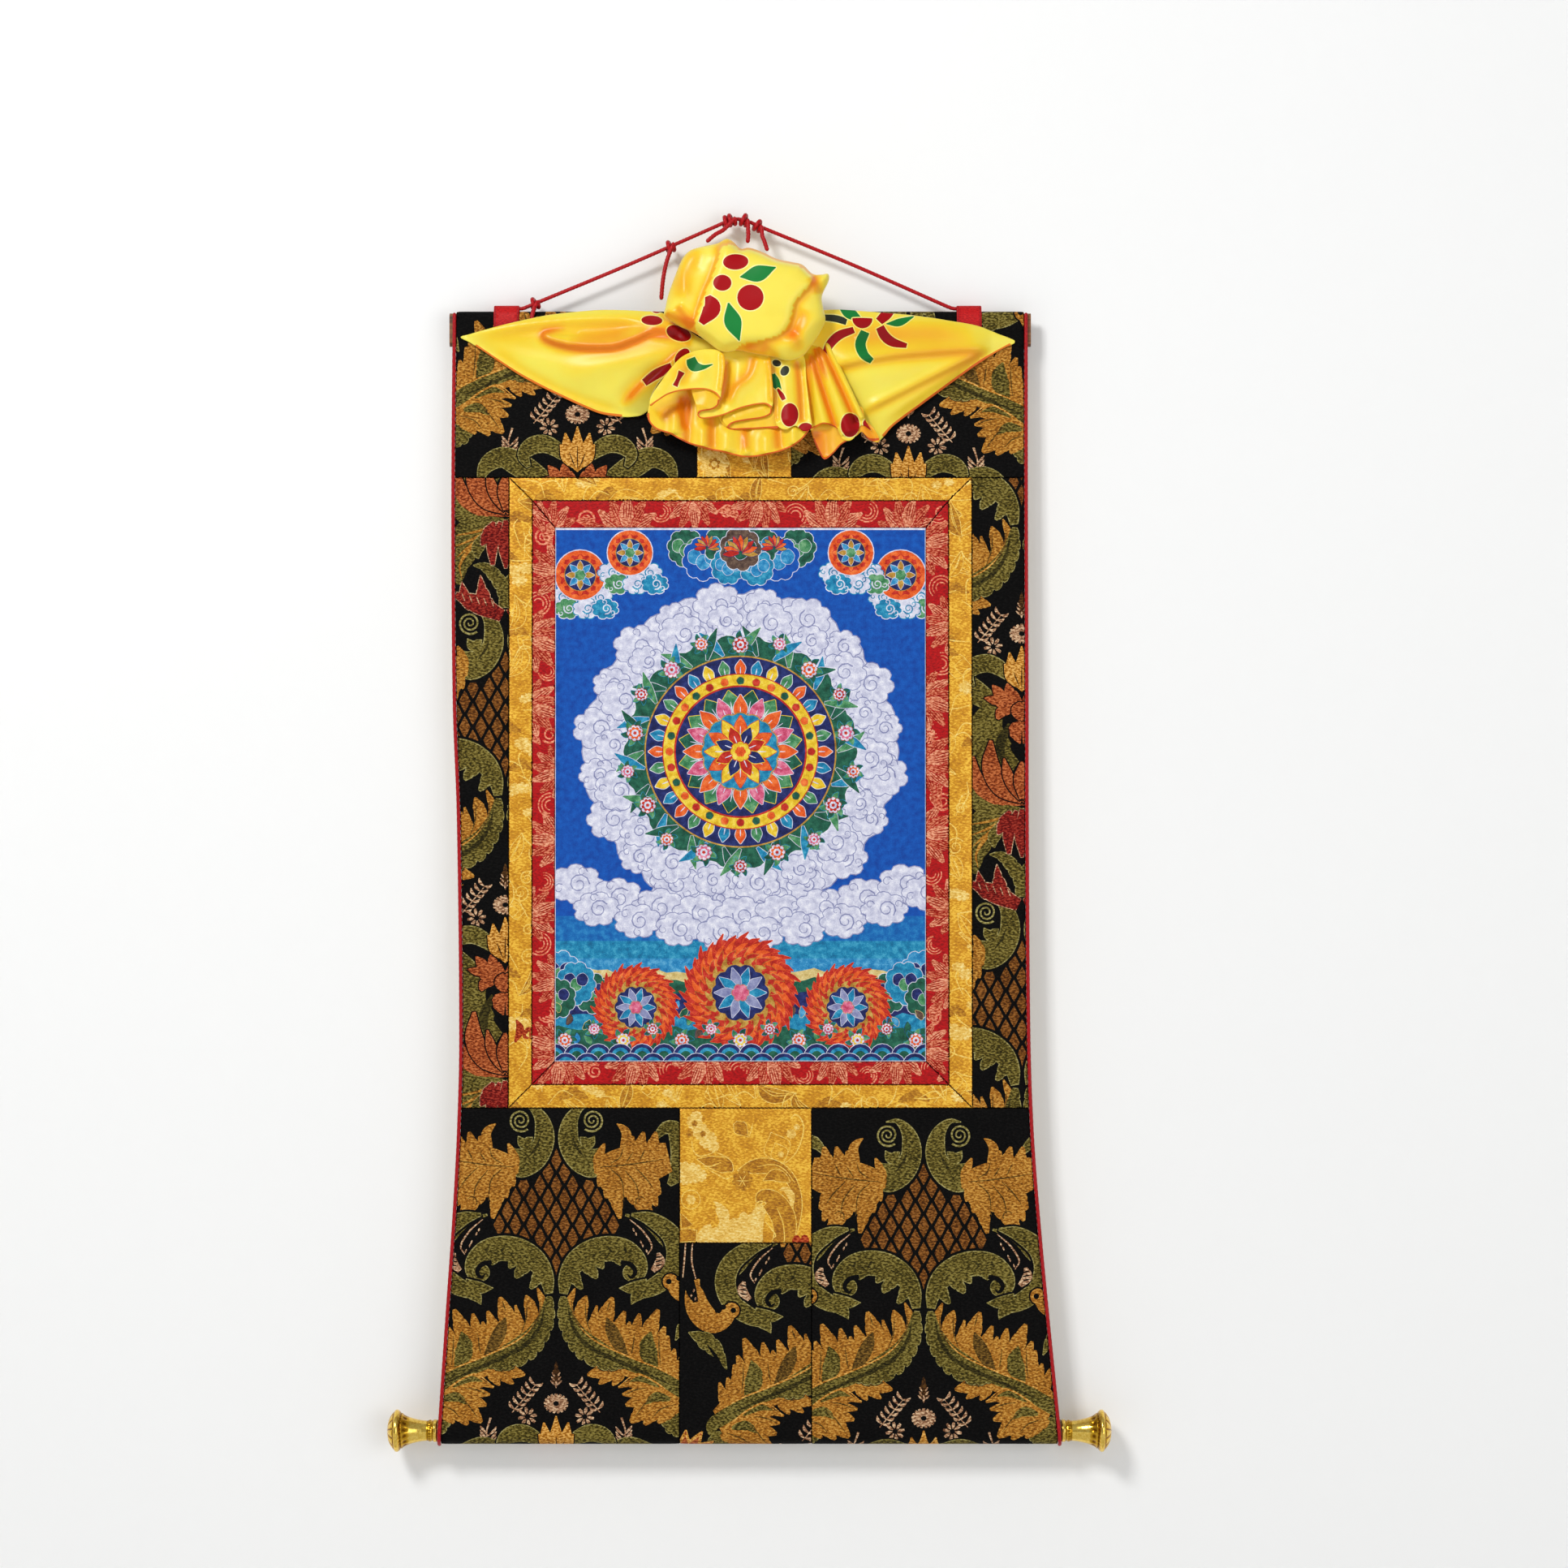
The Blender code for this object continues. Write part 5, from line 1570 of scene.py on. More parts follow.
    def sprigs(self) -> None:
        """Small cream sprigs and flowers between the great leaves."""
        self.put(Yarn.BARK, blade([(0, 208), (0, 196), (0, 182)], [5.5, 5.0, 0.5], 3, 0.4))
        self.put(Yarn.CREAM, blade([(0, 214), (0, 205)], [0.4, 1.6, 0.4], count=4))
        for k in range(3):
            self.put(Yarn.CREAM, blade([(2, 210 - 5 * k), (7 - k, 205 - 5 * k)], [0.3, 1.1, 0.3], count=5))
        self.put(Yarn.CREAM, blade([(54, 244), (40, 228), (25, 210)], [0.6, 0.7, 0.4], count=8))
        for k in range(6):
            x, y = 51.0 - 5.0 * k, 240.0 - 6.0 * k
            self.put(Yarn.CREAM, blade([(x, y), (x + 5, y - 5), (x + 6, y - 10)], [0.5, 2.0, 0.4], count=6),
                     blade([(x, y), (x - 6, y + 1), (x - 10, y - 2)], [0.5, 1.9, 0.4], count=6))
        for k in range(9):
            a = math.radians(-90 + 11 * (k + 0.5) * 1.9 - 9)
            if math.cos(a) < -0.08:
                continue
            self.put(Yarn.CREAM, blade([(3.5 * math.cos(a), 233 + 3.0 * math.sin(a)),
                                        (15 * math.cos(a), 233 + 12.0 * math.sin(a))], [0.5, 2.1, 1.3],
                                       count=6))
        for k in range(8):
            a = math.radians(45 * k + 10)
            self.put(Yarn.CREAM, blade([ray(35, 249, 3.2, a), ray(35, 249, 11.5, a)], [0.5, 2.0, 1.3],
                                       count=6))
        self.put(Yarn.CREAM, blade([(82, 286), (85, 268), (80, 250)], [0.7, 0.8, 1.4], count=8))
        for k in range(3):
            self.put(Yarn.CREAM, blade([(83, 284 - 6 * k), (90, 276 - 6 * k), (93, 270 - 5 * k)],
                                       [0.5, 1.6, 0.4], count=6),
                     blade([(83, 284 - 6 * k), (76, 278 - 6 * k), (73, 273 - 6 * k)], [0.5, 1.6, 0.4],
                           count=6))

    def tulip(self) -> None:
        """The amber tulip on the axis, with olive leaves that arch beside it and mounds below them."""
        mound = blade([(122, 320), (112, 296), (92, 286), (70, 296), (46, 312), (30, 322)],
                      [2.0, 10.0, 13.0, 15.0, 13.0, 8.0], count=18)
        self.put(Yarn.OLIVE, mound, rim=1.2)
        leaf = blade([(6, 298), (18, 282), (38, 270), (56, 272), (66, 284), (60, 298)],
                     [2.0, 8.0, 11.0, 11.0, 8.0, 3.0], count=20)
        self.put(Yarn.OLIVE, leaf, rim=1.2, gap=1.6)
        self.put(Yarn.GROUND, blade([(26, 292), (40, 286), (55, 288)], [1.0, 5.5, 1.0], 4, 0.5))
        self.put(Yarn.AMBER, blade([(0, 304), (0, 280), (0, 248)], [1.0, 9.0, 0.8], count=12),
                 blade([(1, 302), (11, 280), (15, 256)], [1.5, 8.5, 1.0], count=10),
                 blade([(1, 300), (13, 287), (21, 270)], [1.5, 6.5, 1.0], count=10), gap=1.4)
        self.put(Yarn.BARK, blade([(0, 300), (0, 272)], [0.3, 0.8, 0.2], count=5),
                 blade([(3, 298), (10, 280)], [0.3, 0.8, 0.2], count=5))

    def rust_flower(self) -> None:
        """The rust flower below the tulip, its olive stem leaf, and the great rust tulip under it."""
        self.put(Yarn.OLIVE, blade([(30, 318), (44, 350), (34, 384), (10, 400)], [10.0, 22.0, 26.0, 12.0],
                                   count=18))
        self.put(Yarn.MOSS, blade([(14, 344), (26, 368), (22, 396)], [3.0, 6.0, 1.0]))
        self.put(Yarn.RUST, blade([(2, 322), (14, 306), (18, 294)], [6.0, 8.0, 1.0], 2, 0.3),
                 blade([(8, 322), (26, 308), (36, 296)], [6.0, 8.5, 1.0], 2, 0.3),
                 blade([(8, 324), (30, 316), (46, 312)], [6.0, 7.0, 1.0], 2, 0.3),
                 blade([(10, 322), (24, 328), (30, 338)], [6.0, 8.0, 2.0], 2, 0.2), gap=1.4)
        self.put(Yarn.RUST, blade([(0, 318), (6, 328), (0, 342)], [3.0, 7.0, 1.0]), gap=1.5)
        self.put(Yarn.RUST, blade([(0, 342), (8, 352), (2, 368)], [3.0, 9.0, 1.0], 2, 0.2), gap=1.2)
        fingers = [
            blade([(0, 440), (34, 436), (56, 414), (60, 384)], [4.0, 9.0, 10.0, 2.0], count=14),
            blade([(0, 438), (26, 424), (38, 396), (38, 364)], [4.0, 9.0, 11.0, 2.0], count=14),
            blade([(0, 436), (12, 420), (18, 404), (22, 386)], [4.0, 6.0, 6.0, 1.0], count=12),
            blade([(0, 436), (2, 412), (0, 390)], [3.0, 8.0, 1.5], count=10),
        ]
        for finger in fingers:
            self.put(Yarn.RUST, finger, gap=1.6)

    def veined_leaf(self) -> None:
        """The veined ochre-olive leaf that cups the rust tulip, and the olive leaf under it."""
        self.put(Yarn.OLIVE, blade([(0, 450), (32, 452), (58, 438), (66, 414)], [3.0, 8.0, 8.0, 1.0],
                                   count=14),
                 blade([(2, 448), (34, 462), (56, 488), (58, 528)], [3.0, 20.0, 22.0, 2.0], 6, 0.14))
        for k in range(5):
            self.put(Yarn.OCHRE,
                     blade([(8 + 2 * k, 452 + k), (34 + 5 * k, 462 + 9 * k), (66 - 3 * k, 468 + 13 * k)],
                           [0.4, 1.6, 0.4], count=8))
        self.put(Yarn.OLIVE, blade([(22, 462), (34, 482), (34, 496)], [4.0, 8.0, 1.0]), rim=0.8)
        self.put(Yarn.OLIVE, blade([(40, 504), (26, 506), (12, 518), (2, 536), (0, 556)],
                                   [0.8, 6.0, 9.0, 9.0, 8.0], 6, 0.18), rim=1.0)

    def madder_flower(self) -> None:
        """The madder-red petals that hang on the axis, and the red flower over the coiled scroll."""
        self.put(Yarn.MADDER, blade([(14, 450), (22, 466), (30, 480)], [3.0, 9.0, 2.0], 2, 0.2),
                 blade([(6, 450), (16, 476), (16, 504)], [3.0, 8.0, 3.0], count=10),
                 blade([(0, 448), (3, 478), (0, 508)], [3.0, 7.0, 2.0], count=10), rim=0.9,
                 rim_yarn=Yarn.CREAM)
        self.put(Yarn.MADDER, blade([(4, 566), (34, 552), (62, 540)], [8.0, 12.0, 4.0], count=12),
                 blade([(20, 560), (28, 540), (31, 516)], [10.0, 9.0, 0.8], 3, 0.2),
                 blade([(40, 556), (50, 542), (54, 524)], [9.0, 8.0, 0.8], 2, 0.25), rim=0.9,
                 rim_yarn=Yarn.CREAM)
        self.put(Yarn.MADDER, blade([(4, 566), (34, 552), (60, 540)], [6.0, 10.0, 3.0], count=12))
        for k in range(5):
            x = 14.0 + 9 * k
            self.put(Yarn.CREAM, blade([(x, 556 - 2 * k), (x + 4, 546 - 2 * k)], [0.2, 0.8, 0.2], count=4))

    def figures(self, axis: float, middle: float, heights: Sequence[int] = (0,)) -> list[Figure]:
        """The repeat placed on a cloth.

        Args:
            axis: x of its axis, in millimetres.
            middle: Height of its lattice's middle, in millimetres.
            heights: Which repeats up and down are drawn, counted from the first, upwards.

        Returns:
            The figures of whole repeats, both mirrored halves of each.
        """
        placed = []
        for k in heights:
            for ring, yarn in self.drawn:
                for side in (1, -1):
                    x = axis + side * ring[:, 0] * POINT
                    z = middle + (k * self.height - ring[:, 1]) * POINT
                    placed.append(Figure(np.stack([x, z], axis=1), yarn))
        return placed


SCROLLS = ScrollRepeat()


def across(squares: float) -> float:
    """Millimetres across from the hanging point, for a place on the drawing's point paper."""
    return (squares - PAPER_ZERO[0]) * POINT


def upwards(squares: float) -> float:
    """Millimetres up from the hanging point, for a place counted down the drawing's point paper."""
    return (PAPER_ZERO[1] - squares) * POINT


def rectangle(left: float, right: float, top: float, bottom: float) -> np.ndarray:
    """The ring of a rectangle, just inside its seams.

    Args:
        left: The seam on its left.
        right: The seam on its right.
        top: The seam above it.
        bottom: The seam below it.

    Returns:
        Its four corners.
    """
    g = HANG.seam / 2
    return np.array([(left + g, bottom + g), (right - g, bottom + g), (right - g, top - g),
                     (left + g, top - g)])


# ---------------------------------------------------------------- the mount


@dataclass(frozen=True)
class MountSeams:
    """Where the mount's seams run: the picture, the red and gold bands round it, door and tab."""

    picture: tuple[float, float, float, float] = (-146.6, 151.2, -248.0, -676.6)
    red_side: float = 18.5
    red_top: float = 22.0
    red_bottom: float = 18.6
    gold_side: float = 18.8
    gold_top: float = 18.6
    gold_bottom: float = 18.8
    door_left: float = -46.5
    door_right: float = 59.4
    door_drop: float = 108.0
    tab: tuple[float, float, float] = (-32.7, 43.2, -146.0)

    @property
    def red(self) -> tuple[float, float, float, float]:
        """Left, right, top and bottom of the red bands' outer edge."""
        left, right, top, bottom = self.picture
        return left - self.red_side, right + self.red_side, top + self.red_top, bottom - self.red_bottom

    @property
    def gold(self) -> tuple[float, float, float, float]:
        """Left, right, top and bottom of the gold bands' outer edge."""
        left, right, top, bottom = self.red
        return left - self.gold_side, right + self.gold_side, top + self.gold_top, bottom - self.gold_bottom

    @property
    def door_bottom(self) -> float:
        """Height of the door's lower seam."""
        return self.gold[3] - self.door_drop


SEAMS = MountSeams()


def finish_sheet(piece: bpy.types.Object, node: str, slot: str, flat: Spot, held: str = "stretched",
                 area: float | None = None) -> None:
    """Attaches a sheet of cloth that stands for a solid, hides that solid and logs the sheet's faces.

    Args:
        piece: The sheet.
        node: The solid it stands for.
        slot: The record's material slot; not used.
        flat: Width and length of its cut, in millimetres; not used.
        held: How it is held; not used.
        area: Its flat area in square metres, where the cut isn't a rectangle; not used.
    """
    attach(piece, "root")
    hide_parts(node)
    LOG.info("%s: %d faces", piece.name, len(piece.data.polygons))


@dataclass
class BrocadeMount:
    """The dark brocade panels round the frame, with their figures running on from one unit of the repeat.

    Args:
        step: Distance between the mesh's points in plain parts.
        top: Squares where the lattices nearest to the top panel have their middles.
        sides: The same for the left and the right side panel.
        bottom: The same for the three bottom panels, from left to right.
    """

    step: float = 7.0
    top: tuple[Spot, Spot] = ((712.0, 278.0), (1119.0, 302.0))
    sides: tuple[Spot, Spot] = ((624.0, 881.0), (1258.0, 1236.0))
    bottom: tuple[Spot, Spot, Spot] = ((687.0, 1491.0), (1042.0, 1526.0), (1137.0, 1509.0))

    @staticmethod
    def repeats(unit: Spot, rows: Sequence[int]) -> list[Figure]:
        """The repeat's figures round one lattice's middle, in the given rows of the repeat."""
        return SCROLLS.figures(across(unit[0]), upwards(unit[1]), rows)

    def build(self) -> list[bpy.types.Object]:
        """Cuts, figures and hangs every dark panel.

        Returns:
            The panels.
        """
        left, right, top, bottom = SEAMS.gold
        g = HANG.seam / 2
        over, under = Wrap(True), Wrap(False)
        door_l, door_r = SEAMS.door_left, SEAMS.door_right
        top_figures = [figure for unit in self.top for figure in self.repeats(unit, (0, 1))]
        return [
            self.wrapped("top_brocade", "top_panel", HANG.left_edge, HANG.right_edge, top, over, top_figures),
            self.strip("side_brocade_left", "side_panel_left", HANG.left_edge, left - g,
                       self.repeats(self.sides[0], (0, -1, 1))),
            self.strip("side_brocade_right", "side_panel_right", right + g, HANG.right_edge,
                       self.repeats(self.sides[1], (0, 1))),
            self.wrapped("bottom_brocade_left", "bottom_panel_left", HANG.left_edge, door_l - g, bottom,
                         under, self.repeats(self.bottom[0], (0, -1))),
            self.wrapped("bottom_brocade_centre", "bottom_panel_centre", door_l + g, door_r - g,
                         SEAMS.door_bottom, under, self.repeats(self.bottom[1], (0, -1))),
            self.wrapped("bottom_brocade_right", "bottom_panel_right", door_r + g, HANG.right_edge, bottom,
                         under, self.repeats(self.bottom[2], (0, -1))),
        ]

    @staticmethod
    def side_line(side: float | Callable[[np.ndarray], np.ndarray], heights: np.ndarray, real: np.ndarray
                  ) -> np.ndarray:
        """One side of a cut from its top to its bottom.

        Args:
            side: Its x, or the x at a height.
            heights: Heights on the flat cut.
            real: The hung heights of the same places.

        Returns:
            The side's points.
        """
        x = side(real) if callable(side) else np.full(len(heights), side)
        return np.stack([x, heights], axis=1)

    def strip(self, name: str, node: str, left: float | Callable[[np.ndarray], np.ndarray],
              right: float | Callable[[np.ndarray], np.ndarray], figures: list[Figure]) -> bpy.types.Object:
        """A panel beside the frame.

        Args:
            name: The piece's name.
            node: The solid it stands for.
            left: Its left side.
            right: Its right side.
            figures: Its figures.

        Returns:
            The hung panel.
        """
        g = HANG.seam / 2
        heights = np.linspace(SEAMS.gold[2] - g, SEAMS.gold[3] + g, 24)
        sides = [self.side_line(side, heights, heights) for side in (left, right)]
        cut = Cut(np.vstack([sides[0], sides[1][::-1]]), Yarn.GROUND, figures, self.step, seam=Yarn.SEAM)
        piece = Sewing(HANG.cloth, dip=0.35).sheet(name, cut, HANG.flat(), COTTON)
        width = float(np.mean(sides[1][:, 0] - sides[0][:, 0]))
        finish_sheet(piece, node, "dark_brocade", (width, heights[0] - heights[-1]))
        return piece

    def wrapped(self, name: str, node: str, left: float | Callable[[np.ndarray], np.ndarray],
                right: float | Callable[[np.ndarray], np.ndarray], seam: float, wrap: Wrap,
                figures: list[Figure]) -> bpy.types.Object:
        """A panel that turns round the batten or the rod.

        Args:
            name: The piece's name.
            node: The solid it stands for.
            left: Its left side.
            right: Its right side.
            seam: Height of the seam at the frame.
            wrap: The course it takes.
            figures: Its figures.

        Returns:
            The hung panel.
        """
        start = seam + wrap.way * HANG.seam / 2
        heights = np.concatenate([np.linspace(start, wrap.start, 14),
                                  wrap.start + wrap.way * wrap.lengths[1:]])
        real = wrap.sides(heights)
        sides = [self.side_line(side, heights, real) for side in (left, right)]
        cut = Cut(np.vstack([sides[0], sides[1][::-1]]), Yarn.GROUND, figures, self.step, wrap.bends(),
                  seam=Yarn.SEAM)
        piece = Sewing(HANG.cloth, dip=0.35).sheet(name, cut, wrap.place, COTTON)
        width = float(np.mean(sides[1][:, 0] - sides[0][:, 0]))
        finish_sheet(piece, node, "dark_brocade", (width, abs(start - wrap.end)))
        return piece


class GoldDrawing:
    """Figures of the gold brocade: leaves with bright outlines, pale blossoms and loops."""

    def __init__(self) -> None:
        """Starts with no figure."""
        self.figures: list[Figure] = []

    def put(self, fill: GoldYarn, ring: np.ndarray, rim: float = 0.0) -> None:
        """Adds a shape, with a bright outline inside it where rim is above 0.

        Args:
            fill: What fills it.
            ring: Its outline, in millimetres.
            rim: Width of the bright outline.
        """
        if rim:
            self.figures.append(Figure(ring, GoldYarn.LINE))
            ring = swell(ring, -rim)
        self.figures.append(Figure(ring, fill))

    def line(self, spots: Sequence[Spot], width: float = 0.55) -> None:
        """Adds a bright line through some spots."""
        self.figures.append(Figure(blade(spots, [width * 0.5, width, width * 0.4], count=14), GoldYarn.LINE))

    def leaf(self, x: float, z: float, turn: float, size: float, bend: float = 0.3,
             fill: GoldYarn = GoldYarn.DEEP) -> None:
        """A curved leaf with its outline and two veins.

        Args:
            x: Its root, across.
            z: Its root's height.
            turn: The way it points, in degrees.
            size: Its length.
            bend: How far it bends, as a share of its length.
            fill: What fills it.
        """
        c, s = math.cos(math.radians(turn)), math.sin(math.radians(turn))

        def spot(along: float, aside: float) -> Spot:
            """A place on the leaf."""
            return x + size * (along * c - aside * s), z + size * (along * s + aside * c)

        spine = [spot(0, 0), spot(0.35, bend * 0.8), spot(0.7, bend), spot(1.0, bend * 0.4)]
        self.put(fill, blade(spine, [0.3, size * 0.17, size * 0.18, 0.4], count=12), 0.55)
        self.line([spot(0.1, bend * 0.3), spot(0.5, bend * 0.95), spot(0.85, bend * 0.75)], 0.35)
        self.line([spot(0.12, bend * 0.2), spot(0.45, bend * 0.65), spot(0.72, bend * 0.68)], 0.3)

    def blossom(self, x: float, z: float, size: float, turn: float = 0.0) -> None:
        """A pale fluffy blossom with a deep heart.

        Args:
            x: Its middle, across.
            z: Its middle's height.
            size: Its radius.
            turn: Angle of its first petal, in degrees.
        """
        self.put(GoldYarn.PALE, bloom((x, z), size, 9, 0.22, turn))
        self.put(GoldYarn.DEEP, bloom((x, z), size * 0.45, 6, 0.3, turn + 20), 0.4)
        self.put(GoldYarn.PALE, bloom((x, z), size * 0.2))

    def loop(self, x: float, z: float, size: float, turn: float) -> None:
        """A double bright loop that closes in a point.

        Args:
            x: The loop's point, across.
            z: The loop's point, up.
            size: Its length.
            turn: The way it points, in degrees.
        """
        a = math.radians(turn)
        for share in (1.0, 0.66):
            tip = ray(x, z, size * share, a)
            ring = blade([(x, z), tip], [0.3, size * 0.42 * share, 0.3], count=16)
            self.put(GoldYarn.GROUND, ring, 0.55)

    def curl(self, x: float, z: float, size: float, start: float, turns: float) -> None:
        """A bright line that winds in.

        Args:
            x: Its eye, across.
            z: Its eye's height.
            size: Its outer radius.
            start: Angle where it starts, in degrees.
            turns: How many turns it makes.
        """
        self.figures.append(Figure(coil((x, z), size, size * 0.2, start, turns, 0.55, 0.35), GoldYarn.LINE))


@dataclass
class GoldBands:
    """The gold brocade: four mitred bands, the door below the frame and the tab above it.

    Args:
        seed: Number that the order of figures along the bands comes from.
        flower: Squares where the small red flower lies.
        door_corner: Squares where the door's own finer point paper has its corner.
        door_finer: How many of its squares make one of the drawing's.
    """

    seed: int = 5
    flower: Spot = (650.0, 1270.0)
    door_corner: Spot = (830.0, 1360.0)
    door_finer: float = 8.71

    def build(self) -> list[bpy.types.Object]:
        """Cuts and hangs every gold piece.

        Returns:
            The four bands, the door and the tab.
        """
        pieces = []
        for side in ("top", "bottom", "left", "right"):
            ring = mitred(SEAMS.gold, SEAMS.red, side)
            drawing = self.scattered(ring, self.seed + len(side))
            if side == "left":
                self.red_flower(drawing)
            cut = Cut(ring, GoldYarn.GROUND, drawing.figures, 5.0, seam=GoldYarn.SEAM)
            piece = Sewing(HANG.cloth, dip=0.3).sheet(f"gold_brocade_{side}", cut, HANG.flat(), COTTON)
            finish_sheet(piece, f"gold_band_{side}", "gold_brocade", *ring_flat(ring))
            pieces.append(piece)
        pieces += [self.door(), self.tab()]
        return pieces

    def scattered(self, ring: np.ndarray, seed: int) -> GoldDrawing:
        """Fragments of the large repeat that a narrow band shows.

        Args:
            ring: The band's outline.
            seed: Number that their order comes from.

        Returns:
            The drawing.
        """
        drawing = GoldDrawing()
        low, high = ring.min(axis=0), ring.max(axis=0)
        long_x = high[0] - low[0] > high[1] - low[1]
        length = max(high - low)
        rng = np.random.default_rng(seed)
        at = 4.0
        while at < length:
            aside = float(rng.uniform(-4.0, 22.0))
            x, z = (low[0] + at, low[1] + aside) if long_x else (low[0] + aside, low[1] + at)
            kind = int(rng.integers(0, 9))
            turn = float(rng.uniform(0, 360))
            size = float(rng.uniform(20, 36))
            if kind in (0, 1, 2):
                drawing.leaf(x, z, turn, size, float(rng.uniform(-0.35, 0.35)),
                             (GoldYarn.GROUND, GoldYarn.DEEP)[kind % 2])
            elif kind in (3, 4):
                for k in range(3):
                    drawing.put(GoldYarn.PALE, bloom((x + 5 * k, z + float(rng.uniform(-6, 6))), size * 0.22,
                                                     7, 0.3, turn + 40 * k, 0.75))
            elif kind == 5:
                drawing.curl(x, z, size * 0.24, turn, 1.6)
            elif kind == 6:
                drawing.loop(x, z, size * 0.7, turn)
            elif kind == 7:
                drawing.put(GoldYarn.DEEP,
                            blade([(x - size * 0.4, z - 3), (x, z + 2), (x + size * 0.4, z - 2)],
                                  [1.0, 5.0, 1.0], 3, 0.35))
            a = math.radians(turn + 50)
            drawing.line([(x, z), (x + 10 * math.cos(a), z + 10 * math.sin(a) + 3), ray(x, z, 22, a + 0.4)])
            at += float(rng.uniform(9.0, 17.0))
        return drawing

    def red_flower(self, drawing: GoldDrawing) -> None:
        """The small red flower low on the left band.

        Args:
            drawing: The left band's drawing.
        """
        x, z = across(self.flower[0]), upwards(self.flower[1])
        drawing.put(GoldYarn.RED, blade([(x - 9, z - 8), (x - 5, z + 2), (x - 8, z + 10)], [1.0, 3.4, 0.6]))
        drawing.put(GoldYarn.RED, bloom((x + 2, z - 1), 6.4, 5, 0.25, 20, 0.8))
        drawing.put(GoldYarn.PALE, bloom((x + 3, z - 2), 3.2, 4, 0.3, 10, 0.8))
        drawing.put(GoldYarn.RED, blade([(x + 3, z - 5), (x + 3, z + 1)], [0.3, 0.8, 0.3]))

    def door(self) -> bpy.types.Object:
        """The gold door with its great curved leaves, loops, pale blossoms and two red marks.

        Returns:
            The door.
        """
        ring = rectangle(SEAMS.door_left, SEAMS.door_right, SEAMS.gold[3], SEAMS.door_bottom)
        d = GoldDrawing()

        def paper(*spots: Spot) -> list[Spot]:
            """Places on the door's own finer point paper, in millimetres from the hanging point.

            Args:
                spots: Its squares across and down.

            Returns:
                The places.
            """
            left, top = self.door_corner
            return [(across(left + x / self.door_finer), upwards(top + y / self.door_finer))
                    for x, y in spots]

        def pale(x: float, y: float, size: float, petals: int = 9) -> None:
            """A pale patch."""
            spot = paper((x, y))[0]
            d.put(GoldYarn.PALE, bloom(spot, size, petals, 0.2, x))

        for x, y, size in ((230, 170, 6.5), (290, 270, 7.0), (370, 360, 7.5), (430, 430, 5.0),
                           (250, 120, 5.0), (120, 700, 8.0), (210, 720, 8.5), (290, 740, 5.5),
                           (130, 780, 5.0)):
            pale(x, y, size)
        for x, y, size in ((230, 190, 2.6), (320, 300, 2.6), (180, 300, 3.2)):
            d.put(GoldYarn.DEEP, bloom(paper((x, y))[0], size, 5, 0.3, x))
        heap = paper((230, 1480), (260, 1370), (330, 1280), (400, 1255), (420, 1310), (470, 1290),
                     (500, 1240), (480, 1180), (450, 1110), (470, 1090), (430, 1015), (510, 1040),
                     (590, 1110), (605, 1180), (590, 1230), (640, 1195), (700, 1200), (720, 1150),
                     (760, 1125), (800, 1165), (840, 1140), (870, 1090), (920, 1050), (980, 1060),
                     (990, 1140), (970, 1220), (960, 1330), (960, 1480))
        d.put(GoldYarn.PALE, np.array(heap))
        d.put(GoldYarn.DEEP, blade(paper((255, 570), (400, 600), (560, 640), (640, 700)),
                                   [0.5, 5.0, 6.5, 1.0]), 0.55)
        d.line(paper((200, 370), (215, 470), (270, 535), (360, 525), (450, 490)))
        d.line(paper((330, 650), (420, 640), (510, 605)))
        d.line(paper((450, 500), (520, 520), (610, 560)), 0.4)
        d.line(paper((340, 660), (450, 720), (570, 778), (640, 740)))
        d.put(GoldYarn.DEEP, blade(paper((685, 690), (840, 655), (1010, 640), (1180, 700), (1290, 850),
                                         (1330, 1060), (1300, 1290), (1250, 1480)),
                                   [0.4, 5.5, 6.5, 5.0, 4.2, 4.0, 3.4, 2.4], count=30), 0.6)
        d.line(paper((900, 650), (1060, 625), (1190, 680), (1300, 820)), 0.4)
        d.put(GoldYarn.DEEP, blade(paper((960, 800), (1080, 740), (1180, 770), (1250, 815)),
                                   [0.5, 5.0, 4.0, 0.6]), 0.55)
        d.put(GoldYarn.PALE, blade(paper((1140, 900), (1200, 890), (1260, 960), (1275, 1060)),
                                   [0.6, 2.2, 3.0, 1.0]))
        d.put(GoldYarn.DEEP, blade(paper((900, 1050), (960, 975), (1080, 1040), (1180, 1200), (1190, 1380),
                                         (1150, 1490)),
                                   [1.5, 6.5, 9.5, 10.0, 9.0, 8.0], count=26), 0.6)
        d.line(paper((1110, 1090), (1170, 1240), (1190, 1400), (1175, 1490)), 0.45)
        d.curl(*paper((930, 1075))[0], 4.4, 60.0, 1.3)
        d.line(paper((980, 1230), (1040, 1300), (1095, 1380), (1070, 1410)))
        d.loop(*paper((1180, 615))[0], 27.0, 112.0)
        pale(1150, 520, 2.6, 6)
        d.line(paper((1185, 620), (1300, 520), (1370, 370), (1395, 230), (1360, 130), (1300, 95),
                     (1260, 140)), 0.6)
        pale(1262, 300, 4.0)
        pale(1320, 230, 2.6)
        d.put(GoldYarn.DEEP, blade(paper((660, 180), (720, 240), (800, 330)), [2.0, 6.0, 0.6]), 0.45)
        d.line(paper((850, 190), (835, 260), (810, 340)), 0.45)
        d.put(GoldYarn.DEEP, bloom(paper((740, 800))[0], 8.5, 8, 0.25, 10))
        for k in range(6):
            a = math.radians(60 * k)
            x, z = paper((740, 800))[0]
            d.line([(x, z), ray(x, z, 5, a)], 0.35)
        x, z = paper((190, 1000))[0]
        d.put(GoldYarn.GROUND, bloom((x, z), 8.0), 0.7)
        d.put(GoldYarn.PALE, bloom((x, z), 4.0, 6, 0.25))
        d.put(GoldYarn.DEEP, np.array(paper((75, 1150), (110, 1160), (215, 1270), (90, 1320))), 0.5)
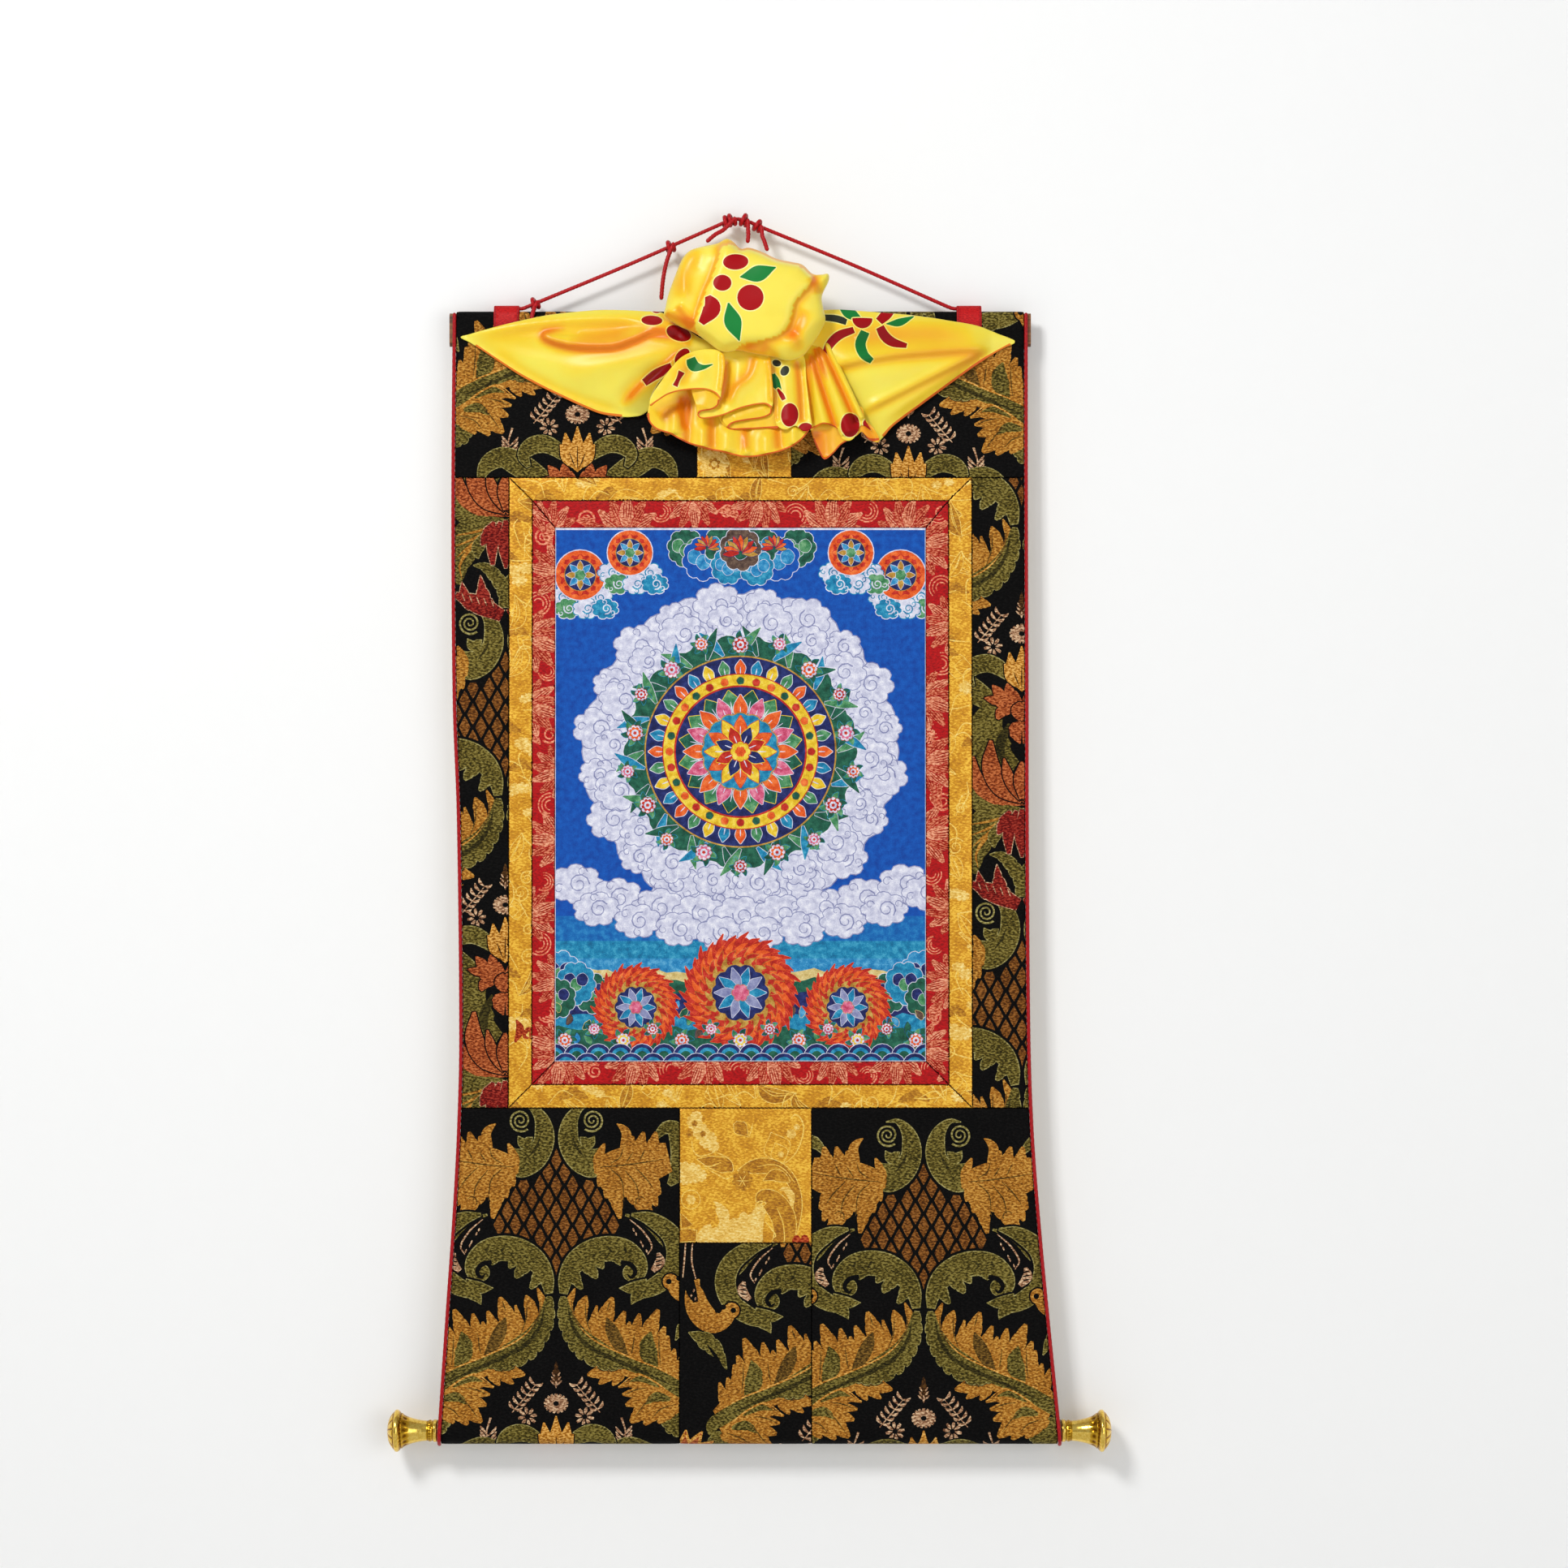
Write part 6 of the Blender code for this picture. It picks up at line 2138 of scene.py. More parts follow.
        d.put(GoldYarn.DEEP, blade(paper((60, 1385), (160, 1380), (255, 1385)), [5.5, 5.5, 4.5], count=8),
              0.6)
        for x, y in ((1320, 1430), (1405, 1425)):
            spot = paper((x, y))[0]
            d.put(GoldYarn.RED, bloom(spot, 3.9, 3, 0.2, 90))
        cut = Cut(ring, GoldYarn.GROUND, d.figures, 5.0, seam=GoldYarn.SEAM)
        piece = Sewing(HANG.cloth, dip=0.3).sheet("gold_brocade_door", cut, HANG.flat(), COTTON)
        finish_sheet(piece, "gold_door", "gold_brocade", *ring_flat(ring))
        return piece

    def tab(self) -> bpy.types.Object:
        """The short gold tab under the veil.

        Returns:
            The tab.
        """
        left, right, top = SEAMS.tab
        ring = rectangle(left, right, top, SEAMS.gold[2])
        drawing = self.scattered(ring, 23)
        drawing.blossom(left + 14, SEAMS.gold[2] + 11, 12.0)
        drawing.leaf(right - 30, SEAMS.gold[2] + 6, 60, 30)
        drawing.leaf(right - 8, SEAMS.gold[2] + 30, 220, 24, -0.3)
        cut = Cut(ring, GoldYarn.GROUND, drawing.figures, 5.0, seam=GoldYarn.SEAM)
        piece = Sewing(HANG.cloth).sheet("gold_brocade_tab", cut, HANG.flat(HANG.cloth + HANG.gap), COTTON)
        finish_sheet(piece, "gold_tab", "gold_brocade", *ring_flat(ring))
        return piece


def mitred(outer: tuple[float, float, float, float], inner: tuple[float, float, float, float], side: str
           ) -> np.ndarray:
    """The ring of one mitred band between two rectangles.

    Args:
        outer: Left, right, top and bottom of the outer rectangle.
        inner: The same of the inner one.
        side: Which band: top, bottom, left or right.

    Returns:
        Its four corners.
    """
    g = HANG.seam / 2
    m = g * math.sqrt(2)
    (ol, o_r, ot, ob), (il, ir, it, ib) = outer, inner
    corners = {
        "top": ((ol + g + m, ot - g), (o_r - g - m, ot - g), (ir - m, it + g), (il + m, it + g)),
        "bottom": ((il + m, ib - g), (ir - m, ib - g), (o_r - g - m, ob + g), (ol + g + m, ob + g)),
        "left": ((ol + g, ot - g - m), (il - g, it - m), (il - g, ib + m), (ol + g, ob + g + m)),
        "right": ((ir + g, it - m), (o_r - g, ot - g - m), (o_r - g, ob + g + m), (ir + g, ib + m)),
    }
    return np.array(corners[side])


def ring_flat(ring: np.ndarray) -> tuple[Spot, str, float]:
    """A cut's width and length, how it is held, and its area in square metres."""
    size = ring.max(axis=0) - ring.min(axis=0)
    return (float(size[0]), float(size[1])), "stretched", abs(signed_area(ring)) * MM * MM


@dataclass
class RedBands:
    """The crimson brocade bands next to the picture, which show slices of large hatched lotuses.

    Args:
        seed: Number that the order of figures along the bands comes from.
        pitch: Distance between one lotus and the next.
    """

    seed: int = 11
    pitch: float = 56.0

    def build(self) -> list[bpy.types.Object]:
        """Cuts and hangs the four bands.

        Returns:
            The four bands.
        """
        pieces = []
        for side in ("top", "bottom", "left", "right"):
            ring = mitred(SEAMS.red, SEAMS.picture, side)
            cut = Cut(ring, RedYarn.GROUND, self.figures(ring, self.seed + ord(side[0])), 5.0,
                      seam=RedYarn.SEAM)
            piece = Sewing(HANG.cloth, dip=0.3).sheet(f"red_brocade_{side}", cut, HANG.flat(), COTTON)
            finish_sheet(piece, f"red_band_{side}", "red_brocade", *ring_flat(ring))
            pieces.append(piece)
        return pieces

    def figures(self, ring: np.ndarray, seed: int) -> list[Figure]:
        """The part of the repeat that a band shows.

        Args:
            ring: The band's outline.
            seed: Number that the order comes from.

        Returns:
            The figures.
        """
        low, high = ring.min(axis=0), ring.max(axis=0)
        long_x = high[0] - low[0] > high[1] - low[1]
        way = 0.0 if long_x else 90.0
        rng = np.random.default_rng(seed)
        found: list[Figure] = []

        def spot(along: float, aside: float) -> Spot:
            """A place along the band and across it."""
            return (low[0] + along, low[1] + aside) if long_x else (low[0] + aside, low[1] + along)

        at = float(rng.uniform(14, 30))
        while at < max(high - low) + 10:
            inner = rng.random() < 0.5
            found += self.lotus(spot(at, -4.0 if inner else 24.0), float(rng.uniform(25, 31)),
                                way + (90.0 if inner == long_x else 270.0) + float(rng.uniform(-25, 25)))
            eye = spot(at + self.pitch * 0.5, float(rng.uniform(4, 15)))
            size = float(rng.uniform(7, 10))
            turn = float(rng.uniform(0, 360))
            if rng.random() < 0.5:
                found += self.crescents(eye, size, turn)
            else:
                found += self.curled_leaf(spot(at + self.pitch * 0.36, float(rng.uniform(2, 16))), size * 2.6,
                                          way + float(rng.uniform(-40, 40)))
                found.append(Figure(coil(eye, size * 0.8, size * 0.2, turn, 1.6, 0.9, 0.5), RedYarn.LINE))
            at += self.pitch * float(rng.uniform(0.86, 1.1))
        return found

    @staticmethod
    def lotus(heart: Spot, size: float, turn: float) -> list[Figure]:
        """A lotus of broad overlapping petals, each with a crimson line round it and hatching along it.

        Args:
            heart: Its heart.
            size: Length of its petals.
            turn: The way it faces, in degrees.

        Returns:
            Its figures.
        """
        found = []
        for k, reach in ((-3, 0.86), (3, 0.86), (-2, 0.94), (2, 0.94), (-1, 1.0), (1, 1.0), (0, 1.04)):
            a = math.radians(turn + 27 * k)
            c, s = math.cos(a) * size * reach, math.sin(a) * size * reach

            def place(along: float, aside: float) -> Spot:
                """A place on the petal, in shares of its length."""
                return heart[0] + c * along - s * aside, heart[1] + s * along + c * aside

            petal = blade([place(0.1, 0), place(0.55, 0.03), place(1.0, 0)],
                          [0.05 * size, 0.2 * size, 0.15 * size, 1.2], 4, 0.14)
            found += [Figure(swell(petal, 0.6), RedYarn.GROUND),
                      Figure(petal, RedYarn.SALMON if k % 2 else RedYarn.PEACH)]
            for aside in (-0.1, -0.04, 0.03, 0.1):
                hatch = blade([place(0.35, aside * 0.7), place(0.6, aside), place(0.84, aside * 0.8)],
                              [0.15, 0.42, 0.15], count=6)
                found.append(Figure(hatch, RedYarn.HATCH))
        return found

    @staticmethod
    def crescents(eye: Spot, size: float, turn: float) -> list[Figure]:
        """Coral crescents inside each other.

        Args:
            eye: Their middle.
            size: Radius of the outermost.
            turn: The way they open, in degrees.

        Returns:
            The figures.
        """
        return [Figure(coil(eye, size * share, size * share, turn + 20 * k, 0.62 - 0.06 * k, 0.7, 0.4, 20),
                       RedYarn.LINE)
                for k, share in enumerate((1.0, 0.72, 0.42))]

    @staticmethod
    def curled_leaf(root: Spot, size: float, turn: float) -> list[Figure]:
        """A curled leaf with a coral rim.

        Args:
            root: Its root.
            size: Its length.
            turn: The way it points, in degrees.

        Returns:
            Its figures.
        """
        c, s = math.cos(math.radians(turn)), math.sin(math.radians(turn))
        spine = [(root[0] + size * (a * c - b * s), root[1] + size * (a * s + b * c))
                 for a, b in ((0, 0), (0.35, 0.2), (0.72, 0.16), (1.0, -0.1))]
        ring = blade(spine, [0.6, size * 0.2, size * 0.17, 0.6], 4, 0.2)
        return [Figure(ring, RedYarn.LINE), Figure(swell(ring, -0.7), RedYarn.SALMON)]


class PaintedPanel:
    """The painted cotton panel: a flower wheel in a wreath and a ring of clouds, over hills and lotuses.

    Its design is a general one in the colours and scale that such paintings have.
    """

    middle: Spot = (2.3, -428.0)
    margin: float = 1.1

    def __init__(self) -> None:
        """Starts with nothing painted."""
        self.figures: list[Figure] = []

    def put(self, paint: Paint, ring: np.ndarray, line: Paint | None = None, width: float = 0.5) -> None:
        """Paints a shape, with a line round it where one is given.

        Args:
            paint: What fills it.
            ring: Its outline.
            line: What the line round it is painted with.
            width: The line's width.
        """
        if line is not None:
            self.figures.append(Figure(swell(ring, width), line))
        self.figures.append(Figure(ring, paint))

    def build(self) -> bpy.types.Object:
        """Paints, cuts and hangs the panel.

        Returns:
            The panel.
        """
        left, right, top, bottom = SEAMS.picture
        ring = rectangle(*SEAMS.picture)
        self.horizon(left, right, bottom)
        self.crown(top)
        self.corners(left, right, top)
        self.clouds()
        self.wreath()
        self.wheel()
        self.shore(left, right, bottom)
        self.print_margin(left, right, top, bottom)
        cut = Cut(ring, Paint.SKY, self.figures, 9.0, rings=(0.35, 1.2))
        piece = Sewing(HANG.cloth, pucker=0.1).sheet("painted_panel", cut, HANG.flat(), COTTON)
        finish_sheet(piece, "picture", "painted_canvas", *ring_flat(ring))
        return piece

    def print_margin(self, left: float, right: float, top: float, bottom: float) -> None:
        """The unpainted white edge of the cotton.

        Args:
            left: The panel's left side.
            right: Its right side.
            top: Its upper edge.
            bottom: Its lower edge.
        """
        m = self.margin
        for a, b, c, d in ((left - 1, top - m - 0.6, right + 1, top + 1),
                           (left - 1, bottom - 1, right + 1, bottom + m * 0.6),
                           (left - 1, bottom, left + m * 0.5, top),
                           (right - m * 0.5, bottom, right + 1, top)):
            self.put(Paint.CLOUD, np.array([(a, b), (c, b), (c, d), (a, d)]))

    def cloud(self, x: float, z: float, size: float, turn: float = 0.0, squash: float = 0.8,
              paint: Paint = Paint.CLOUD, line: Paint = Paint.LILAC) -> None:
        """A cloud with scalloped edge and curls.

        Args:
            x: Its middle, across.
            z: Its middle's height.
            size: Its radius.
            turn: Angle of its first scallop, in degrees.
            squash: Its height as a share of its width.
            paint: Its colour.
            line: The colour of its outline and curls.
        """
        self.put(paint, bloom((x, z), size, 8, 0.17, turn, squash, 32), line, 0.8)
        self.put(line, coil((x + size * 0.1, z), size * 0.4, size * 0.1, turn, 1.4, 0.6, 0.35, 14))
        for k in range(2):
            a = math.radians(turn + 70 + 130 * k)
            eye = (x + size * 0.66 * math.cos(a), z + size * 0.66 * squash * math.sin(a))
            self.put(line, coil(eye, size * 0.2, size * 0.08, turn + 50 * k, 0.9, 0.45, 0.25, 7))

    def clouds(self) -> None:
        """The ring of clouds round the wreath and the cloud bank under it."""
        x, z = self.middle
        self.put(Paint.CLOUD, bloom(self.middle, 127.0, 26, 0.07, 0.0, 1.03, 130), Paint.LILAC, 0.9)
        for reach, size, count, start in ((116.0, 18.0, 20, 0.0), (103.0, 17.0, 18, 7.0)):
            for k in range(count):
                a = 2 * math.pi * (k + 0.5) / count + math.radians(start)
                self.cloud(x + reach * math.cos(a), z + reach * math.sin(a) * 1.03,
                           size * (0.85, 1.12)[k % 2], 37.0 * k, 0.86)
        for row, (height, size) in enumerate(((-560.0, 22.0), (-574.0, 19.0))):
            for k in range(9):
                a = k - 4 + 0.5 * row
                self.cloud(x + a * 33.0, height + 1.6 * a * a, size, 41.0 * k + 30 * row, 0.72)

    def petals(self, reach: float, inner: float, count: int, width: float, paints: Sequence[Paint],
               line: Paint = Paint.NAVY, turn: float = 0.0) -> None:
        """A round of petals about the wheel's middle.

        Args:
            reach: Radius of their tips.
            inner: Radius of their roots.
            count: How many there are.
            width: Their half width.
            paints: Their colours in turn.
            line: The colour of the line round each.
            turn: Angle of the first, in degrees.
        """
        x, z = self.middle
        for k in range(count):
            a = 2 * math.pi * k / count + math.radians(turn)
            c, s = math.cos(a), math.sin(a)
            spine = [(x + r * c, z + r * s) for r in (inner, (inner + reach) / 2, reach)]
            ring = blade(spine, [width * 0.7, width, 0.3], count=8)
            self.put(paints[k % len(paints)], ring, line, 0.5)
            self.put(Paint.CLOUD, blade([spine[0], spine[1]], [0.2, 0.45, 0.2], count=4))

    def wheel(self) -> None:
        """The flower wheel: rings of petals in navy, yellow, green, pink and orange."""
        centre = self.middle
        self.put(Paint.NAVY, bloom(centre, 76.0, count=72), Paint.GOLD, 1.2)
        self.petals(74.0, 62.0, 32, 4.2, (Paint.ORANGE, Paint.GREEN, Paint.YELLOW, Paint.TEAL), Paint.CLOUD)
        self.put(Paint.YELLOW, bloom(centre, 62.0, count=72), Paint.RED, 0.8)
        for k in range(28):
            a = 2 * math.pi * k / 28
            spot = ray(centre[0], centre[1], 57.0, a)
            self.put((Paint.RED, Paint.LEAF, Paint.ORANGE)[k % 3],
                     bloom(spot, 3.2, 5, 0.25, 15.0 * k, count=15), Paint.GOLD, 0.4)
        self.put(Paint.NAVY, bloom(centre, 52.0, count=64), Paint.RED, 1.4)
        self.petals(50.0, 32.0, 16, 7.0, (Paint.GREEN, Paint.LEAF), Paint.YELLOW, 11.25)
        self.petals(46.0, 26.0, 16, 5.6, (Paint.ORANGE, Paint.PINK), Paint.CLOUD)
        self.put(Paint.TEAL, bloom(centre, 31.0, 16, 0.08, count=80), Paint.GOLD, 0.9)
        self.petals(29.0, 12.0, 12, 4.8, (Paint.YELLOW, Paint.ORANGE), Paint.RED)
        self.petals(21.0, 6.0, 8, 4.6, (Paint.RED, Paint.NAVY), Paint.YELLOW, 22.5)
        self.put(Paint.YELLOW, bloom(centre, 8.0, 8, 0.15), Paint.RED, 0.7)
        self.put(Paint.ORANGE, bloom(centre, 4.4, 6, 0.2))

    def peony(self, x: float, z: float, size: float, turn: float, paint: Paint = Paint.PINK) -> None:
        """A peony with leaves behind it.

        Args:
            x: Its middle, across.
            z: Its middle's height.
            size: Its radius.
            turn: Angle of its first petal, in degrees.
            paint: Its colour.
        """
        for k in range(6):
            a = math.radians(turn + 60 * k)
            tip = ray(x, z, size * 1.75, a)
            mid = ray(x, z, size * 1.1, a + 0.15)
            self.put((Paint.LEAF, Paint.GREEN)[k % 2], blade([(x, z), mid, tip], [1.0, size * 0.36, 0.3],
                                                             count=7),
                     Paint.TEAL, 0.35)
        self.put(Paint.CLOUD, bloom((x, z), size, 9, 0.2, turn, count=36), Paint.RED, 0.4)
        self.put(paint, bloom((x, z), size * 0.8, 8, 0.25, turn + 15, count=32))
        self.put(Paint.CLOUD, bloom((x, z), size * 0.5, 7, 0.3, turn + 5, count=21))
        self.put(Paint.RED, bloom((x, z), size * 0.26, 5, 0.3, turn, count=10))

    def wreath(self) -> None:
        """Dark foliage round the wheel, with peonies in it."""
        x, z = self.middle
        self.put(Paint.LEAF, bloom(self.middle, 94.0, 26, 0.07, count=130), Paint.CLOUD, 0.8)
        for k in range(36):
            a = math.radians(10 * k)
            b = a + (0.16, -0.16)[k % 2]
            spots = [ray(x, z, r, w) for r, w in ((78.0, a), (90.0, (a + b) / 2), (101.0, b))]
            self.put((Paint.GREEN, Paint.TEAL, Paint.LEAF)[k % 3], blade(spots, [1.0, 3.6, 0.4], count=7),
                     Paint.CLOUD, 0.4)
        for k in range(18):
            a = math.radians(10 + 20 * k)
            reach = (86.0, 92.0)[k % 2]
            self.peony(*ray(x, z, reach, a), (6.4, 5.0)[k % 2], 23.0 * k,
                       (Paint.PINK, Paint.RED, Paint.ORANGE)[k % 3])

    def roundel(self, x: float, z: float, size: float) -> None:
        """A round flower in an orange glory.

        Args:
            x: Its middle, across.
            z: Its middle's height.
            size: Its radius.
        """
        self.put(Paint.ORANGE, bloom((x, z), size, count=28), Paint.CLOUD, 0.8)
        self.put(Paint.RED, bloom((x, z), size * 0.86, 16, 0.1, count=32))
        for k in range(12):
            a = 2 * math.pi * k / 12
            spots = [ray(x, z, size * r, a) for r in (0.5, 0.68, 0.84)]
            self.put(Paint.ORANGE, blade(spots, [0.4, size * 0.1, 0.2], count=5))
        self.put(Paint.NAVY, bloom((x, z), size * 0.62, count=24), Paint.GOLD, 0.6)
        for k in range(8):
            a = 2 * math.pi * k / 8
            spots = [ray(x, z, size * r, a) for r in (0.05, 0.34, 0.58)]
            self.put((Paint.GOLD, Paint.DUSK)[k % 2], blade(spots, [0.4, size * 0.12, 0.2], count=6),
                     Paint.CLOUD, 0.3)
        self.put(Paint.GREEN, bloom((x, z), size * 0.24, 7, 0.2, count=14), Paint.CLOUD, 0.35)

    def corners(self, left: float, right: float, top: float) -> None:
        """Roundels on turquoise clouds in the upper corners.

        Args:
            left: The panel's left side.
            right: Its right side.
            top: Its upper edge.
        """
        for side, x0 in ((1, left), (-1, right)):
            for dx, dz, size in ((20.0, -38.0, 20.0), (60.0, -20.0, 18.0)):
                x, z = x0 + side * dx, top + dz
                for k in range(6):
                    self.cloud(x + side * (k % 3 - 1) * 15.0 + 5 * (k // 3), z - size * 0.9 - (k // 3) * 9,
                               11.0, 51.0 * k, 0.75, (Paint.CLOUD, Paint.TEAL, Paint.CLOUD,
                                                      Paint.GREEN)[k % 4],
                               (Paint.TEAL, Paint.CLOUD)[k % 2])
                self.roundel(x, z, size)

    def crown(self, top: float) -> None:
        """Blue and green hills with open lotuses, along the middle of the upper edge.

        Args:
            top: The panel's upper edge.
        """
        x0 = self.middle[0]
        for x, drop, reach, paints in ((-44, 16, 15, (Paint.LEAF, Paint.GREEN)),
                                       (46, 16, 15, (Paint.LEAF, Paint.GREEN)),
                                       (-30, 25, 17, (Paint.SKY, Paint.DUSK)),
                                       (31, 25, 17, (Paint.SKY, Paint.DUSK)),
                                       (-15, 14, 15, (Paint.LEAF, Paint.TEAL)),
                                       (16, 14, 15, (Paint.LEAF, Paint.TEAL)),
                                       (-10, 31, 14, (Paint.TEAL, Paint.DUSK)),
                                       (13, 32, 14, (Paint.TEAL, Paint.DUSK)),
                                       (0, 17, 17, (Paint.EARTH, Paint.LEAF))):
            spot = (x0 + x, top - drop)
            self.put(paints[0], bloom(spot, reach, 9, 0.12, 7.0 * x, 1.05, 36), Paint.CLOUD, 0.6)
            for k in range(3):
                peak = (spot[0] - reach * 0.4 + reach * 0.4 * k, spot[1] + reach * (0.1 - 0.25 * (k % 2)))
                self.put(paints[1], bloom(peak, reach * 0.34, 5, 0.16, 40.0 * k, 1.1, 15), Paint.CLOUD, 0.35)
        for dx, dz, size in ((0.0, -12.0, 14.0), (-27.0, -8.0, 10.0), (27.0, -8.0, 10.0)):
            for k in range(-4, 5):
                a = math.radians(90 + 24 * k)
                spots = [ray(x0 + dx, top + dz - 8, size * r, a) for r in (0.1, 0.6, 1.0)]
                self.put((Paint.ORANGE, Paint.RED, Paint.GOLD)[k % 3],
                         blade(spots, [0.8, size * 0.17, 0.4], count=6), Paint.NAVY, 0.4)

    def horizon(self, left: float, right: float, bottom: float) -> None:
        """The sky that pales to the horizon, the blue-green hills at the sides and the dark land.

        Args:
            left: The panel's left side.
            right: Its right side.
            bottom: Its lower edge.
        """
        for height, paint in ((-560.0, Paint.AZURE), (-580.0, Paint.TEAL), (-594.0, Paint.DUSK),
                              (-604.0, Paint.BUFF), (-611.0, Paint.LEAF), (-622.0, Paint.NAVY),
                              (-640.0, Paint.TEAL), (-650.0, Paint.LEAF)):
            xs = np.linspace(left - 5, right + 5, 40)
            wave = 1.6 * np.sin(xs / 7.0 + height) + 1.1 * np.sin(xs / 2.9)
            ridge = np.stack([xs, height + wave * (height < -600)], axis=1)
            self.put(paint, np.vstack([[(right + 5, bottom - 5), (left - 5, bottom - 5)], ridge])[::-1])
        for side, edge in ((1, left), (-1, right)):
            for dx, height, reach, paint in ((30, -622, 15, Paint.LEAF), (4, -606, 17, Paint.DUSK),
                                             (17, -614, 16, Paint.TEAL), (2, -626, 15, Paint.LEAF)):
                spot = (edge + side * dx, float(height))
                self.put(paint, bloom(spot, reach, 9, 0.13, 9.0 * dx, 1.1, 36), Paint.CLOUD, 0.55)
                for k in range(3):
                    peak = (spot[0] - 5 + 5 * k, spot[1] + 3 - 4 * (k % 2))
                    self.put((Paint.NAVY, Paint.GREEN)[k % 2],
                             bloom(peak, reach * 0.3, 5, 0.16, 40.0 * k, 1.1, 15), Paint.CLOUD, 0.3)

    def shore(self, left: float, right: float, bottom: float) -> None:
        """Fiery lotuses on a dark flowering shore, with waves along the foot.

        Args:
            left: The panel's left side.
            right: Its right side.
            bottom: Its lower edge.
        """
        x0 = self.middle[0]
        rng = np.random.default_rng(5)
        for k in range(46):
            px, pz = left + (right - left) * (k + 0.5) / 46, bottom + float(rng.uniform(12, 46))
            turn = float(rng.uniform(50, 130))
            tip = ray(px, pz, 9, math.radians(turn))
            self.put((Paint.GREEN, Paint.EARTH, Paint.DUSK, Paint.LEAF)[k % 4],
                     blade([(px, pz), ((px + tip[0]) / 2 + 1, (pz + tip[1]) / 2), tip], [0.8, 2.6, 0.3],
                           count=6),
                     Paint.BUFF if k % 3 == 0 else Paint.NAVY, 0.35)
        for x, size in ((x0 - 84.0, 34.0), (x0 + 86.0, 34.0), (x0, 46.0)):
            self.lotus_fire(x, bottom + size * 0.98 + 10, size)
        for k in range(13):
            px = left + 8 + (right - left - 16) * k / 12
            self.peony(px, bottom + 17 + 9 * (k % 2), (5.6, 4.4)[k % 2], 31.0 * k,
                       (Paint.ORANGE, Paint.PINK, Paint.YELLOW, Paint.RED)[k % 4])
        for row in range(2):
            for k in range(18):
                wx = left + (right - left) * (k + 0.5 * row) / 17
                for j, paint in enumerate((Paint.NAVY, Paint.TEAL, Paint.LEAF)):
                    self.put(paint, bloom((wx, bottom + 4 - 7.5 * row), 10.0 - 2.8 * j, count=16),
                             Paint.CLOUD if j == 0 else None, 0.5)

    def lotus_fire(self, x: float, z: float, size: float) -> None:
        """A round of flame-tipped petals about a blue lotus.

        Args:
            x: Its middle, across.
            z: Its middle's height.
            size: Its radius.
        """
        self.put(Paint.RED, bloom((x, z), size * 0.97, 30, 0.12, count=90))
        for reach, count, paint, line in ((1.0, 30, Paint.RED, Paint.ORANGE),
                                          (0.88, 26, Paint.ORANGE, Paint.RED),
                                          (0.74, 22, Paint.RED, Paint.GOLD),
                                          (0.62, 16, Paint.GOLD, Paint.RED)):
            for k in range(count):
                a = 2 * math.pi * k / count
                wave = a + 0.16
                spots = [ray(x, z, size * r, b)
                         for r, b in ((reach * 0.7, a), (reach * 0.86, wave),
                                      (reach * (1.0 + 0.07 * (k % 2)), a - 0.03))]
                self.put(paint, blade(spots, [size * 0.07, size * 0.065, 0.2], count=4), line, 0.3)
        self.put(Paint.NAVY, bloom((x, z), size * 0.5, 10, 0.1, count=40), Paint.GOLD, 0.7)
        for k in range(10):
            a = 2 * math.pi * k / 10
            ring = blade([(x, z), ray(x, z, size * 0.24, a), ray(x, z, size * 0.46, a)],
                         [0.4, size * 0.085, 0.2], count=6)
            self.put((Paint.TEAL, Paint.LILAC)[k % 2], ring, Paint.CLOUD, 0.35)
        self.put(Paint.PINK, bloom((x, z), size * 0.15, 6, 0.2), Paint.GOLD, 0.4)


# ---------------------------------------------------------------- cords, piping, straps


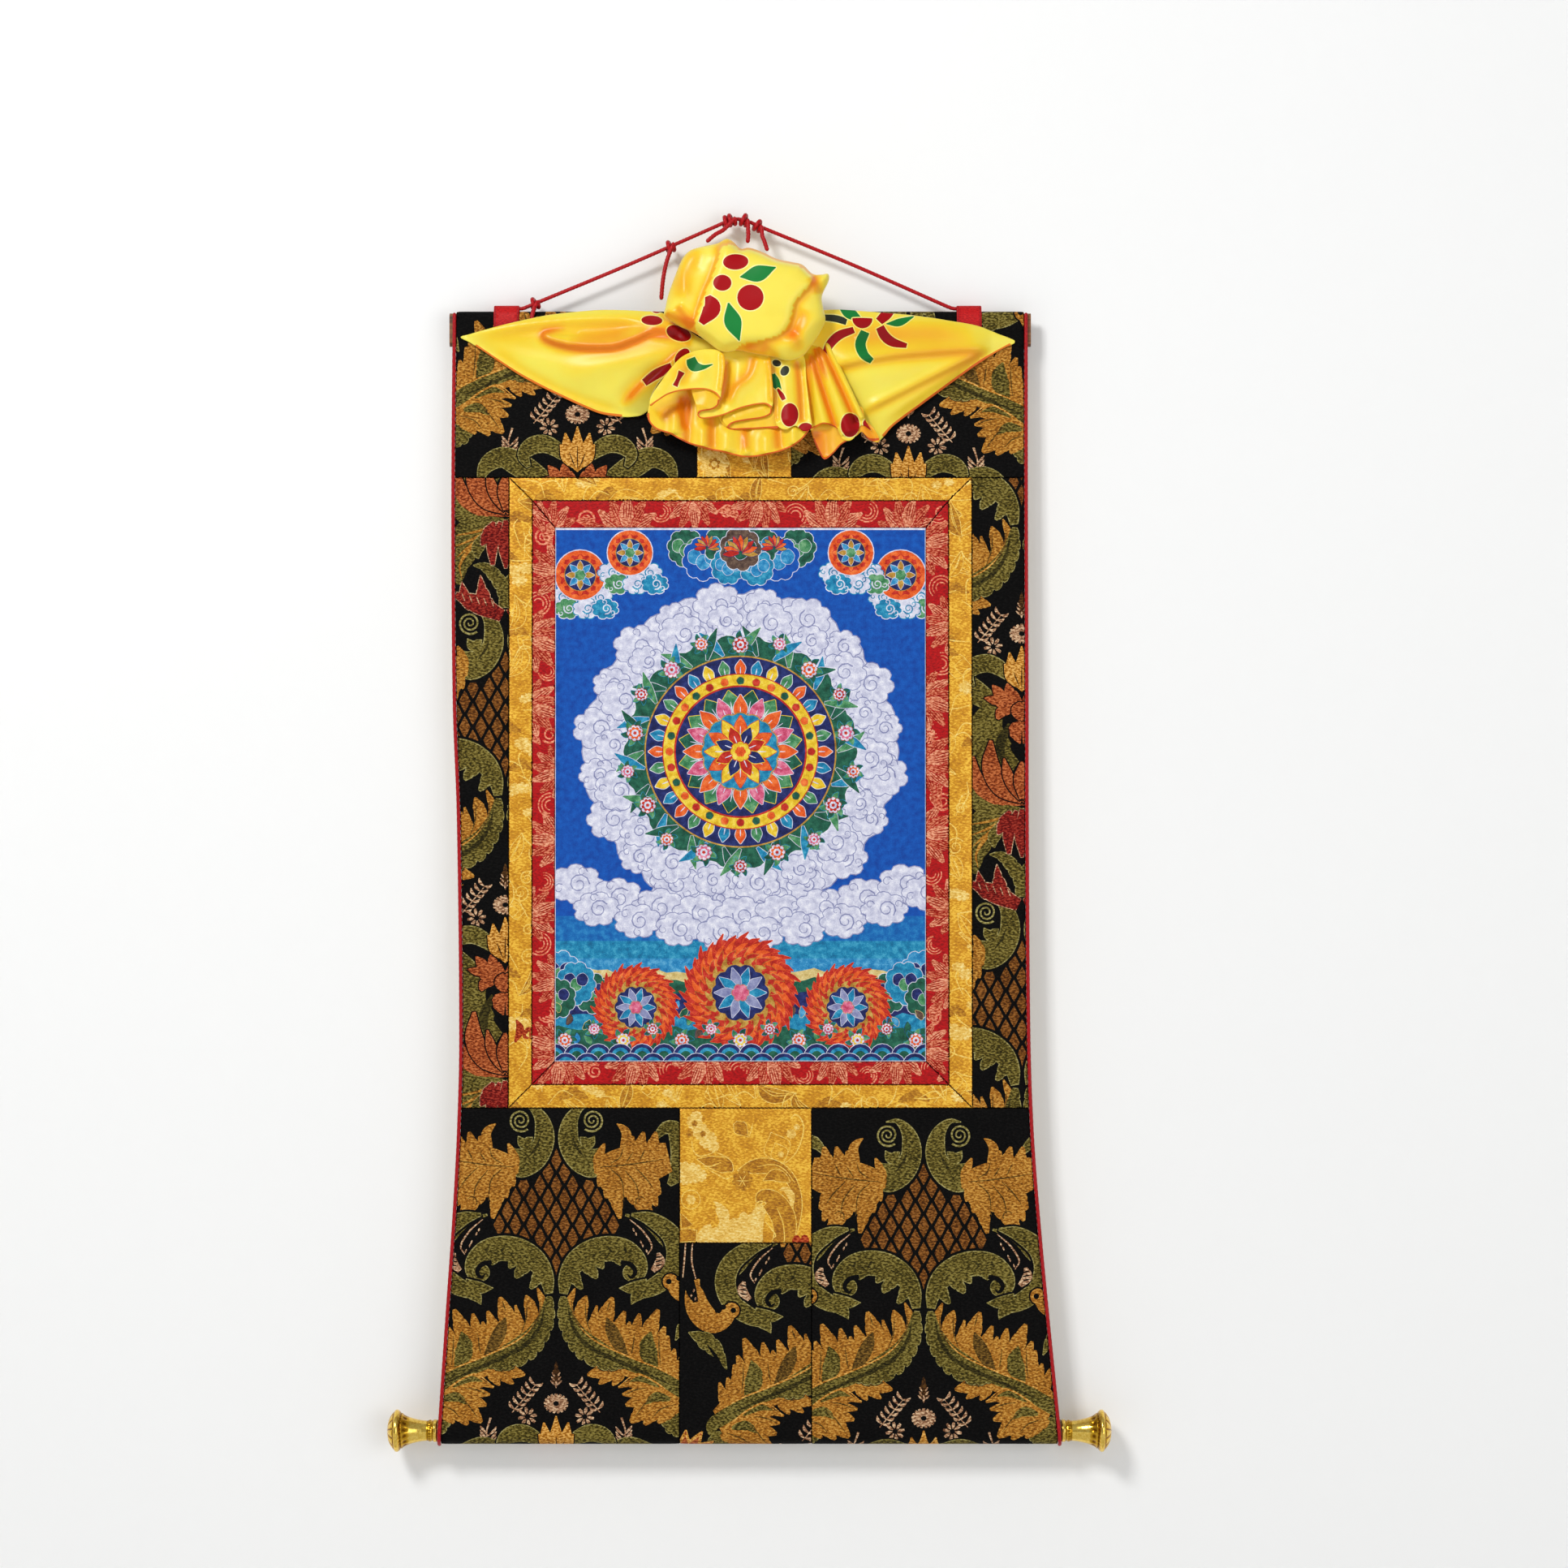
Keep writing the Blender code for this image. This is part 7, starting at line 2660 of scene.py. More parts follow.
@dataclass(frozen=True)
class Lay:
    """How a cord is laid up.

    Args:
        radius: The cord's radius.
        strands: How many strands are twisted together.
        turn: Length of one turn of the twist.
        depth: Depth of the furrow between strands, as a share of the radius.
        around: Points round the cord.
        step: Distance between its rings.
    """

    radius: float
    strands: int = 3
    turn: float = 10.0
    depth: float = 0.16
    around: int = 18
    step: float = 0.9

    def tube(self, name: str, line: np.ndarray, silk: PliedSilk, swelling: Course | None = None
             ) -> tuple[bpy.types.Object, np.ndarray]:
        """A twisted cord along a line.

        Args:
            name: The new object's name.
            line: Points of its middle.
            silk: Its finish.
            swelling: How much thicker or thinner it is, by the share of its length.

        Returns:
            The object, and the points that it follows.
        """
        path = evenly(line, self.step)
        count = len(path)
        ahead = np.gradient(path, axis=0)
        ahead /= np.linalg.norm(ahead, axis=1, keepdims=True)
        side = np.empty_like(path)
        side[0] = np.cross(ahead[0], (0.3, 1.0, 0.2))
        for k in range(1, count):
            side[k] = side[k - 1] - ahead[k] * float(side[k - 1] @ ahead[k])
            side[k] /= np.linalg.norm(side[k])
        side[0] /= np.linalg.norm(side[0])
        up = np.cross(ahead, side)
        lengths = np.concatenate([[0.0], np.cumsum(np.linalg.norm(np.diff(path, axis=0), axis=1))])
        a = np.arange(self.around) * 2 * math.pi / self.around
        twisted = self.strands * (a[None, :] - 2 * math.pi * lengths[:, None] / self.turn) / 2
        reach = self.radius * (1 - self.depth * (1 - np.abs(np.cos(twisted)) ** 0.7))
        share = lengths / lengths[-1]
        if swelling is not None:
            reach = reach * swelling.at(share)[:, None]
        ends = np.minimum(lengths, lengths[-1] - lengths)
        reach = reach * np.sqrt(np.clip(0.35 + ends / self.radius, 0.0, 1.0))[:, None]
        ring = side[:, None, :] * np.cos(a)[None, :, None] + up[:, None, :] * np.sin(a)[None, :, None]
        points = (path[:, None, :] + ring * reach[..., None]).reshape(-1, 3)
        points = np.vstack([points, path[0] - ahead[0] * self.radius * 0.2,
                            path[-1] + ahead[-1] * self.radius * 0.2])
        n = self.around
        faces: list[tuple[int, ...]] = []
        for k in range(count - 1):
            for i in range(n):
                j = (i + 1) % n
                faces.append((k * n + i, k * n + j, (k + 1) * n + j, (k + 1) * n + i))
        first, last = count * n, count * n + 1
        faces += [(first, (i + 1) % n, i) for i in range(n)]
        faces += [(last, (count - 1) * n + i, (count - 1) * n + (i + 1) % n) for i in range(n)]
        flat = np.stack([np.repeat(lengths, n), np.tile(a * self.radius, count)], axis=1)
        flat = np.vstack([flat, flat[0], flat[-1]])
        return mesh_object(name, points, faces, [DRESSING.of(silk)], None, flat), path


@dataclass
class Piping:
    """The red silk piping down both sides of the mount and round under its rod."""

    lay: Lay = Lay(HANG.binding, 1, 5.2, 0.12, 16, 1.2)

    def build(self) -> list[bpy.types.Object]:
        """Makes both lengths.

        Returns:
            Both lengths.
        """
        pieces = []
        for side, course, inwards in (("left", HANG.left, 1.0), ("right", HANG.right, -1.0)):
            line = self.line(course, inwards)
            piece, _ = self.lay.tube(f"piping_{side}", line, PIPING_SILK)
            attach(piece, "root")
            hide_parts(f"binding_{side}")
            LOG.info("%s: %d faces", piece.name, len(piece.data.polygons))
            pieces.append(piece)
        return pieces

    def line(self, course: Course, inwards: float) -> np.ndarray:
        """The middle of one length.

        Args:
            course: The mount's outer edge on that side.
            inwards: Which way the cloth lies from the edge: 1 or -1.

        Returns:
            Its points.
        """
        h = HANG
        heights = np.linspace(h.top_z - 1.8, h.rod_z, 60)
        x = course.at(heights) + inwards * h.binding
        y = h.back(x, heights) - h.cloth / 2 - 0.9
        fall = np.stack([x, y, heights], axis=1)
        reach = h.sleeve + h.cloth / 2 + 0.9
        a = np.radians(np.linspace(190.0, 275.0, 10))
        z = h.rod_z + reach * np.sin(a)
        turn = np.stack([course.at(z) + inwards * h.binding, h.rod_y + reach * np.cos(a), z], axis=1)
        return np.vstack([fall, turn])


@dataclass
class RibbonStraps:
    """The two red ribbons folded over the batten, which hold the cord's ends under their fold."""

    straps: tuple[tuple[str, float, float], ...] = (("left", -196.4, -176.0), ("right", 176.4, 196.4))
    length: float = 34.0
    ribbon: float = 1.0
    cord_radius: float = 1.6

    def course(self) -> tuple[np.ndarray, np.ndarray]:
        """The inner face's course as y and z, and the way its outer face lies.

        Returns:
            Rows of y and z, and rows of the way the outer face lies there.
        """
        h = HANG
        clear = h.batten_depth / 2 + 2 * h.gap + h.cloth
        rest = h.top_z + h.gap + self.cord_radius
        peak, foot, over = rest + self.cord_radius + h.gap, h.top_z - self.length, self.cord_radius + h.gap
        inner = [(-clear - 0.3, foot), (-clear, h.top_z - 8.0), (-clear * 0.94, h.top_z - 2.4),
                 (-over, peak - 0.7), (0.0, peak), (over, peak - 0.7), (clear * 0.94, h.top_z - 2.4),
                 (clear, h.top_z - 8.0), (clear, foot)]
        way = [(-1, 0), (-1, 0.1), (-0.8, 0.6), (-0.45, 0.9), (0, 1), (0.45, 0.9), (0.8, 0.6), (1, 0.1),
               (1, 0)]
        return np.array(inner, float), np.array(way, float)

    def build(self) -> list[bpy.types.Object]:
        """Makes both ribbons, with a woven edge and rows of stitches near their feet.

        Returns:
            Both ribbons.
        """
        inner, way = self.course()
        steps = np.concatenate([[0.0], np.cumsum(np.linalg.norm(np.diff(inner, axis=0), axis=1))])
        pieces = []
        for side, left, right in self.straps:
            ring = np.array([(left, 0.0), (right, 0.0), (right, steps[-1]), (left, steps[-1])])
            cut = Cut(ring, Ribbon.SATIN, self.figures(left, right, steps[-1]), 2.4, tuple(steps[1:-1]), 2.0,
                      (0.3, 0.9, 1.8))

            def place(spots: np.ndarray) -> tuple[np.ndarray, np.ndarray]:
                """Puts spots of the ribbon on its course over the batten.

                Args:
                    spots: Points of the cut.

                Returns:
                    The inner face's points, and the way the outer face lies.
                """
                y, z, oy, oz = (np.interp(spots[:, 1], steps, column) for column in (*inner.T, *way.T))
                size = np.hypot(oy, oz)
                return (np.stack([spots[:, 0], y, z], axis=1),
                        np.stack([np.zeros(len(y)), oy / size, oz / size], axis=1))

            piece = Sewing(self.ribbon, pucker=0.07, pucker_length=6.0).sheet(f"ribbon_strap_{side}", cut,
                                                                              place, None)
            finish_sheet(piece, f"strap_{side}", "red_silk", (right - left, float(steps[-1])), "folded")
            pieces.append(piece)
        return pieces

    @staticmethod
    def figures(left: float, right: float, length: float) -> list[Figure]:
        """The ribbon's selvedges and its rows of stitches.

        Args:
            left: The ribbon's left side.
            right: Its right side.
            length: Its length round the batten.

        Returns:
            Their outlines and what they are woven with.
        """
        found = [Figure(np.array([(x, -1.0), (x + 1.1, -1.0), (x + 1.1, length + 1.0), (x, length + 1.0)]),
                        Ribbon.SELVEDGE) for x in (left + 0.6, right - 1.7)]
        for at in (4.0, length - 4.0):
            x = left + 2.6
            while x < right - 3.6:
                found.append(Figure(blade([(x, at), (x + 1.7, at)], [0.2, 0.32, 0.2], count=5),
                                    Ribbon.STITCH))
                x += 2.6
        return found


class Ribbon(Enum):
    """Silks of the straps."""

    SATIN = STRAP_SILK
    SELVEDGE = PliedSilk("red_ribbon_selvedge", "#7A040C", "#9E0A14", "#C02428", 0.6)
    STITCH = PliedSilk("crimson_sewing_thread", "#6A040A", "#8E0A12", "#B83A38", 0.6)


@dataclass
class Tie:
    """A short cord hitched round the hanging cord, with one free end.

    Args:
        name: The piece's name, which is its solid's.
        place: Where along x it is hitched.
        turns: How many turns it makes.
        tail: Points of its free end.
        far_end: What its end is.
    """

    name: str
    place: float
    turns: float
    tail: tuple[Spot3, ...]
    far_end: str = "bare"


@dataclass
class HangingCord:
    """The crimson silk cord that carries the scroll, and the short cords tied to it."""

    radius: float = 1.6
    tie_radius: float = 1.8
    tie_steps: int = 12
    ties: tuple[Tie, ...] = (
        Tie("tie_left", -7.5, 2.5, ((-11.0, -6.0, -7.6), (-18.0, -7.8, -12.0), (-25.0, -8.6, -18.0))),
        Tie("tie_right", 5.6, 1.5, ((8.4, -5.6, -7.6), (8.6, -6.6, -12.8), (8.0, -7.0, -18.5))),
        Tie("tie_right_outer", 16.6, 1.5, ((19.8, -5.6, -12.4), (21.6, -6.8, -17.4), (24.0, -7.8, -25.0))),
        Tie("tie_stay", -55.0, 1.5, ((-57.0, -5.6, -33.0), (-60.0, -6.6, -48.0), (-61.5, -7.0, -64.2)),
            "object"),
        Tie("knot_left", -163.5, 1.5, ((-164.0, -6.4, -72.0), (-165.5, -8.0, -79.0), (-166.0, -8.0, -86.0))),
    )

    def route(self) -> np.ndarray:
        """The cord's middle, from under one strap over the top point to under the other.

        Returns:
            Points along it.
        """
        rest, apex = HANG.top_z + HANG.gap + self.radius, self.radius
        spots = ((-195.0, rest), (-186.0, rest), (-177.5, rest), (-171.0, rest + 1.2), (-163.0, rest + 4.8),
                 (-90.0, -36.0), (-19.0, -4.9), (-8.5, apex - 1.6), (0.0, apex), (8.5, apex - 1.6),
                 (19.0, -4.9), (92.0, -35.0), (163.5, rest + 4.6), (171.5, rest + 1.1), (178.0, rest),
                 (186.5, rest), (195.0, rest))
        return evenly(through([(x, 0.0, z) for x, z in spots], 16 * (len(spots) - 1)), 5.6)

    def build(self) -> list[bpy.types.Object]:
        """Makes the cord and its ties.

        Returns:
            The cord, and then its ties.
        """
        line = self.route()
        cord, path = Lay(self.radius, 3, 8.4, 0.2, 18, 0.8).tube("silk_hanging_cord", line, CORD_SILK)
        self.declare(cord, "hanging_cord", path, self.radius, "object")
        return [cord] + [self.tie(line, tie) for tie in self.ties]

    def declare(self, piece: bpy.types.Object, node: str, path: np.ndarray, radius: float, far_end: str) -> None:
        """Attaches a length of cord that stands for a solid, hides that solid and logs its length.

        Args:
            piece: The cord.
            node: The solid.
            path: Points of its middle.
            radius: Its radius.
            far_end: What its far end is; not used.
        """
        length = float(np.linalg.norm(np.diff(path, axis=0), axis=1).sum())
        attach(piece, "root")
        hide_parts(node)
        LOG.info("%s: %.0f mm of %.1f mm cord", piece.name, length, 2 * radius)

    def tie(self, line: np.ndarray, tie: Tie) -> bpy.types.Object:
        """Hitches one tie round the cord.

        Args:
            line: The hanging cord's middle.
            tie: The tie.

        Returns:
            The tie's cord.
        """
        fine = np.vstack([line[:-1][:, None, :] + (np.diff(line, axis=0)[:, None,
                                                                         :]
                                                   * (np.arange(6) / 6)[None, :, None])
                          ]).reshape(-1, 3)
        spacing = float(np.linalg.norm(line[1] - line[0])) / 6
        k = int(np.abs(fine[:, 0] - tie.place).argmin())
        ahead = fine[k + 1] - fine[k - 1]
        ahead /= np.linalg.norm(ahead)
        side = np.array([0.0, -1.0, 0.0])
        up = np.cross(side, ahead)
        reach = self.radius + HANG.gap * 1.6 + self.tie_radius
        pitch = 2 * self.tie_radius + HANG.gap
        spots = []
        for i in range(round(tie.turns * self.tie_steps) + 1):
            wound = i / self.tie_steps
            a = 2 * math.pi * (tie.turns - wound)
            middle = fine[k + round(pitch * (wound - tie.turns / 2) / spacing)]
            spot = middle + (side * math.cos(a) - up * math.sin(a)) * reach
            spots.append(spot + ahead * (pitch * (wound - tie.turns / 2) - float((middle - fine[k]) @ ahead)))
        tail = through([spots[-2], spots[-1], *tie.tail], 16 * (len(tie.tail) + 1))
        whole = np.vstack([through(spots[:-2], 4 * len(spots)), tail])
        piece, path = Lay(self.tie_radius, 3, 8.0, 0.2, 16, 0.7).tube(f"silk_{tie.name}", whole, CORD_SILK)
        self.declare(piece, tie.name, path, self.tie_radius, tie.far_end)
        return piece


# ---------------------------------------------------------------- rod ends


@dataclass
class BrassKnobs:
    """The brass rod ends: a collar, a trumpet with a ring of punched scallops, and a petalled cap."""

    # distance out from the cloth and radius, from the collar to the middle of the cap
    profile: tuple[Spot, ...] = (
        (0.0, 8.2), (0.5, 8.9), (2.6, 9.0), (3.2, 8.5), (4.0, 8.0), (5.0, 8.5), (6.0, 8.7), (7.0, 8.4),
        (8.0, 8.0), (12.0, 8.3), (16.0, 9.0), (20.0, 10.0), (24.0, 11.4), (27.0, 13.0), (28.6, 14.4),
        (29.2, 14.0), (30.0, 15.2), (31.0, 16.3), (32.2, 16.9), (33.6, 16.7), (34.4, 15.8), (34.8, 15.0),
        (35.2, 14.9), (36.6, 13.4), (38.0, 11.2), (39.2, 8.4), (39.9, 5.4), (40.3, 2.6),
    )
    boss_end = 40.6                      # how far out the cap's middle boss reaches
    tenon_bore: tuple[float, float] = (15.3, 5.3)
    around: int = 96
    petals: int = 12

    def build(self) -> list[bpy.types.Object]:
        """Makes both knobs.

        Returns:
            Both knobs.
        """
        left = float(HANG.left.at(HANG.rod_z)) - 0.5 - HANG.gap
        right = float(HANG.right.at(HANG.rod_z)) + 0.5 + HANG.gap
        pieces = []
        for side, x, outwards in (("left", left, -1.0), ("right", right, 1.0)):
            piece = self.knob(f"brass_knob_{side}", x, outwards)
            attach(piece, "root")
            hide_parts(f"knob_{side}")
            LOG.info("%s: %d faces", piece.name, len(piece.data.polygons))
            pieces.append(piece)
        return pieces

    def knob(self, name: str, x: float, outwards: float) -> bpy.types.Object:
        """One knob.

        Args:
            name: Its name.
            x: Where its collar meets the cloth.
            outwards: The way it points along x: 1 or -1.

        Returns:
            The knob.
        """
        depth, bore = self.tenon_bore
        fine = [row for a, b in zip(self.profile, self.profile[1:])
                for row in np.linspace(a, b, max(2, math.ceil(math.dist(a, b) / 0.7)), endpoint=False)]
        rows = np.array([(depth, bore), (0.0, bore), *fine, self.profile[-1]])
        a = np.arange(self.around) * 2 * math.pi / self.around
        along, radius = rows[:, 0][:, None] + 0 * a, rows[:, 1][:, None] + 0 * a
        groove = np.zeros_like(radius)
        outer = (np.arange(len(rows)) >= 2)[:, None]
        # scallops stamped round the flare, a bead row behind them, and petals chased into the cap
        for where, half, count, cut, phase in ((25.6, 1.9, 14, 1.1, 0.0), (29.1, 0.9, 28, 0.6, 0.5),
                                               (6.0, 1.0, 22, 0.5, 0.0)):
            spots = np.abs((a * count / (2 * math.pi) + phase) % 1.0 - 0.5) * 2 * math.pi * 12.5 / count
            dent = np.exp(-((along - where) / half) ** 2 - (spots[None, :] / (half * 1.05)) ** 2) * outer
            radius = radius - cut * dent
            groove = np.maximum(groove, dent)
        cap = np.clip((along - 34.6) / 1.2, 0.0, 1.0) * outer
        petal = np.abs(np.cos(self.petals * a / 2))[None, :] ** 0.5
        along = along - cap * (1 - petal) * 0.9 * np.clip(radius / 9.0, 0.0, 1.0)
        groove = np.maximum(groove, cap * (1 - petal) ** 2)
        for where in (3.6, 7.6, 28.9, 34.9):
            groove = np.maximum(groove,
                                0.8 * np.exp(-((rows[:, 0][:, None] - where) / 0.45) ** 2) * outer
                                * np.ones_like(along))
        px = x + outwards * along
        points = np.stack([px, HANG.rod_y + radius * np.cos(a), HANG.rod_z + radius * np.sin(a)],
                          axis=2).reshape(-1, 3)
        n, count = self.around, len(rows)
        faces: list[tuple[int, ...]] = [
            (i * n + k, i * n + (k + 1) % n, (i + 1) * n + (k + 1) % n, (i + 1) * n + k)
            for i in range(count - 1) for k in range(n)]
        ends = np.array([(x + outwards * depth, HANG.rod_y, HANG.rod_z),
                         (x + outwards * self.boss_end, HANG.rod_y, HANG.rod_z)])
        faces += [((k + 1) % n, k, count * n) for k in range(n)]
        faces += [((count - 1) * n + k, (count - 1) * n + (k + 1) % n, count * n + 1) for k in range(n)]
        if outwards > 0:
            faces = [face[::-1] for face in faces]
        values = np.concatenate([np.clip(groove, 0, 1).ravel(), [0.5, 0.3]])
        return mesh_object(name, np.vstack([points, ends]), faces, [DRESSING.of(BRASS)],
                           values={"groove": values})


class Woodwork:
    """The batten and rod, whose own solids stay and are only dressed."""

    def dress(self) -> None:
        """Gives both the softwood's finish."""
        for node in ("batten", "rod"):
            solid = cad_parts[node]
            solid.data.materials.clear()
            solid.data.materials.append(DRESSING.of(PINE))
            LOG.info("%s: dressed", node)


# ---------------------------------------------------------------- the veil


EYE = (37.3, -454.0)          # the point of the squared drawing that the eye is level with
EYE_DISTANCE = 3000.0         # from the eye to the plane of the hanging cord


def seen(spots: Sequence[Spot], depth: float) -> np.ndarray:
    """Millimetres of places on the squared drawing of the veil, which is drawn in perspective.

    Args:
        spots: Squares across and down.
        depth: How far in front of the hanging cord's plane the silk lies there.

    Returns:
        x and height of each place.
    """
    near = 1 - depth / EYE_DISTANCE
    return np.array([(EYE[0] + (across(x) - EYE[0]) * near, EYE[1] + (upwards(y) - EYE[1]) * near)
                     for x, y in spots])


def rounded(spots: np.ndarray, step: float = 2.0) -> np.ndarray:
    """A smooth closed curve through some places.

    Args:
        spots: The places.
        step: Distance between its points.

    Returns:
        The ring.
    """
    n = len(spots)
    line = through([*spots[-2:], *spots, *spots[:2]], 12 * (n + 3))
    return evenly(line[24:12 * (n + 2)], step, closed=True)


def oval(x: float, y: float, width: float, height: float, turn: float = 0.0,
         depth: float = 30.0) -> np.ndarray:
    """The outline of a printed berry.

    Args:
        x: Its middle on the squared drawing.
        y: Its middle, counted down.
        width: Its half width before it is turned.
        height: Its half height before it is turned.
        turn: How far it is turned, in degrees, clockwise on the drawing.
        depth: How far in front the silk lies there.

    Returns:
        The ring, in millimetres.
    """
    a = np.arange(28) * 2 * math.pi / 28
    c, s = math.cos(math.radians(turn)), math.sin(math.radians(turn))
    u, v = width * np.cos(a), height * np.sin(a)
    return seen(list(zip(x + u * c - v * s, y + u * s + v * c)), depth)


def beside(line: np.ndarray, spots: np.ndarray) -> tuple[np.ndarray, np.ndarray]:
    """How far spots lie beside a line.

    Args:
        line: The line's points.
        spots: The points to measure.

    Returns:
        The distance of each, above 0 on the line's left, and the share of the line that it is next to.
    """
    way = np.diff(line, axis=0)
    length = np.maximum(np.linalg.norm(way, axis=1), 1e-9)
    begin = np.concatenate([[0.0], np.cumsum(length)])
    part = spots[:, None, :] - line[None, :-1, :]
    share = np.clip((part * way).sum(axis=2) / length**2, 0.0, 1.0)
    gap = part - way * share[..., None]
    away = np.linalg.norm(gap, axis=2)
    best = away.argmin(axis=1)
    rows = np.arange(len(best))
    turned = way[best, 0] * gap[rows, best, 1] - way[best, 1] * gap[rows, best, 0]
    return away[rows, best] * np.where(turned >= 0, 1.0, -1.0), (begin[best]
                                                                 + share[rows,
                                                                         best] * length[best]) / begin[-1]


@dataclass(frozen=True)
class Crease:
    """A bend in the silk along a line: a ridge, or a trough where its height is below 0.

    Args:
        spots: Squares that the line passes.
        left: How far it reaches to the line's left, in millimetres.
        right: How far it reaches to the line's right. A short reach makes the edge of an overlap.
        height: How far the silk stands out along the line.
        shade: Painted shade in the hollow beside the line, right of it, or left where it is below 0.
        fade_in: Share of the line over which it grows.
        fade_out: Share of the line over which it dies away.
    """

    spots: tuple[Spot, ...]
    left: float
    right: float
    height: float
    shade: float = 0.0
    fade_in: float = 0.3
    fade_out: float = 0.3

    def lift(self, spots: np.ndarray, depth: float) -> tuple[np.ndarray, np.ndarray]:
        """How far the crease lifts the silk, and how much painted shade it adds.

        Args:
            spots: Places on the silk, in millimetres.
            depth: How far in front the silk lies.

        Returns:
            Both values for each place.
        """
        line = through(seen(self.spots, depth), 6 * len(self.spots))
        aside, share = beside(line, spots)
        grown = np.clip(share / max(self.fade_in, 1e-3), 0,
                        1) * np.clip((1 - share) / max(self.fade_out, 1e-3), 0, 1)
        grown = np.sin(grown * math.pi / 2)
        reach = np.where(aside > 0, self.left, self.right)
        raised = self.height * grown * np.exp(-((aside / reach) ** 2))
        side = 1.0 if self.shade >= 0 else -1.0
        near = self.right if self.shade >= 0 else self.left
        hollow = np.exp(-(((aside * side + near * 1.0) / (near * 1.3 + 0.6)) ** 2))
        return raised, abs(self.shade) * grown * hollow


@dataclass(frozen=True)
class Fold:
    """One layer of the veil, drawn from in front.

    Args:
        ring: Squares round its outline.
        depth: How far in front of the cord's plane it lies on the whole, for the drawing's perspective.
        front: Gives that distance for each place on it.
        creases: Its creases.
        prints: Dyes and outlines printed on it, in millimetres.
        hems: Lines of its overcast hems, in squares.
        layer_shade: How much painted shade the whole layer gets.
        step: Distance between the mesh's points.
        hem_width: Half the width of a hem's line.
    """

    ring: tuple[Spot, ...]
    depth: float
    front: Callable[[np.ndarray], np.ndarray]
    creases: tuple[Crease, ...] = ()
    prints: tuple[tuple[Silk, np.ndarray], ...] = ()
    hems: tuple[tuple[Spot, ...], ...] = ()
    layer_shade: float = 0.0
    step: float = 2.2
    hem_width: float = 0.9

    def cut(self, rings: tuple[float, ...] = (0.3, 0.9, 1.8)) -> Cut:
        """The layer's cut, with its prints and hems.

        Args:
            rings: Distances of the mesh's rings of points inside the outline.

        Returns:
            The cut.
        """
        figures = []
        for silk, ring in self.prints:
            figures += [Figure(swell(ring, 0.9), Silk.HALO), Figure(ring, silk)]
        for hem in self.hems:
            line = seen(hem, self.depth)
            figures.append(Figure(blade(line, [self.hem_width] * 3, count=8 * len(hem)), Silk.HEM))
        return Cut(rounded(seen(self.ring, self.depth), self.step), Silk.BODY, figures, self.step, (),
                   self.step, rings)

    def place(self, spots: np.ndarray) -> tuple[np.ndarray, np.ndarray]:
        """Puts spots of the cut on the layer's creased surface.

        Args:
            spots: Points of the cut.

        Returns:
            The inner face's points, and the way the outer face lies.
        """
        y = -self.front(spots) + Veil.silk
        for crease in self.creases:
            y = y - crease.lift(spots, self.depth)[0]
        return np.stack([spots[:, 0], y, spots[:, 1]], axis=1), np.tile([0.0, -1.0, 0.0], (len(spots), 1))

    def tint(self, spots: np.ndarray) -> np.ndarray:
        """How much painted shade each spot gets.

        Args:
            spots: Points of the cut.

        Returns:
            A share from 0 to 1 for each.
        """
        total = np.full(len(spots), self.layer_shade)
        for crease in self.creases:
            total = total + crease.lift(spots, self.depth)[1]
        return np.clip(total, 0.0, 1.0)

    def build(self, name: str) -> bpy.types.Object:
        """Makes the layer."""
        return Sewing(Veil.silk, pucker=0.12, pucker_length=9.0).sheet(name, self.cut(), self.place, None,
                                                                       self.tint)


@dataclass(frozen=True)
class WingFall:
    """How a wing of the veil stands out from the mount, from its sewn corner to the tie.

    Args:
        rows: x, upper edge, lower edge, clearance and how far its belly swells.
    """

    rows: tuple[tuple[float, float, float, float, float], ...]

    def front(self, spots: np.ndarray) -> np.ndarray:
        """How far in front of the cord's plane each place lies.

        Args:
            spots: Places on it, in millimetres across and up.

        Returns:
            The distance for each.
        """
        upper, lower, clear, belly = (Course(tuple((row[0], row[k]) for row in self.rows)).at(spots[:, 0])
                                      for k in (1, 2, 3, 4))
        share = np.clip((upper - spots[:, 1]) / np.maximum(upper - lower, 1.0), 0.0, 1.0)
        return clear + Veil.silk + belly * np.sin(math.pi * share) ** 0.7


@dataclass(frozen=True)
class SkirtFall:
    """How the gathered silk below the tie leans out towards its hem.

    Args:
        top: Distance in front at the gather.
        hem: Distance in front at the hem.
        gather: x and height of the gather, in millimetres.
        reach: Distance from the gather to the hem.
        power: How late the lean comes.
    """

    top: float
    hem: float
    gather: Spot = (-4.0, -104.0)
    reach: float = 70.0
    power: float = 1.0

    def front(self, spots: np.ndarray) -> np.ndarray:
        """How far in front of the cord's plane each place lies."""
        away = np.linalg.norm(spots - np.array(self.gather), axis=1) / self.reach
        return self.top + (self.hem - self.top) * np.clip(away, 0.0, 1.3) ** self.power


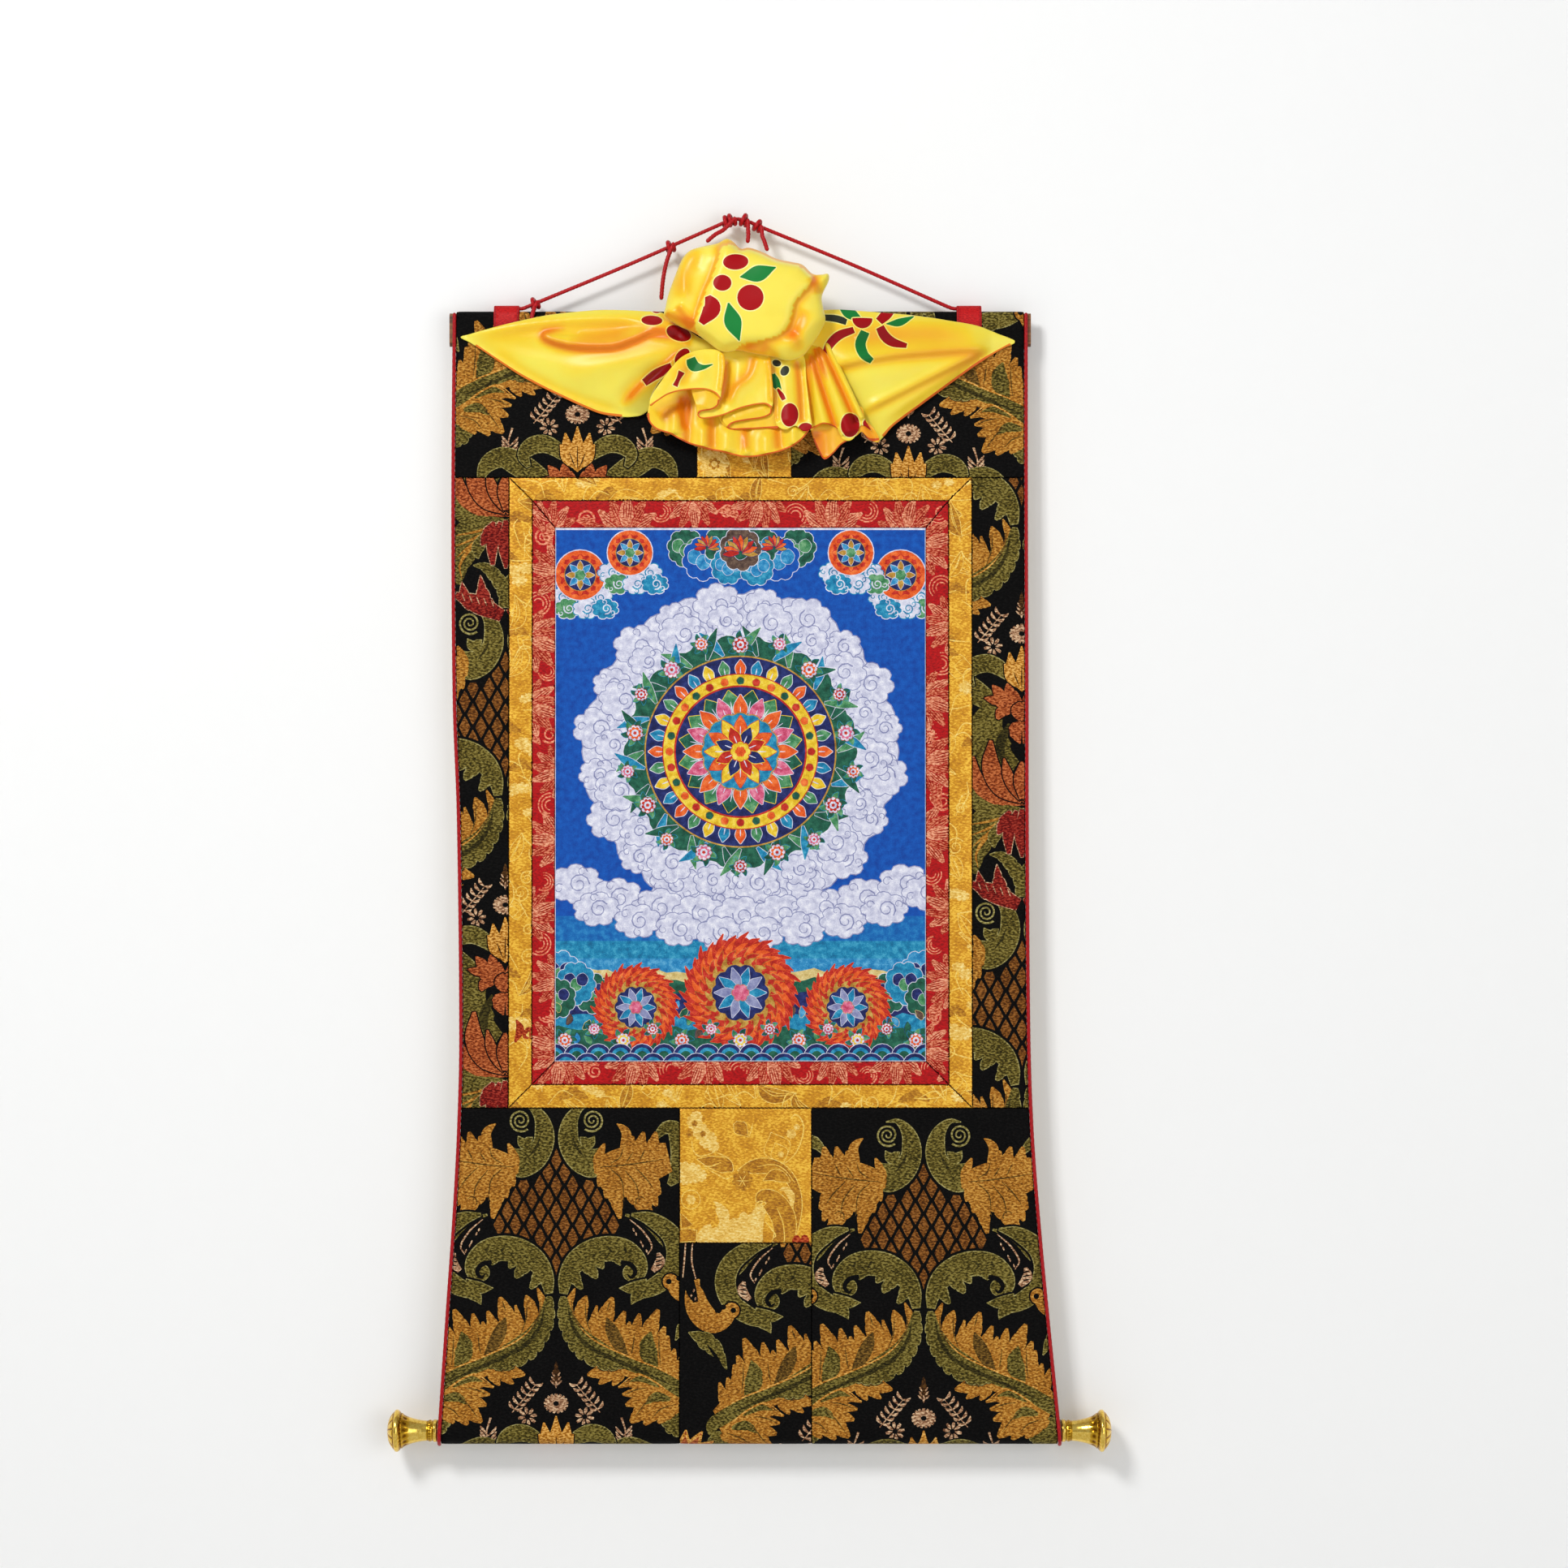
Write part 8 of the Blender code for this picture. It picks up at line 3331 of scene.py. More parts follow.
@dataclass
class Veil:
    """The yellow silk veil: two wings sewn to the batten's ends, caught up in the middle into a puffed
    rosette, with a ruffled flounce and a fan of pleats below it.

    Args:
        left_fall: How the left wing stands out.
        right_fall: How the right wing stands out.
    """

    silk = 1.4
    left_fall: WingFall = WingFall((
        (-223.4, -87.6, -90.6, 6.2, 0.0), (-202.0, -84.2, -102.6, 7.6, 2.0),
        (-170.0, -78.5, -122.0, 8.2, 4.5), (-137.0, -73.7, -138.0, 8.4, 7.0),
        (-110.0, -71.3, -148.4, 8.6, 9.0), (-88.0, -71.0, -155.2, 9.0, 10.0),
        (-73.0, -71.5, -156.0, 9.5, 10.5), (-62.0, -73.0, -149.0, 10.0, 10.5),
        (-50.0, -78.0, -136.0, 11.0, 10.0), (-36.0, -90.0, -118.0, 13.0, 7.0),
        (-16.0, -97.0, -108.0, 16.0, 3.0)))
    right_fall: WingFall = WingFall((
        (222.2, -92.0, -96.0, 6.2, 0.0), (190.5, -83.0, -115.2, 7.8, 3.0), (164.3, -79.0, -136.8, 8.2, 5.5),
        (138.1, -75.5, -157.7, 8.6, 8.0), (116.0, -73.5, -175.8, 9.0, 9.5), (104.0, -73.0, -166.0, 9.5, 10.5),
        (92.0, -72.5, -150.0, 10.0, 11.0), (78.0, -72.0, -128.0, 11.0, 10.5),
        (60.0, -76.0, -114.0, 13.0, 8.0), (34.0, -90.0, -108.0, 16.0, 3.0)))

    def build(self) -> bpy.types.Object:
        """Makes every layer and joins them into the one silk.

        Returns:
            The veil.
        """
        layers = {
            "wing_left": self.wing_left(), "wing_right": self.wing_right(), "fan": self.fan(),
            "pleat_backs": self.pleat_backs(), "pleats": self.pleats(), "strip": self.strip(),
            "fold_five": self.fold_five(), "fold_four": self.fold_four(), "fold_three": self.fold_three(),
            "fold_two": self.fold_two(), "fold_one": self.fold_one(),
        }
        pieces = [fold.build(name) for name, fold in layers.items()] + [self.rosette()]
        made = join_pieces("silk_veil", pieces)
        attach(made, "root")
        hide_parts("veil")
        area = sum(face.area for face in made.data.polygons) / 2
        LOG.info("%s: %d faces, %.4f m2", made.name, len(made.data.polygons), area)
        return made

    def wing_left(self) -> Fold:
        """The left wing, with its pocket fold, its V-shaped fold by the gather and its printed berries.

        Returns:
            The layer.
        """
        d = 15.0
        ring = ((566, 413.5), (580, 409.5), (615, 400.5), (640, 394.5), (670, 388), (700, 384), (735, 381),
                (765, 381), (793, 382.5), (815, 384.5), (838, 397), (862, 416), (886, 424), (890, 438),
                (866, 444), (850, 460), (829, 480), (812, 495), (800, 504), (790, 510.5), (778, 512.5),
                (766, 512.5), (741, 509), (720, 501), (697, 490.5), (670, 477.5), (642, 462.5), (618, 447),
                (596, 432), (579, 421))
        creases = (
            Crease(((575, 412), (640, 400), (710, 393), (780, 394), (836, 408)), 7.0, 4.0, 3.4, 0.22, 0.3,
                   0.2),
            # no lift: only painted shade in a band along the wing's upper part
            Crease(((580, 412), (660, 398), (840, 402)), 12.0, 12.0, 0.0, 0.14, 0.1, 0.05),
            Crease(((836, 412), (807, 408), (779, 419), (752, 427), (703, 425), (672, 414), (700, 407)), 2.2,
                   8.0, 5.0, -0.8, 0.15, 0.2),
            Crease(((700, 411), (740, 407), (780, 402)), 6.0, 5.0, -1.6, 0.3),
            Crease(((846, 432), (829, 446), (800, 470), (768, 502)), 7.0, 2.2, 4.6, 0.65, 0.15, 0.2),
            Crease(((768, 502), (772, 484), (793, 465), (820, 449)), 6.0, 5.0, -3.0, 0.35),
            Crease(((845, 430), (800, 436), (740, 452), (690, 470)), 9.0, 12.0, 2.6, 0.15),
            Crease(((585, 418), (640, 425), (700, 436), (760, 434), (830, 420)), 6.0, 7.0, -1.4, 0.0),
            Crease(((850, 424), (832, 404), (806, 390)), 2.6, 3.4, 2.6, 0.35, 0.2, 0.4),
            Crease(((852, 430), (826, 418), (796, 414)), 3.0, 2.6, 2.4, 0.5, 0.2, 0.4),
            Crease(((606, 434), (660, 469), (720, 497), (768, 508)), 3.0, 3.0, 0.9, -0.18, 0.2, 0.2),
        )
        prints = (
            (Silk.BERRY,
             np.vstack([oval(809.5, 374.5, 9.5, 11, 0, d)[:15], oval(809.5, 374.5, 9.5, 1.0, 0, d)[14:]])),
            (Silk.BERRY, oval(803.5, 395.4, 13.0, 6.6, 4, d)),
            (Silk.BERRY, oval(836.6, 411.7, 15.4, 9.6, 18, d)),
            (Silk.BERRY, oval(841, 441, 7.5, 12.0, 35, d)),
            (Silk.BERRY, blade(seen(((794, 472), (810, 461), (828, 453)), d), [3.4, 4.2, 3.0])),
            (Silk.DUSK, blade(seen(((802, 492), (815, 476), (828, 457)), d), [0.3, 2.9, 0.4])),
        )
        hem = ((585, 424), (618, 446.4), (642, 461.5), (670, 476.5), (697, 489.5), (720, 500), (741, 508),
               (766, 511.4))
        return Fold(ring, d, self.left_fall.front, creases, prints, (hem,), 0.02, hem_width=1.2)

    def wing_right(self) -> Fold:
        """The right wing, with two long creases and its ring of beans, leaves and half berries.

        Returns:
            The layer.
        """
        d = 15.0
        ring = ((990, 398), (1002, 384), (1030, 380.5), (1066, 382.5), (1100, 385), (1127, 387.5),
                (1150, 390.5), (1171, 394), (1190, 397), (1208, 401), (1230, 409.5), (1252, 419), (1236, 428),
                (1214, 441.5), (1190, 458), (1166, 475.5), (1134, 499), (1102, 523), (1090, 536),
                (1080, 543.5), (1071, 532), (1060, 506), (1046, 475), (1030, 450), (1008, 430), (990, 420))
        creases = (
            Crease(((1012, 452), (1035, 450), (1072, 442.5), (1114, 436), (1171, 431), (1222, 428)), 13.0,
                   2.6, 4.2, 0.42, 0.1, 0.15),
            # no lift: only painted shade in a band along the wing's upper part
            Crease(((1000, 398), (1100, 402), (1225, 417)), 14.0, 12.0, 0.0, 0.16, 0.05, 0.2),
            Crease(((1060, 508), (1102, 487), (1143, 466), (1190, 442), (1216, 430)), 5.0, 2.2, 3.0, 0.4,
                   0.15, 0.15),
            Crease(((1082, 520), (1120, 494), (1170, 461), (1212, 434)), 6.0, 4.0, 1.8, 0.2),
            Crease(((1020, 392), (1080, 398), (1150, 402), (1225, 416)), 7.0, 9.0, 2.2, 0.1),
            Crease(((1014, 425), (1060, 424), (1120, 419), (1200, 419)), 6.0, 7.0, -1.6, -0.25),
            Crease(((1040, 470), (1090, 462), (1150, 450), (1205, 434)), 8.0, 8.0, 1.4, 0.0),
        )
        prints = (
            (Silk.DUSK, blade(seen(((1016, 391.5), (1030, 393), (1043, 397)), d), [2.6, 3.0, 2.8])),
            (Silk.LEAF, blade(seen(((1038, 376), (1048, 386), (1064, 396)), d), [3.4, 5.0, 0.4])),
            (Silk.BERRY,
             np.vstack([oval(1062.5, 392.5, 12.5, 1.0, 0, d)[14:],
                        oval(1062.5, 392.5, 12.5, 12.5, 0, d)[:15]])),
            (Silk.BERRY, blade(seen(((1096, 381), (1091, 388), (1083, 396)), d), [4.4, 4.4, 3.4])),
            (Silk.LEAF, blade(seen(((1092, 399), (1108, 397), (1126, 389)), d), [0.4, 3.2, 0.5])),
            (Silk.BERRY, blade(seen(((1016, 440), (1022, 426), (1034, 414), (1052, 407)), d),
                               [2.4, 3.4, 3.6, 2.6])),
            (Silk.LEAF, blade(seen(((1066, 409), (1060, 424), (1064, 438), (1074, 446)), d),
                              [3.6, 4.2, 3.8, 2.2])),
            (Silk.BERRY, blade(seen(((1084, 403), (1090, 414), (1100, 422), (1117, 426.5)), d),
                               [3.4, 4.0, 3.8, 2.0])),
        )
        hem = ((1246, 422.5), (1214, 440.5), (1190, 457), (1166, 474.5), (1134, 498), (1102, 522),
               (1088, 536.5))
        return Fold(ring, d, self.right_fall.front, creases, prints, (hem,), 0.05, hem_width=1.2)

    def fan(self) -> Fold:
        """The rearmost fan of the flounce, whose puffed hem shows below the others.

        Returns:
            The layer.
        """
        hem = ((996, 512), (999, 524), (993, 536), (981, 547.5), (965, 555), (950, 559.5), (934, 562.5),
               (918, 563.5), (905, 561), (889, 557), (870, 553), (850, 547), (836, 540.5), (826, 535),
               (809, 529), (800, 520), (798, 509))
        top = ((804, 490), (826, 462), (846, 442), (880, 430), (930, 430), (972, 436), (986, 470))
        puffs = ((866, 520, 552, 9.0), (896, 524, 558, 11.0), (944, 530, 561, 10.0), (977, 520, 549, 8.0),
                 (920, 530, 562, 6.0), (832, 500, 536, 9.0))
        creases = tuple(Crease(((x, a), (x + 0.5, (a + b) / 2), (x, b)), w * 0.55, w * 0.55, 3.4, 0.0, 0.4,
                               0.1)
                        for x, a, b, w in puffs)
        creases += tuple(Crease(((x - 0.06 * (x - 900), 470), (x, 520), (x + k, 556)), 2.6, 2.6, -2.2, 0.55,
                                0.3, 0.1)
                         for x, k in ((850, -2), (880, 0), (921, 1), (960, 3)))
        creases += (Crease(((808, 512), (826, 500), (850, 490)), 5.0, 4.0, -2.4, 0.5, 0.2, 0.2),
                    Crease(((842, 484), (843, 508), (846, 530)), 2.0, 2.0, -2.2, 0.5, 0.2, 0.2))
        return Fold(top + hem, 24.0, SkirtFall(17.0, 27.0, reach=84.0).front, creases, (), (hem,), 0.2, 2.0,
                    1.3)

    def fold_one(self) -> Fold:
        """The foremost fold of the flounce, on the left, with its comma leaf and red drop.

        Returns:
            The layer.
        """
        hem = ((889, 482), (887, 491), (881, 484), (868, 479.5), (846, 480.5), (826, 485.5), (810, 495),
               (801.5, 501))
        top = ((802, 490), (815, 470), (828, 452), (842, 438), (862, 430), (884, 430), (893, 440), (892, 462))
        creases = (
            Crease(((889, 432), (890, 455), (887, 482)), 5.0, 1.6, 2.6, -0.5, 0.1, 0.1),
            Crease(((872, 436), (866, 456), (868, 476)), 5.0, 6.0, 1.6, 0.1),
            Crease(((850, 440), (830, 468), (812, 490)), 5.0, 6.0, 1.6, 0.1),
            Crease(((862, 440), (848, 462), (842, 478)), 4.0, 4.0, -1.4, 0.35),
        )
        d = 38.0
        prints = (
            (Silk.LEAF, blade(seen(((851, 441), (855, 450), (866, 452), (878, 448)), d),
                              [3.6, 4.6, 2.0, 0.3])),
            (Silk.BERRY, blade(seen(((840, 458), (836, 467), (832, 476)), d), [2.6, 1.6, 2.0])),
        )
        return Fold(top + hem, d, SkirtFall(30.0, 41.0, reach=52.0).front, creases, prints, (hem[1:],), 0.06,
                    1.8, 1.1)

    def fold_two(self) -> Fold:
        """The inside of the first curl, seen under the foremost hem.

        Returns:
            The layer.
        """
        hem = ((886, 492), (884, 499.5), (876, 504.5), (864, 506.5), (860, 510))
        top = ((857, 498), (852, 478), (860, 462), (880, 460), (889, 474))
        creases = (Crease(((868, 470), (872, 488), (868, 504)), 6.0, 6.0, 1.8, 0.0, 0.1, 0.1),)
        return Fold(top + hem, 36.0, SkirtFall(30.0, 36.5, reach=56.0).front, creases, (), (hem,), 0.3, 1.6,
                    1.1)

    def fold_three(self) -> Fold:
        """The middle fold of the flounce, whose hem runs out to the second curl.

        Returns:
            The layer.
        """
        hem = ((859, 510), (862, 514.5), (870, 515.5), (890, 511.5), (910, 503.5), (929, 498.5), (943, 497.5),
               (951, 502))
        top = ((953, 486), (951, 462), (948, 438), (930, 432), (900, 430), (880, 440), (866, 470), (858, 498))
        creases = (
            Crease(((945, 440), (949, 466), (950, 496)), 4.0, 1.6, 2.4, -0.5, 0.1, 0.1),
            Crease(((896, 440), (896, 470), (884, 506)), 4.0, 3.0, -2.6, 0.7, 0.1, 0.2),
            Crease(((934, 438), (926, 462), (908, 480), (898, 500)), 7.0, 3.0, 2.6, 0.5, 0.1, 0.2),
            Crease(((912, 436), (910, 462), (904, 484)), 5.0, 5.0, 1.4, 0.0),
        )
        return Fold(top + hem, 33.0, SkirtFall(25.0, 35.0, reach=66.0).front, creases, (), (hem,), 0.1, 1.8,
                    1.1)

    def fold_four(self) -> Fold:
        """The inside of the second curl.

        Returns:
            The layer.
        """
        hem = ((951, 503), (949, 510), (939, 514.5), (919, 517.5), (903, 521), (897, 525.5))
        top = ((890, 516), (900, 504), (930, 490), (950, 490))
        creases = (Crease(((946, 502), (926, 508), (902, 516)), 4.0, 4.0, 1.4, 0.0, 0.1, 0.1),)
        return Fold(top + hem, 29.0, SkirtFall(23.0, 30.5, reach=72.0).front, creases, (), (hem,), 0.25, 1.6,
                    1.1)

    def fold_five(self) -> Fold:
        """The last fold of the flounce, which runs on into the pleats.

        Returns:
            The layer.
        """
        hem = ((895, 526), (902, 529), (916, 528.5), (930, 528), (945, 527), (960, 526))
        top = ((968, 500), (964, 460), (950, 440), (900, 440), (884, 490), (886, 515))
        return Fold(top + hem, 27.0, SkirtFall(21.0, 28.0, reach=74.0).front, (), (), (hem,), 0.3, 1.8, 1.1)

    def strip(self) -> Fold:
        """The upright strip between flounce and pleats, with its dark leaf, drop and berry.

        Returns:
            The layer.
        """
        d = 32.0
        ring = ((946, 432), (972, 436), (990, 436), (994, 470), (998, 505), (1000, 526), (990, 531),
                (980, 524), (968, 529), (957, 523), (954, 505), (952, 470))
        creases = (
            Crease(((966, 440), (970, 480), (972, 522)), 6.0, 6.0, 2.6, 0.0, 0.1, 0.05),
            Crease(((954, 444), (957, 480), (958, 520)), 2.0, 2.4, -1.6, 0.5, 0.1, 0.1),
            Crease(((984, 440), (988, 480), (990, 522)), 3.0, 2.0, -2.2, 0.7, 0.1, 0.1),
        )
        prints = (
            (Silk.DUSK, oval(957, 446, 5.5, 4.0, 20, d)), (Silk.DUSK, oval(967, 456, 5.0, 6.5, 30, d)),
            (Silk.LEAF, blade(seen(((951, 460), (955, 470), (963, 483)), d), [2.6, 3.8, 0.6])),
            (Silk.BERRY, blade(seen(((958, 478), (963, 486), (966, 492)), d), [0.8, 1.8, 1.6])),
            (Silk.BERRY, oval(973, 510.8, 10.6, 14.5, 4, d)),
            (Silk.BERRY, oval(993, 530, 10.0, 9.5, 20, d)),
        )
        return Fold(ring, d, SkirtFall(24.0, 32.0, (40.0, -106.0), 62.0).front, creases, prints, (), 0.1, 1.8)

    def pleat_backs(self) -> Fold:
        """The inside of the pleats' open ends, below their rims.

        Returns:
            The layer.
        """
        ring = ((1000, 500), (1030, 500), (1060, 500), (1066, 516), (1074, 524), (1083, 538), (1082, 545),
                (1070, 541), (1062, 532), (1055, 537), (1044, 543), (1036, 548), (1027, 558), (1016, 566),
                (1009, 556), (1002, 540), (998, 522))
        creases = (
            Crease(((1014, 528), (1016, 545), (1016, 564)), 5.0, 6.0, -2.6, 0.4, 0.1, 0.1),
            Crease(((1070, 520), (1074, 532), (1080, 543)), 3.0, 3.0, -2.0, 0.3, 0.1, 0.1),
        )
        hem = ((1083, 541), (1071, 541), (1061, 533))
        hem_long = ((1046, 542), (1036, 548), (1027, 558), (1016, 565), (1009, 556), (1002, 540))
        return Fold(ring, 22.0, SkirtFall(18.0, 23.0, (44.0, -104.0), 80.0).front, creases, (),
                    (hem, hem_long), 0.45, 1.8, 1.1)

    def pleats(self) -> Fold:
        """The three tube pleats at the right, with a berry over the second's rim.

        Returns:
            The layer.
        """
        d = 28.0
        ring = ((988, 436), (998, 420), (1012, 404), (1022, 420), (1034, 446), (1048, 476), (1060, 502),
                (1068, 520), (1074, 530), (1066, 524), (1060, 524), (1056, 534), (1048, 542), (1038, 540),
                (1032, 528), (1026, 524), (1014, 522), (1004, 526), (998, 528), (994, 500), (990, 465))
        creases = (
            Crease(((995, 434), (1006, 480), (1016, 524)), 5.5, 5.5, 6.0, 0.0, 0.2, 0.02),
            Crease(((1004, 424), (1026, 476), (1046, 534)), 6.0, 6.0, 6.0, 0.0, 0.2, 0.02),
            Crease(((1013, 412), (1038, 464), (1062, 516)), 3.0, 3.0, 3.4, 0.0, 0.2, 0.02),
            Crease(((1000, 432), (1015, 478), (1031, 526)), 1.7, 1.7, -2.6, 0.9, 0.1, 0.02),
            Crease(((1009, 414), (1034, 468), (1057, 520)), 1.7, 1.7, -2.6, 0.8, 0.1, 0.02),
            Crease(((1006, 426), (1014, 448), (1021, 470)), 1.4, 1.4, -1.8, 0.9, 0.05, 0.6),
            Crease(((997, 440), (999, 480), (1001, 522)), 1.8, 1.8, -1.4, 0.6, 0.1, 0.1),
        )
        prints = (
            (Silk.BERRY, oval(1047.6, 523, 11.6, 14.8, 4, d)),
            (Silk.BERRY, oval(1071, 522, 8.0, 6.5, 30, d)),
        )
        hems = (((998, 527), (1004, 525), (1014, 521.5), (1026, 523.5), (1032, 528)),)
        return Fold(ring, d, SkirtFall(20.0, 25.0, (60.0, -96.0), 84.0).front, creases, prints, hems, 0.14,
                    1.6, 0.7)

    def rosette(self) -> bpy.types.Object:
        """The puffed rosette: a smooth front facet over softer folds, printed with berries and leaves.

        Returns:
            The rosette.
        """
        d = 34.0
        ring = ((819, 389), (820, 378), (823, 364), (830, 344), (838, 324), (844, 314), (853, 307),
                (870, 302.5), (884, 299.5), (894.5, 294), (903, 297), (912.6, 306), (923, 305), (939, 310),
                (957, 318.5), (975, 322.5), (989, 326), (1001, 337), (1012, 338), (1020.5, 337), (1021, 346),
                (1013, 364), (1014.5, 380), (1017, 394), (1010, 410), (1000, 425), (989, 438), (971, 443.5),
                (951, 439), (931, 435.5), (911, 431.5), (902.5, 432), (894.5, 433.5), (884, 430), (868, 418),
                (854, 409), (836, 401))
        facet = ((889, 303), (904, 300), (912.6, 307), (923, 306), (939, 311), (957, 319), (975, 323),
                 (988, 328), (1001, 344), (980, 372), (973, 396), (960, 412), (938, 419), (914, 424),
                 (900, 431), (884, 429), (868, 417), (856, 401), (863, 376), (870, 357), (877, 341),
                 (886, 316))
        creases = (
            Crease(((842, 310), (836, 326), (842, 350), (846, 374)), 5.0, 6.0, 2.6, 0.1),
            Crease(((866, 304), (862, 322), (852, 346), (850, 372)), 6.0, 5.0, -2.2, 0.35),
            Crease(((820, 384), (836, 391), (856, 402)), 3.0, 2.2, 2.4, 0.6, 0.1, 0.2),
            Crease(((836, 376), (846, 388), (858, 401)), 3.0, 2.4, 2.6, 0.6, 0.2, 0.2),
            Crease(((858, 330), (850, 352), (842, 376)), 6.0, 5.0, 1.8, 0.0),
            Crease(((1004, 340), (1010, 352), (1012, 364)), 3.0, 3.0, -2.0, 0.4, 0.1, 0.2),
            Crease(((1016, 390), (1000, 402), (984, 420), (958, 432)), 5.0, 5.0, 2.2, 0.1),
            Crease(((975, 404), (985, 416), (992, 434)), 3.0, 4.0, -1.8, 0.35),
            Crease(((940, 422), (952, 430), (962, 441)), 4.0, 3.0, 1.8, 0.35),
            Crease(((915, 426), (932, 428), (948, 434)), 3.0, 2.4, -1.4, 0.4),
            Crease(((1001, 346), (1010, 372), (1014, 392)), 6.0, 4.0, 1.4, 0.0),
            Crease(((986, 380), (982, 398), (968, 420)), 3.0, 5.0, -1.6, -0.4),
            Crease(((900, 306), (893, 330), (880, 366), (874, 396)), 10.0, 6.0, 1.6, 0.0),
            Crease(((930, 322), (950, 350), (950, 392)), 22.0, 18.0, 1.8, 0.0),
        )
        prints = (
            (Silk.BERRY, oval(906.5, 322.7, 15.6, 9.8, -4, d + 16)),
            (Silk.BERRY, oval(890, 348.4, 11.2, 9.8, 0, d + 18)),
            (Silk.BERRY, oval(924.6, 366, 16.2, 15.8, 0, d + 20)),
            (Silk.BERRY, blade(seen(((872, 365), (877, 380), (864, 398)), d + 16), [2.2, 7.0, 2.6])),
            (Silk.LEAF, blade(seen(((912, 341), (934, 337), (956, 329)), d + 18), [0.4, 6.4, 0.4])),
            (Silk.LEAF, blade(seen(((897.5, 373), (903, 396), (911, 419)), d + 18), [0.6, 6.8, 0.4])),
        )
        fold = Fold(ring, d, lambda spots: np.zeros(len(spots)), creases, prints, (), 0.03, 1.7)
        cut = fold.cut((0.15, 0.5, 1.1, 2.0, 3.2, 4.8))
        spots, corners, fills = cut.triangles()
        away, _ = cut.edge_distance(spots)

        def dome(radius: float) -> np.ndarray:
            """A rounded rise from the outline."""
            return np.sqrt(1 - (1 - np.clip(away / radius, 0.0, 1.0)) ** 2)

        lifted = np.zeros(len(spots))
        # painted shade: a little all over, more in the creases' hollows and outside the front facet's edge
        shade = np.full(len(spots), 0.03)
        for crease in creases:
            raised, deeper = crease.lift(spots, d)
            lifted, shade = lifted + raised, shade + deeper
        edge = rounded(seen(facet, d + 16), 2.0)
        aside, _ = beside(np.vstack([edge, edge[:1]]), spots)
        within_facet = within(edge, spots)
        distance = np.abs(aside)
        plate = np.where(within_facet, np.sqrt(1 - (1 - np.clip(distance / 7.0, 0.0, 1.0)) ** 2) * 0.55
                         + 0.45, 0.45 * np.exp(-((distance / 1.3) ** 2)))
        # painted shade in the hollow just outside the front facet's edge
        shade += np.where(within_facet, 0.0, 0.55 * np.exp(-((distance / 5.0) ** 2)))
        rise = dome(16.0)
        front_y = -d - 13.0 * rise - lifted * rise - 5.5 * plate * np.clip(away / 5.0, 0.0, 1.0)
        back_y = -d + 20.0 * dome(26.0)
        shade = np.clip(shade, 0.0, 1.0)
        front, back = (Skin(spots, np.stack([spots[:, 0], y, spots[:, 1]], axis=1), corners)
                       for y in (front_y - 0.1, back_y + 0.1))
        rim = [(p, q, o, p, q) for p, q, o in rim_of(corners)]
        return closed_sheet("rosette", front, back, rim, fills, None, (shade, shade))


# ---------------------------------------------------------------- studio


@dataclass(frozen=True)
class Lamp:
    """A rectangular soft light.

    Args:
        name: Its name.
        at: Where it stands, in metres.
        aim: What it points at, in metres.
        size: Its width and height, in metres.
        watts: Its power.
        hue: Its colour.
    """

    name: str
    at: Spot3
    aim: Spot3
    size: Spot
    watts: float
    hue: str = "#FFFFFF"

    def light(self) -> None:
        """Sets the light up."""
        data = bpy.data.lights.new(self.name, "AREA")
        data.shape, data.size, data.size_y = "RECTANGLE", *self.size
        data.energy, data.color = self.watts, colour(self.hue)[:3]
        made = bpy.data.objects.new(self.name, data)
        made.location = self.at
        made.rotation_euler = (Vector(self.aim) - Vector(self.at)).to_track_quat("-Z", "Y").to_euler()
        bpy.context.scene.collection.objects.link(made)


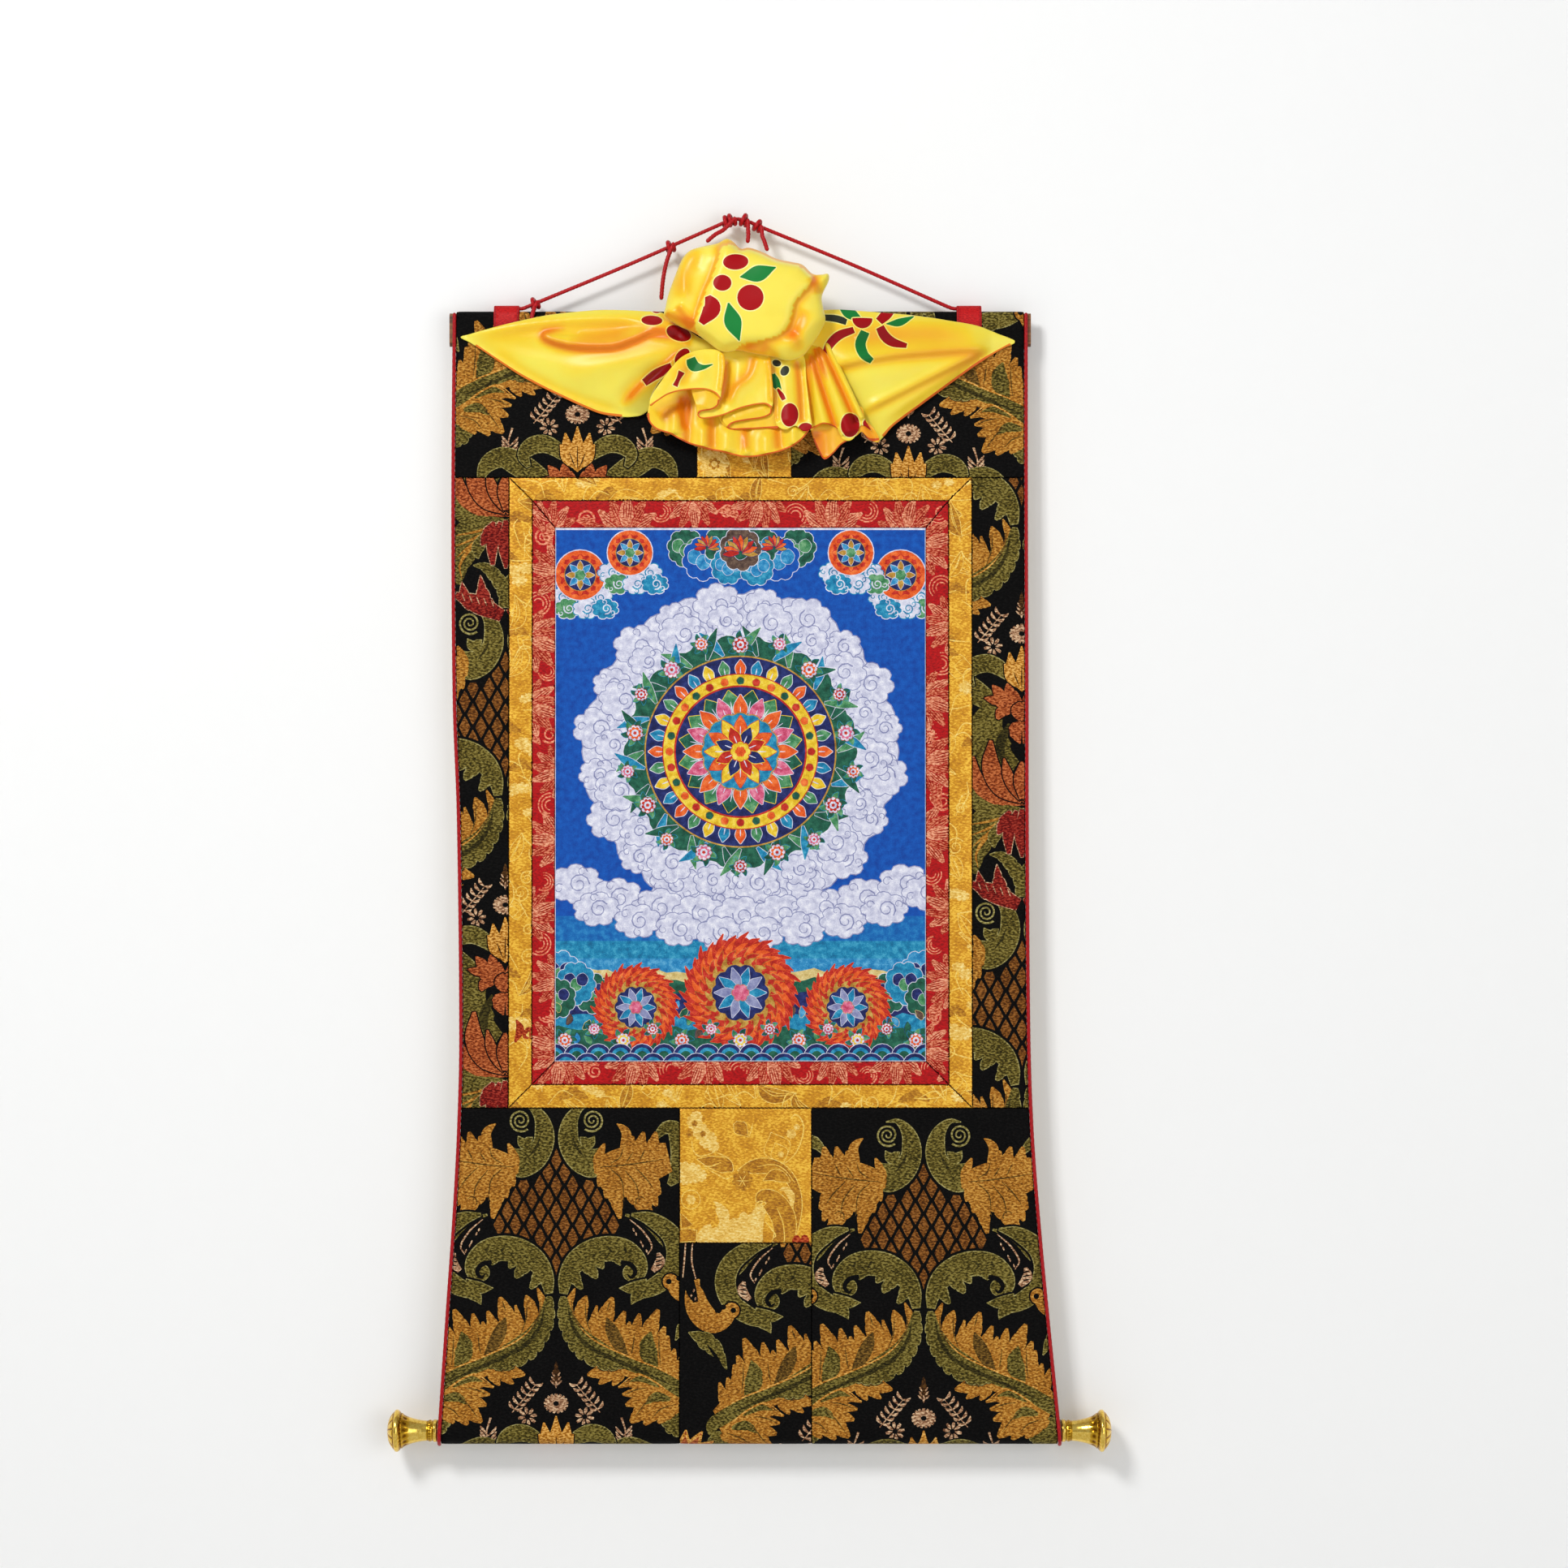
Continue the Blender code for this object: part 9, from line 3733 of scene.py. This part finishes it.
@dataclass
class Studio:
    """Pale wall and floor, soft light from above left, and the camera square in front.

    Args:
        camera_at: Where the camera stands, in metres.
        lens: Its lens, for a sensor 36 mm wide.
        wall_y: How far behind the origin the wall stands, in metres.
        floor_z: Height of the floor, in metres.
        reach: How far wall and floor reach to each side, in metres.
        wall_top: Height of the wall's upper edge, in metres.
        world: How bright the room round them is.
        lamps: The lights.
    """

    camera_at: Spot3 = (0.0373, -3.0, -0.454)
    lens: float = 85.4
    wall_y: float = 0.016
    floor_z: float = -1.3
    reach: float = 6.0
    wall_top: float = 5.0
    world: float = 0.42
    lamps: tuple[Lamp, ...] = (
        Lamp("key", (-1.3, -2.5, 1.3), (0.0, 0.0, -0.5), (0.7, 0.7), 54.0),
        Lamp("fill", (1.8, -2.8, -0.7), (0.2, 0.0, -0.8), (2.2, 2.2), 27.0),
        Lamp("back_fill", (0.6, 2.8, 0.8), (0.0, 0.0, -0.5), (2.0, 2.0), 28.0),
    )

    def camera(self) -> None:
        """Sets up the camera."""
        data = bpy.data.cameras.new("camera")
        data.sensor_width, data.lens = 36.0, self.lens
        made = bpy.data.objects.new("camera", data)
        made.location = self.camera_at
        made.rotation_euler = (math.pi / 2, 0.0, 0.0)
        bpy.context.scene.collection.objects.link(made)
        bpy.context.scene.camera = made

    @staticmethod
    def surface(name: str, corners: Sequence[Spot3], made: bpy.types.Material) -> bpy.types.Object:
        """A large plane.

        Args:
            name: Its name.
            corners: Its corners, in metres.
            made: Its material.

        Returns:
            The plane.
        """
        mesh = bpy.data.meshes.new(name)
        mesh.from_pydata(list(corners), [], [(0, 1, 2, 3)])
        mesh.materials.append(made)
        plane = bpy.data.objects.new(name, mesh)
        bpy.context.scene.collection.objects.link(plane)
        return plane

    @staticmethod
    def paper(name: str, hue: str, one_sided: bool) -> bpy.types.Material:
        """Matt studio paper, seen only from its front where it is one-sided.

        Args:
            name: Its name.
            hue: Its colour.
            one_sided: Whether only its front shows.

        Returns:
            The material.
        """
        made, shader = new_material(name)
        shader.inputs["Base Color"].default_value = colour(hue)
        shader.inputs["Roughness"].default_value = 0.95
        shader.inputs["Specular IOR Level"].default_value = 0.1
        if one_sided:
            side = add_node(made, "ShaderNodeNewGeometry")
            clear = add_node(made, "ShaderNodeBsdfTransparent")
            mixed = add_node(made, "ShaderNodeMixShader", {},
                             {"Fac": (side, "Backfacing"), "1": (shader, "BSDF"),
                              "2": (clear, "BSDF")})
            made.node_tree.links.new(mixed.outputs["Shader"],
                                     made.node_tree.nodes["Material Output"].inputs["Surface"])
        return made

    def build(self) -> None:
        """Sets the stage, the lights and the view's colours."""
        r, w, low, high = self.reach, self.wall_y, self.floor_z, self.wall_top
        wall = self.surface("wall", [(-r, w, low), (r, w, low), (r, w, high), (-r, w, high)],
                            self.paper("matt_white_wall", "#FCFCFB", True))
        wall.visible_diffuse = wall.visible_shadow = False
        self.surface("floor", [(-r, -r, low), (r, -r, low), (r, r, low), (-r, r, low)],
                     self.paper("matt_pale_floor", "#E6E6E4", False))
        for lamp in self.lamps:
            lamp.light()
        world = bpy.data.worlds.new("studio")
        world.use_nodes = True
        world.node_tree.nodes["Background"].inputs["Color"].default_value = colour("#F4F5F7")
        world.node_tree.nodes["Background"].inputs["Strength"].default_value = self.world
        bpy.context.scene.world = world
        bpy.context.scene.view_settings.view_transform = "Standard"


def main() -> None:
    """Sets the camera, then makes each group of pieces in order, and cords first."""
    logging.basicConfig(level=logging.INFO, format="%(message)s")
    studio = Studio()
    studio.camera()
    HangingCord().build()
    RibbonStraps().build()
    Piping().build()
    Veil().build()
    BrocadeMount().build()
    GoldBands().build()
    RedBands().build()
    PaintedPanel().build()
    BrassKnobs().build()
    Woodwork().dress()
    studio.build()


if __name__ == "__main__":
    main()
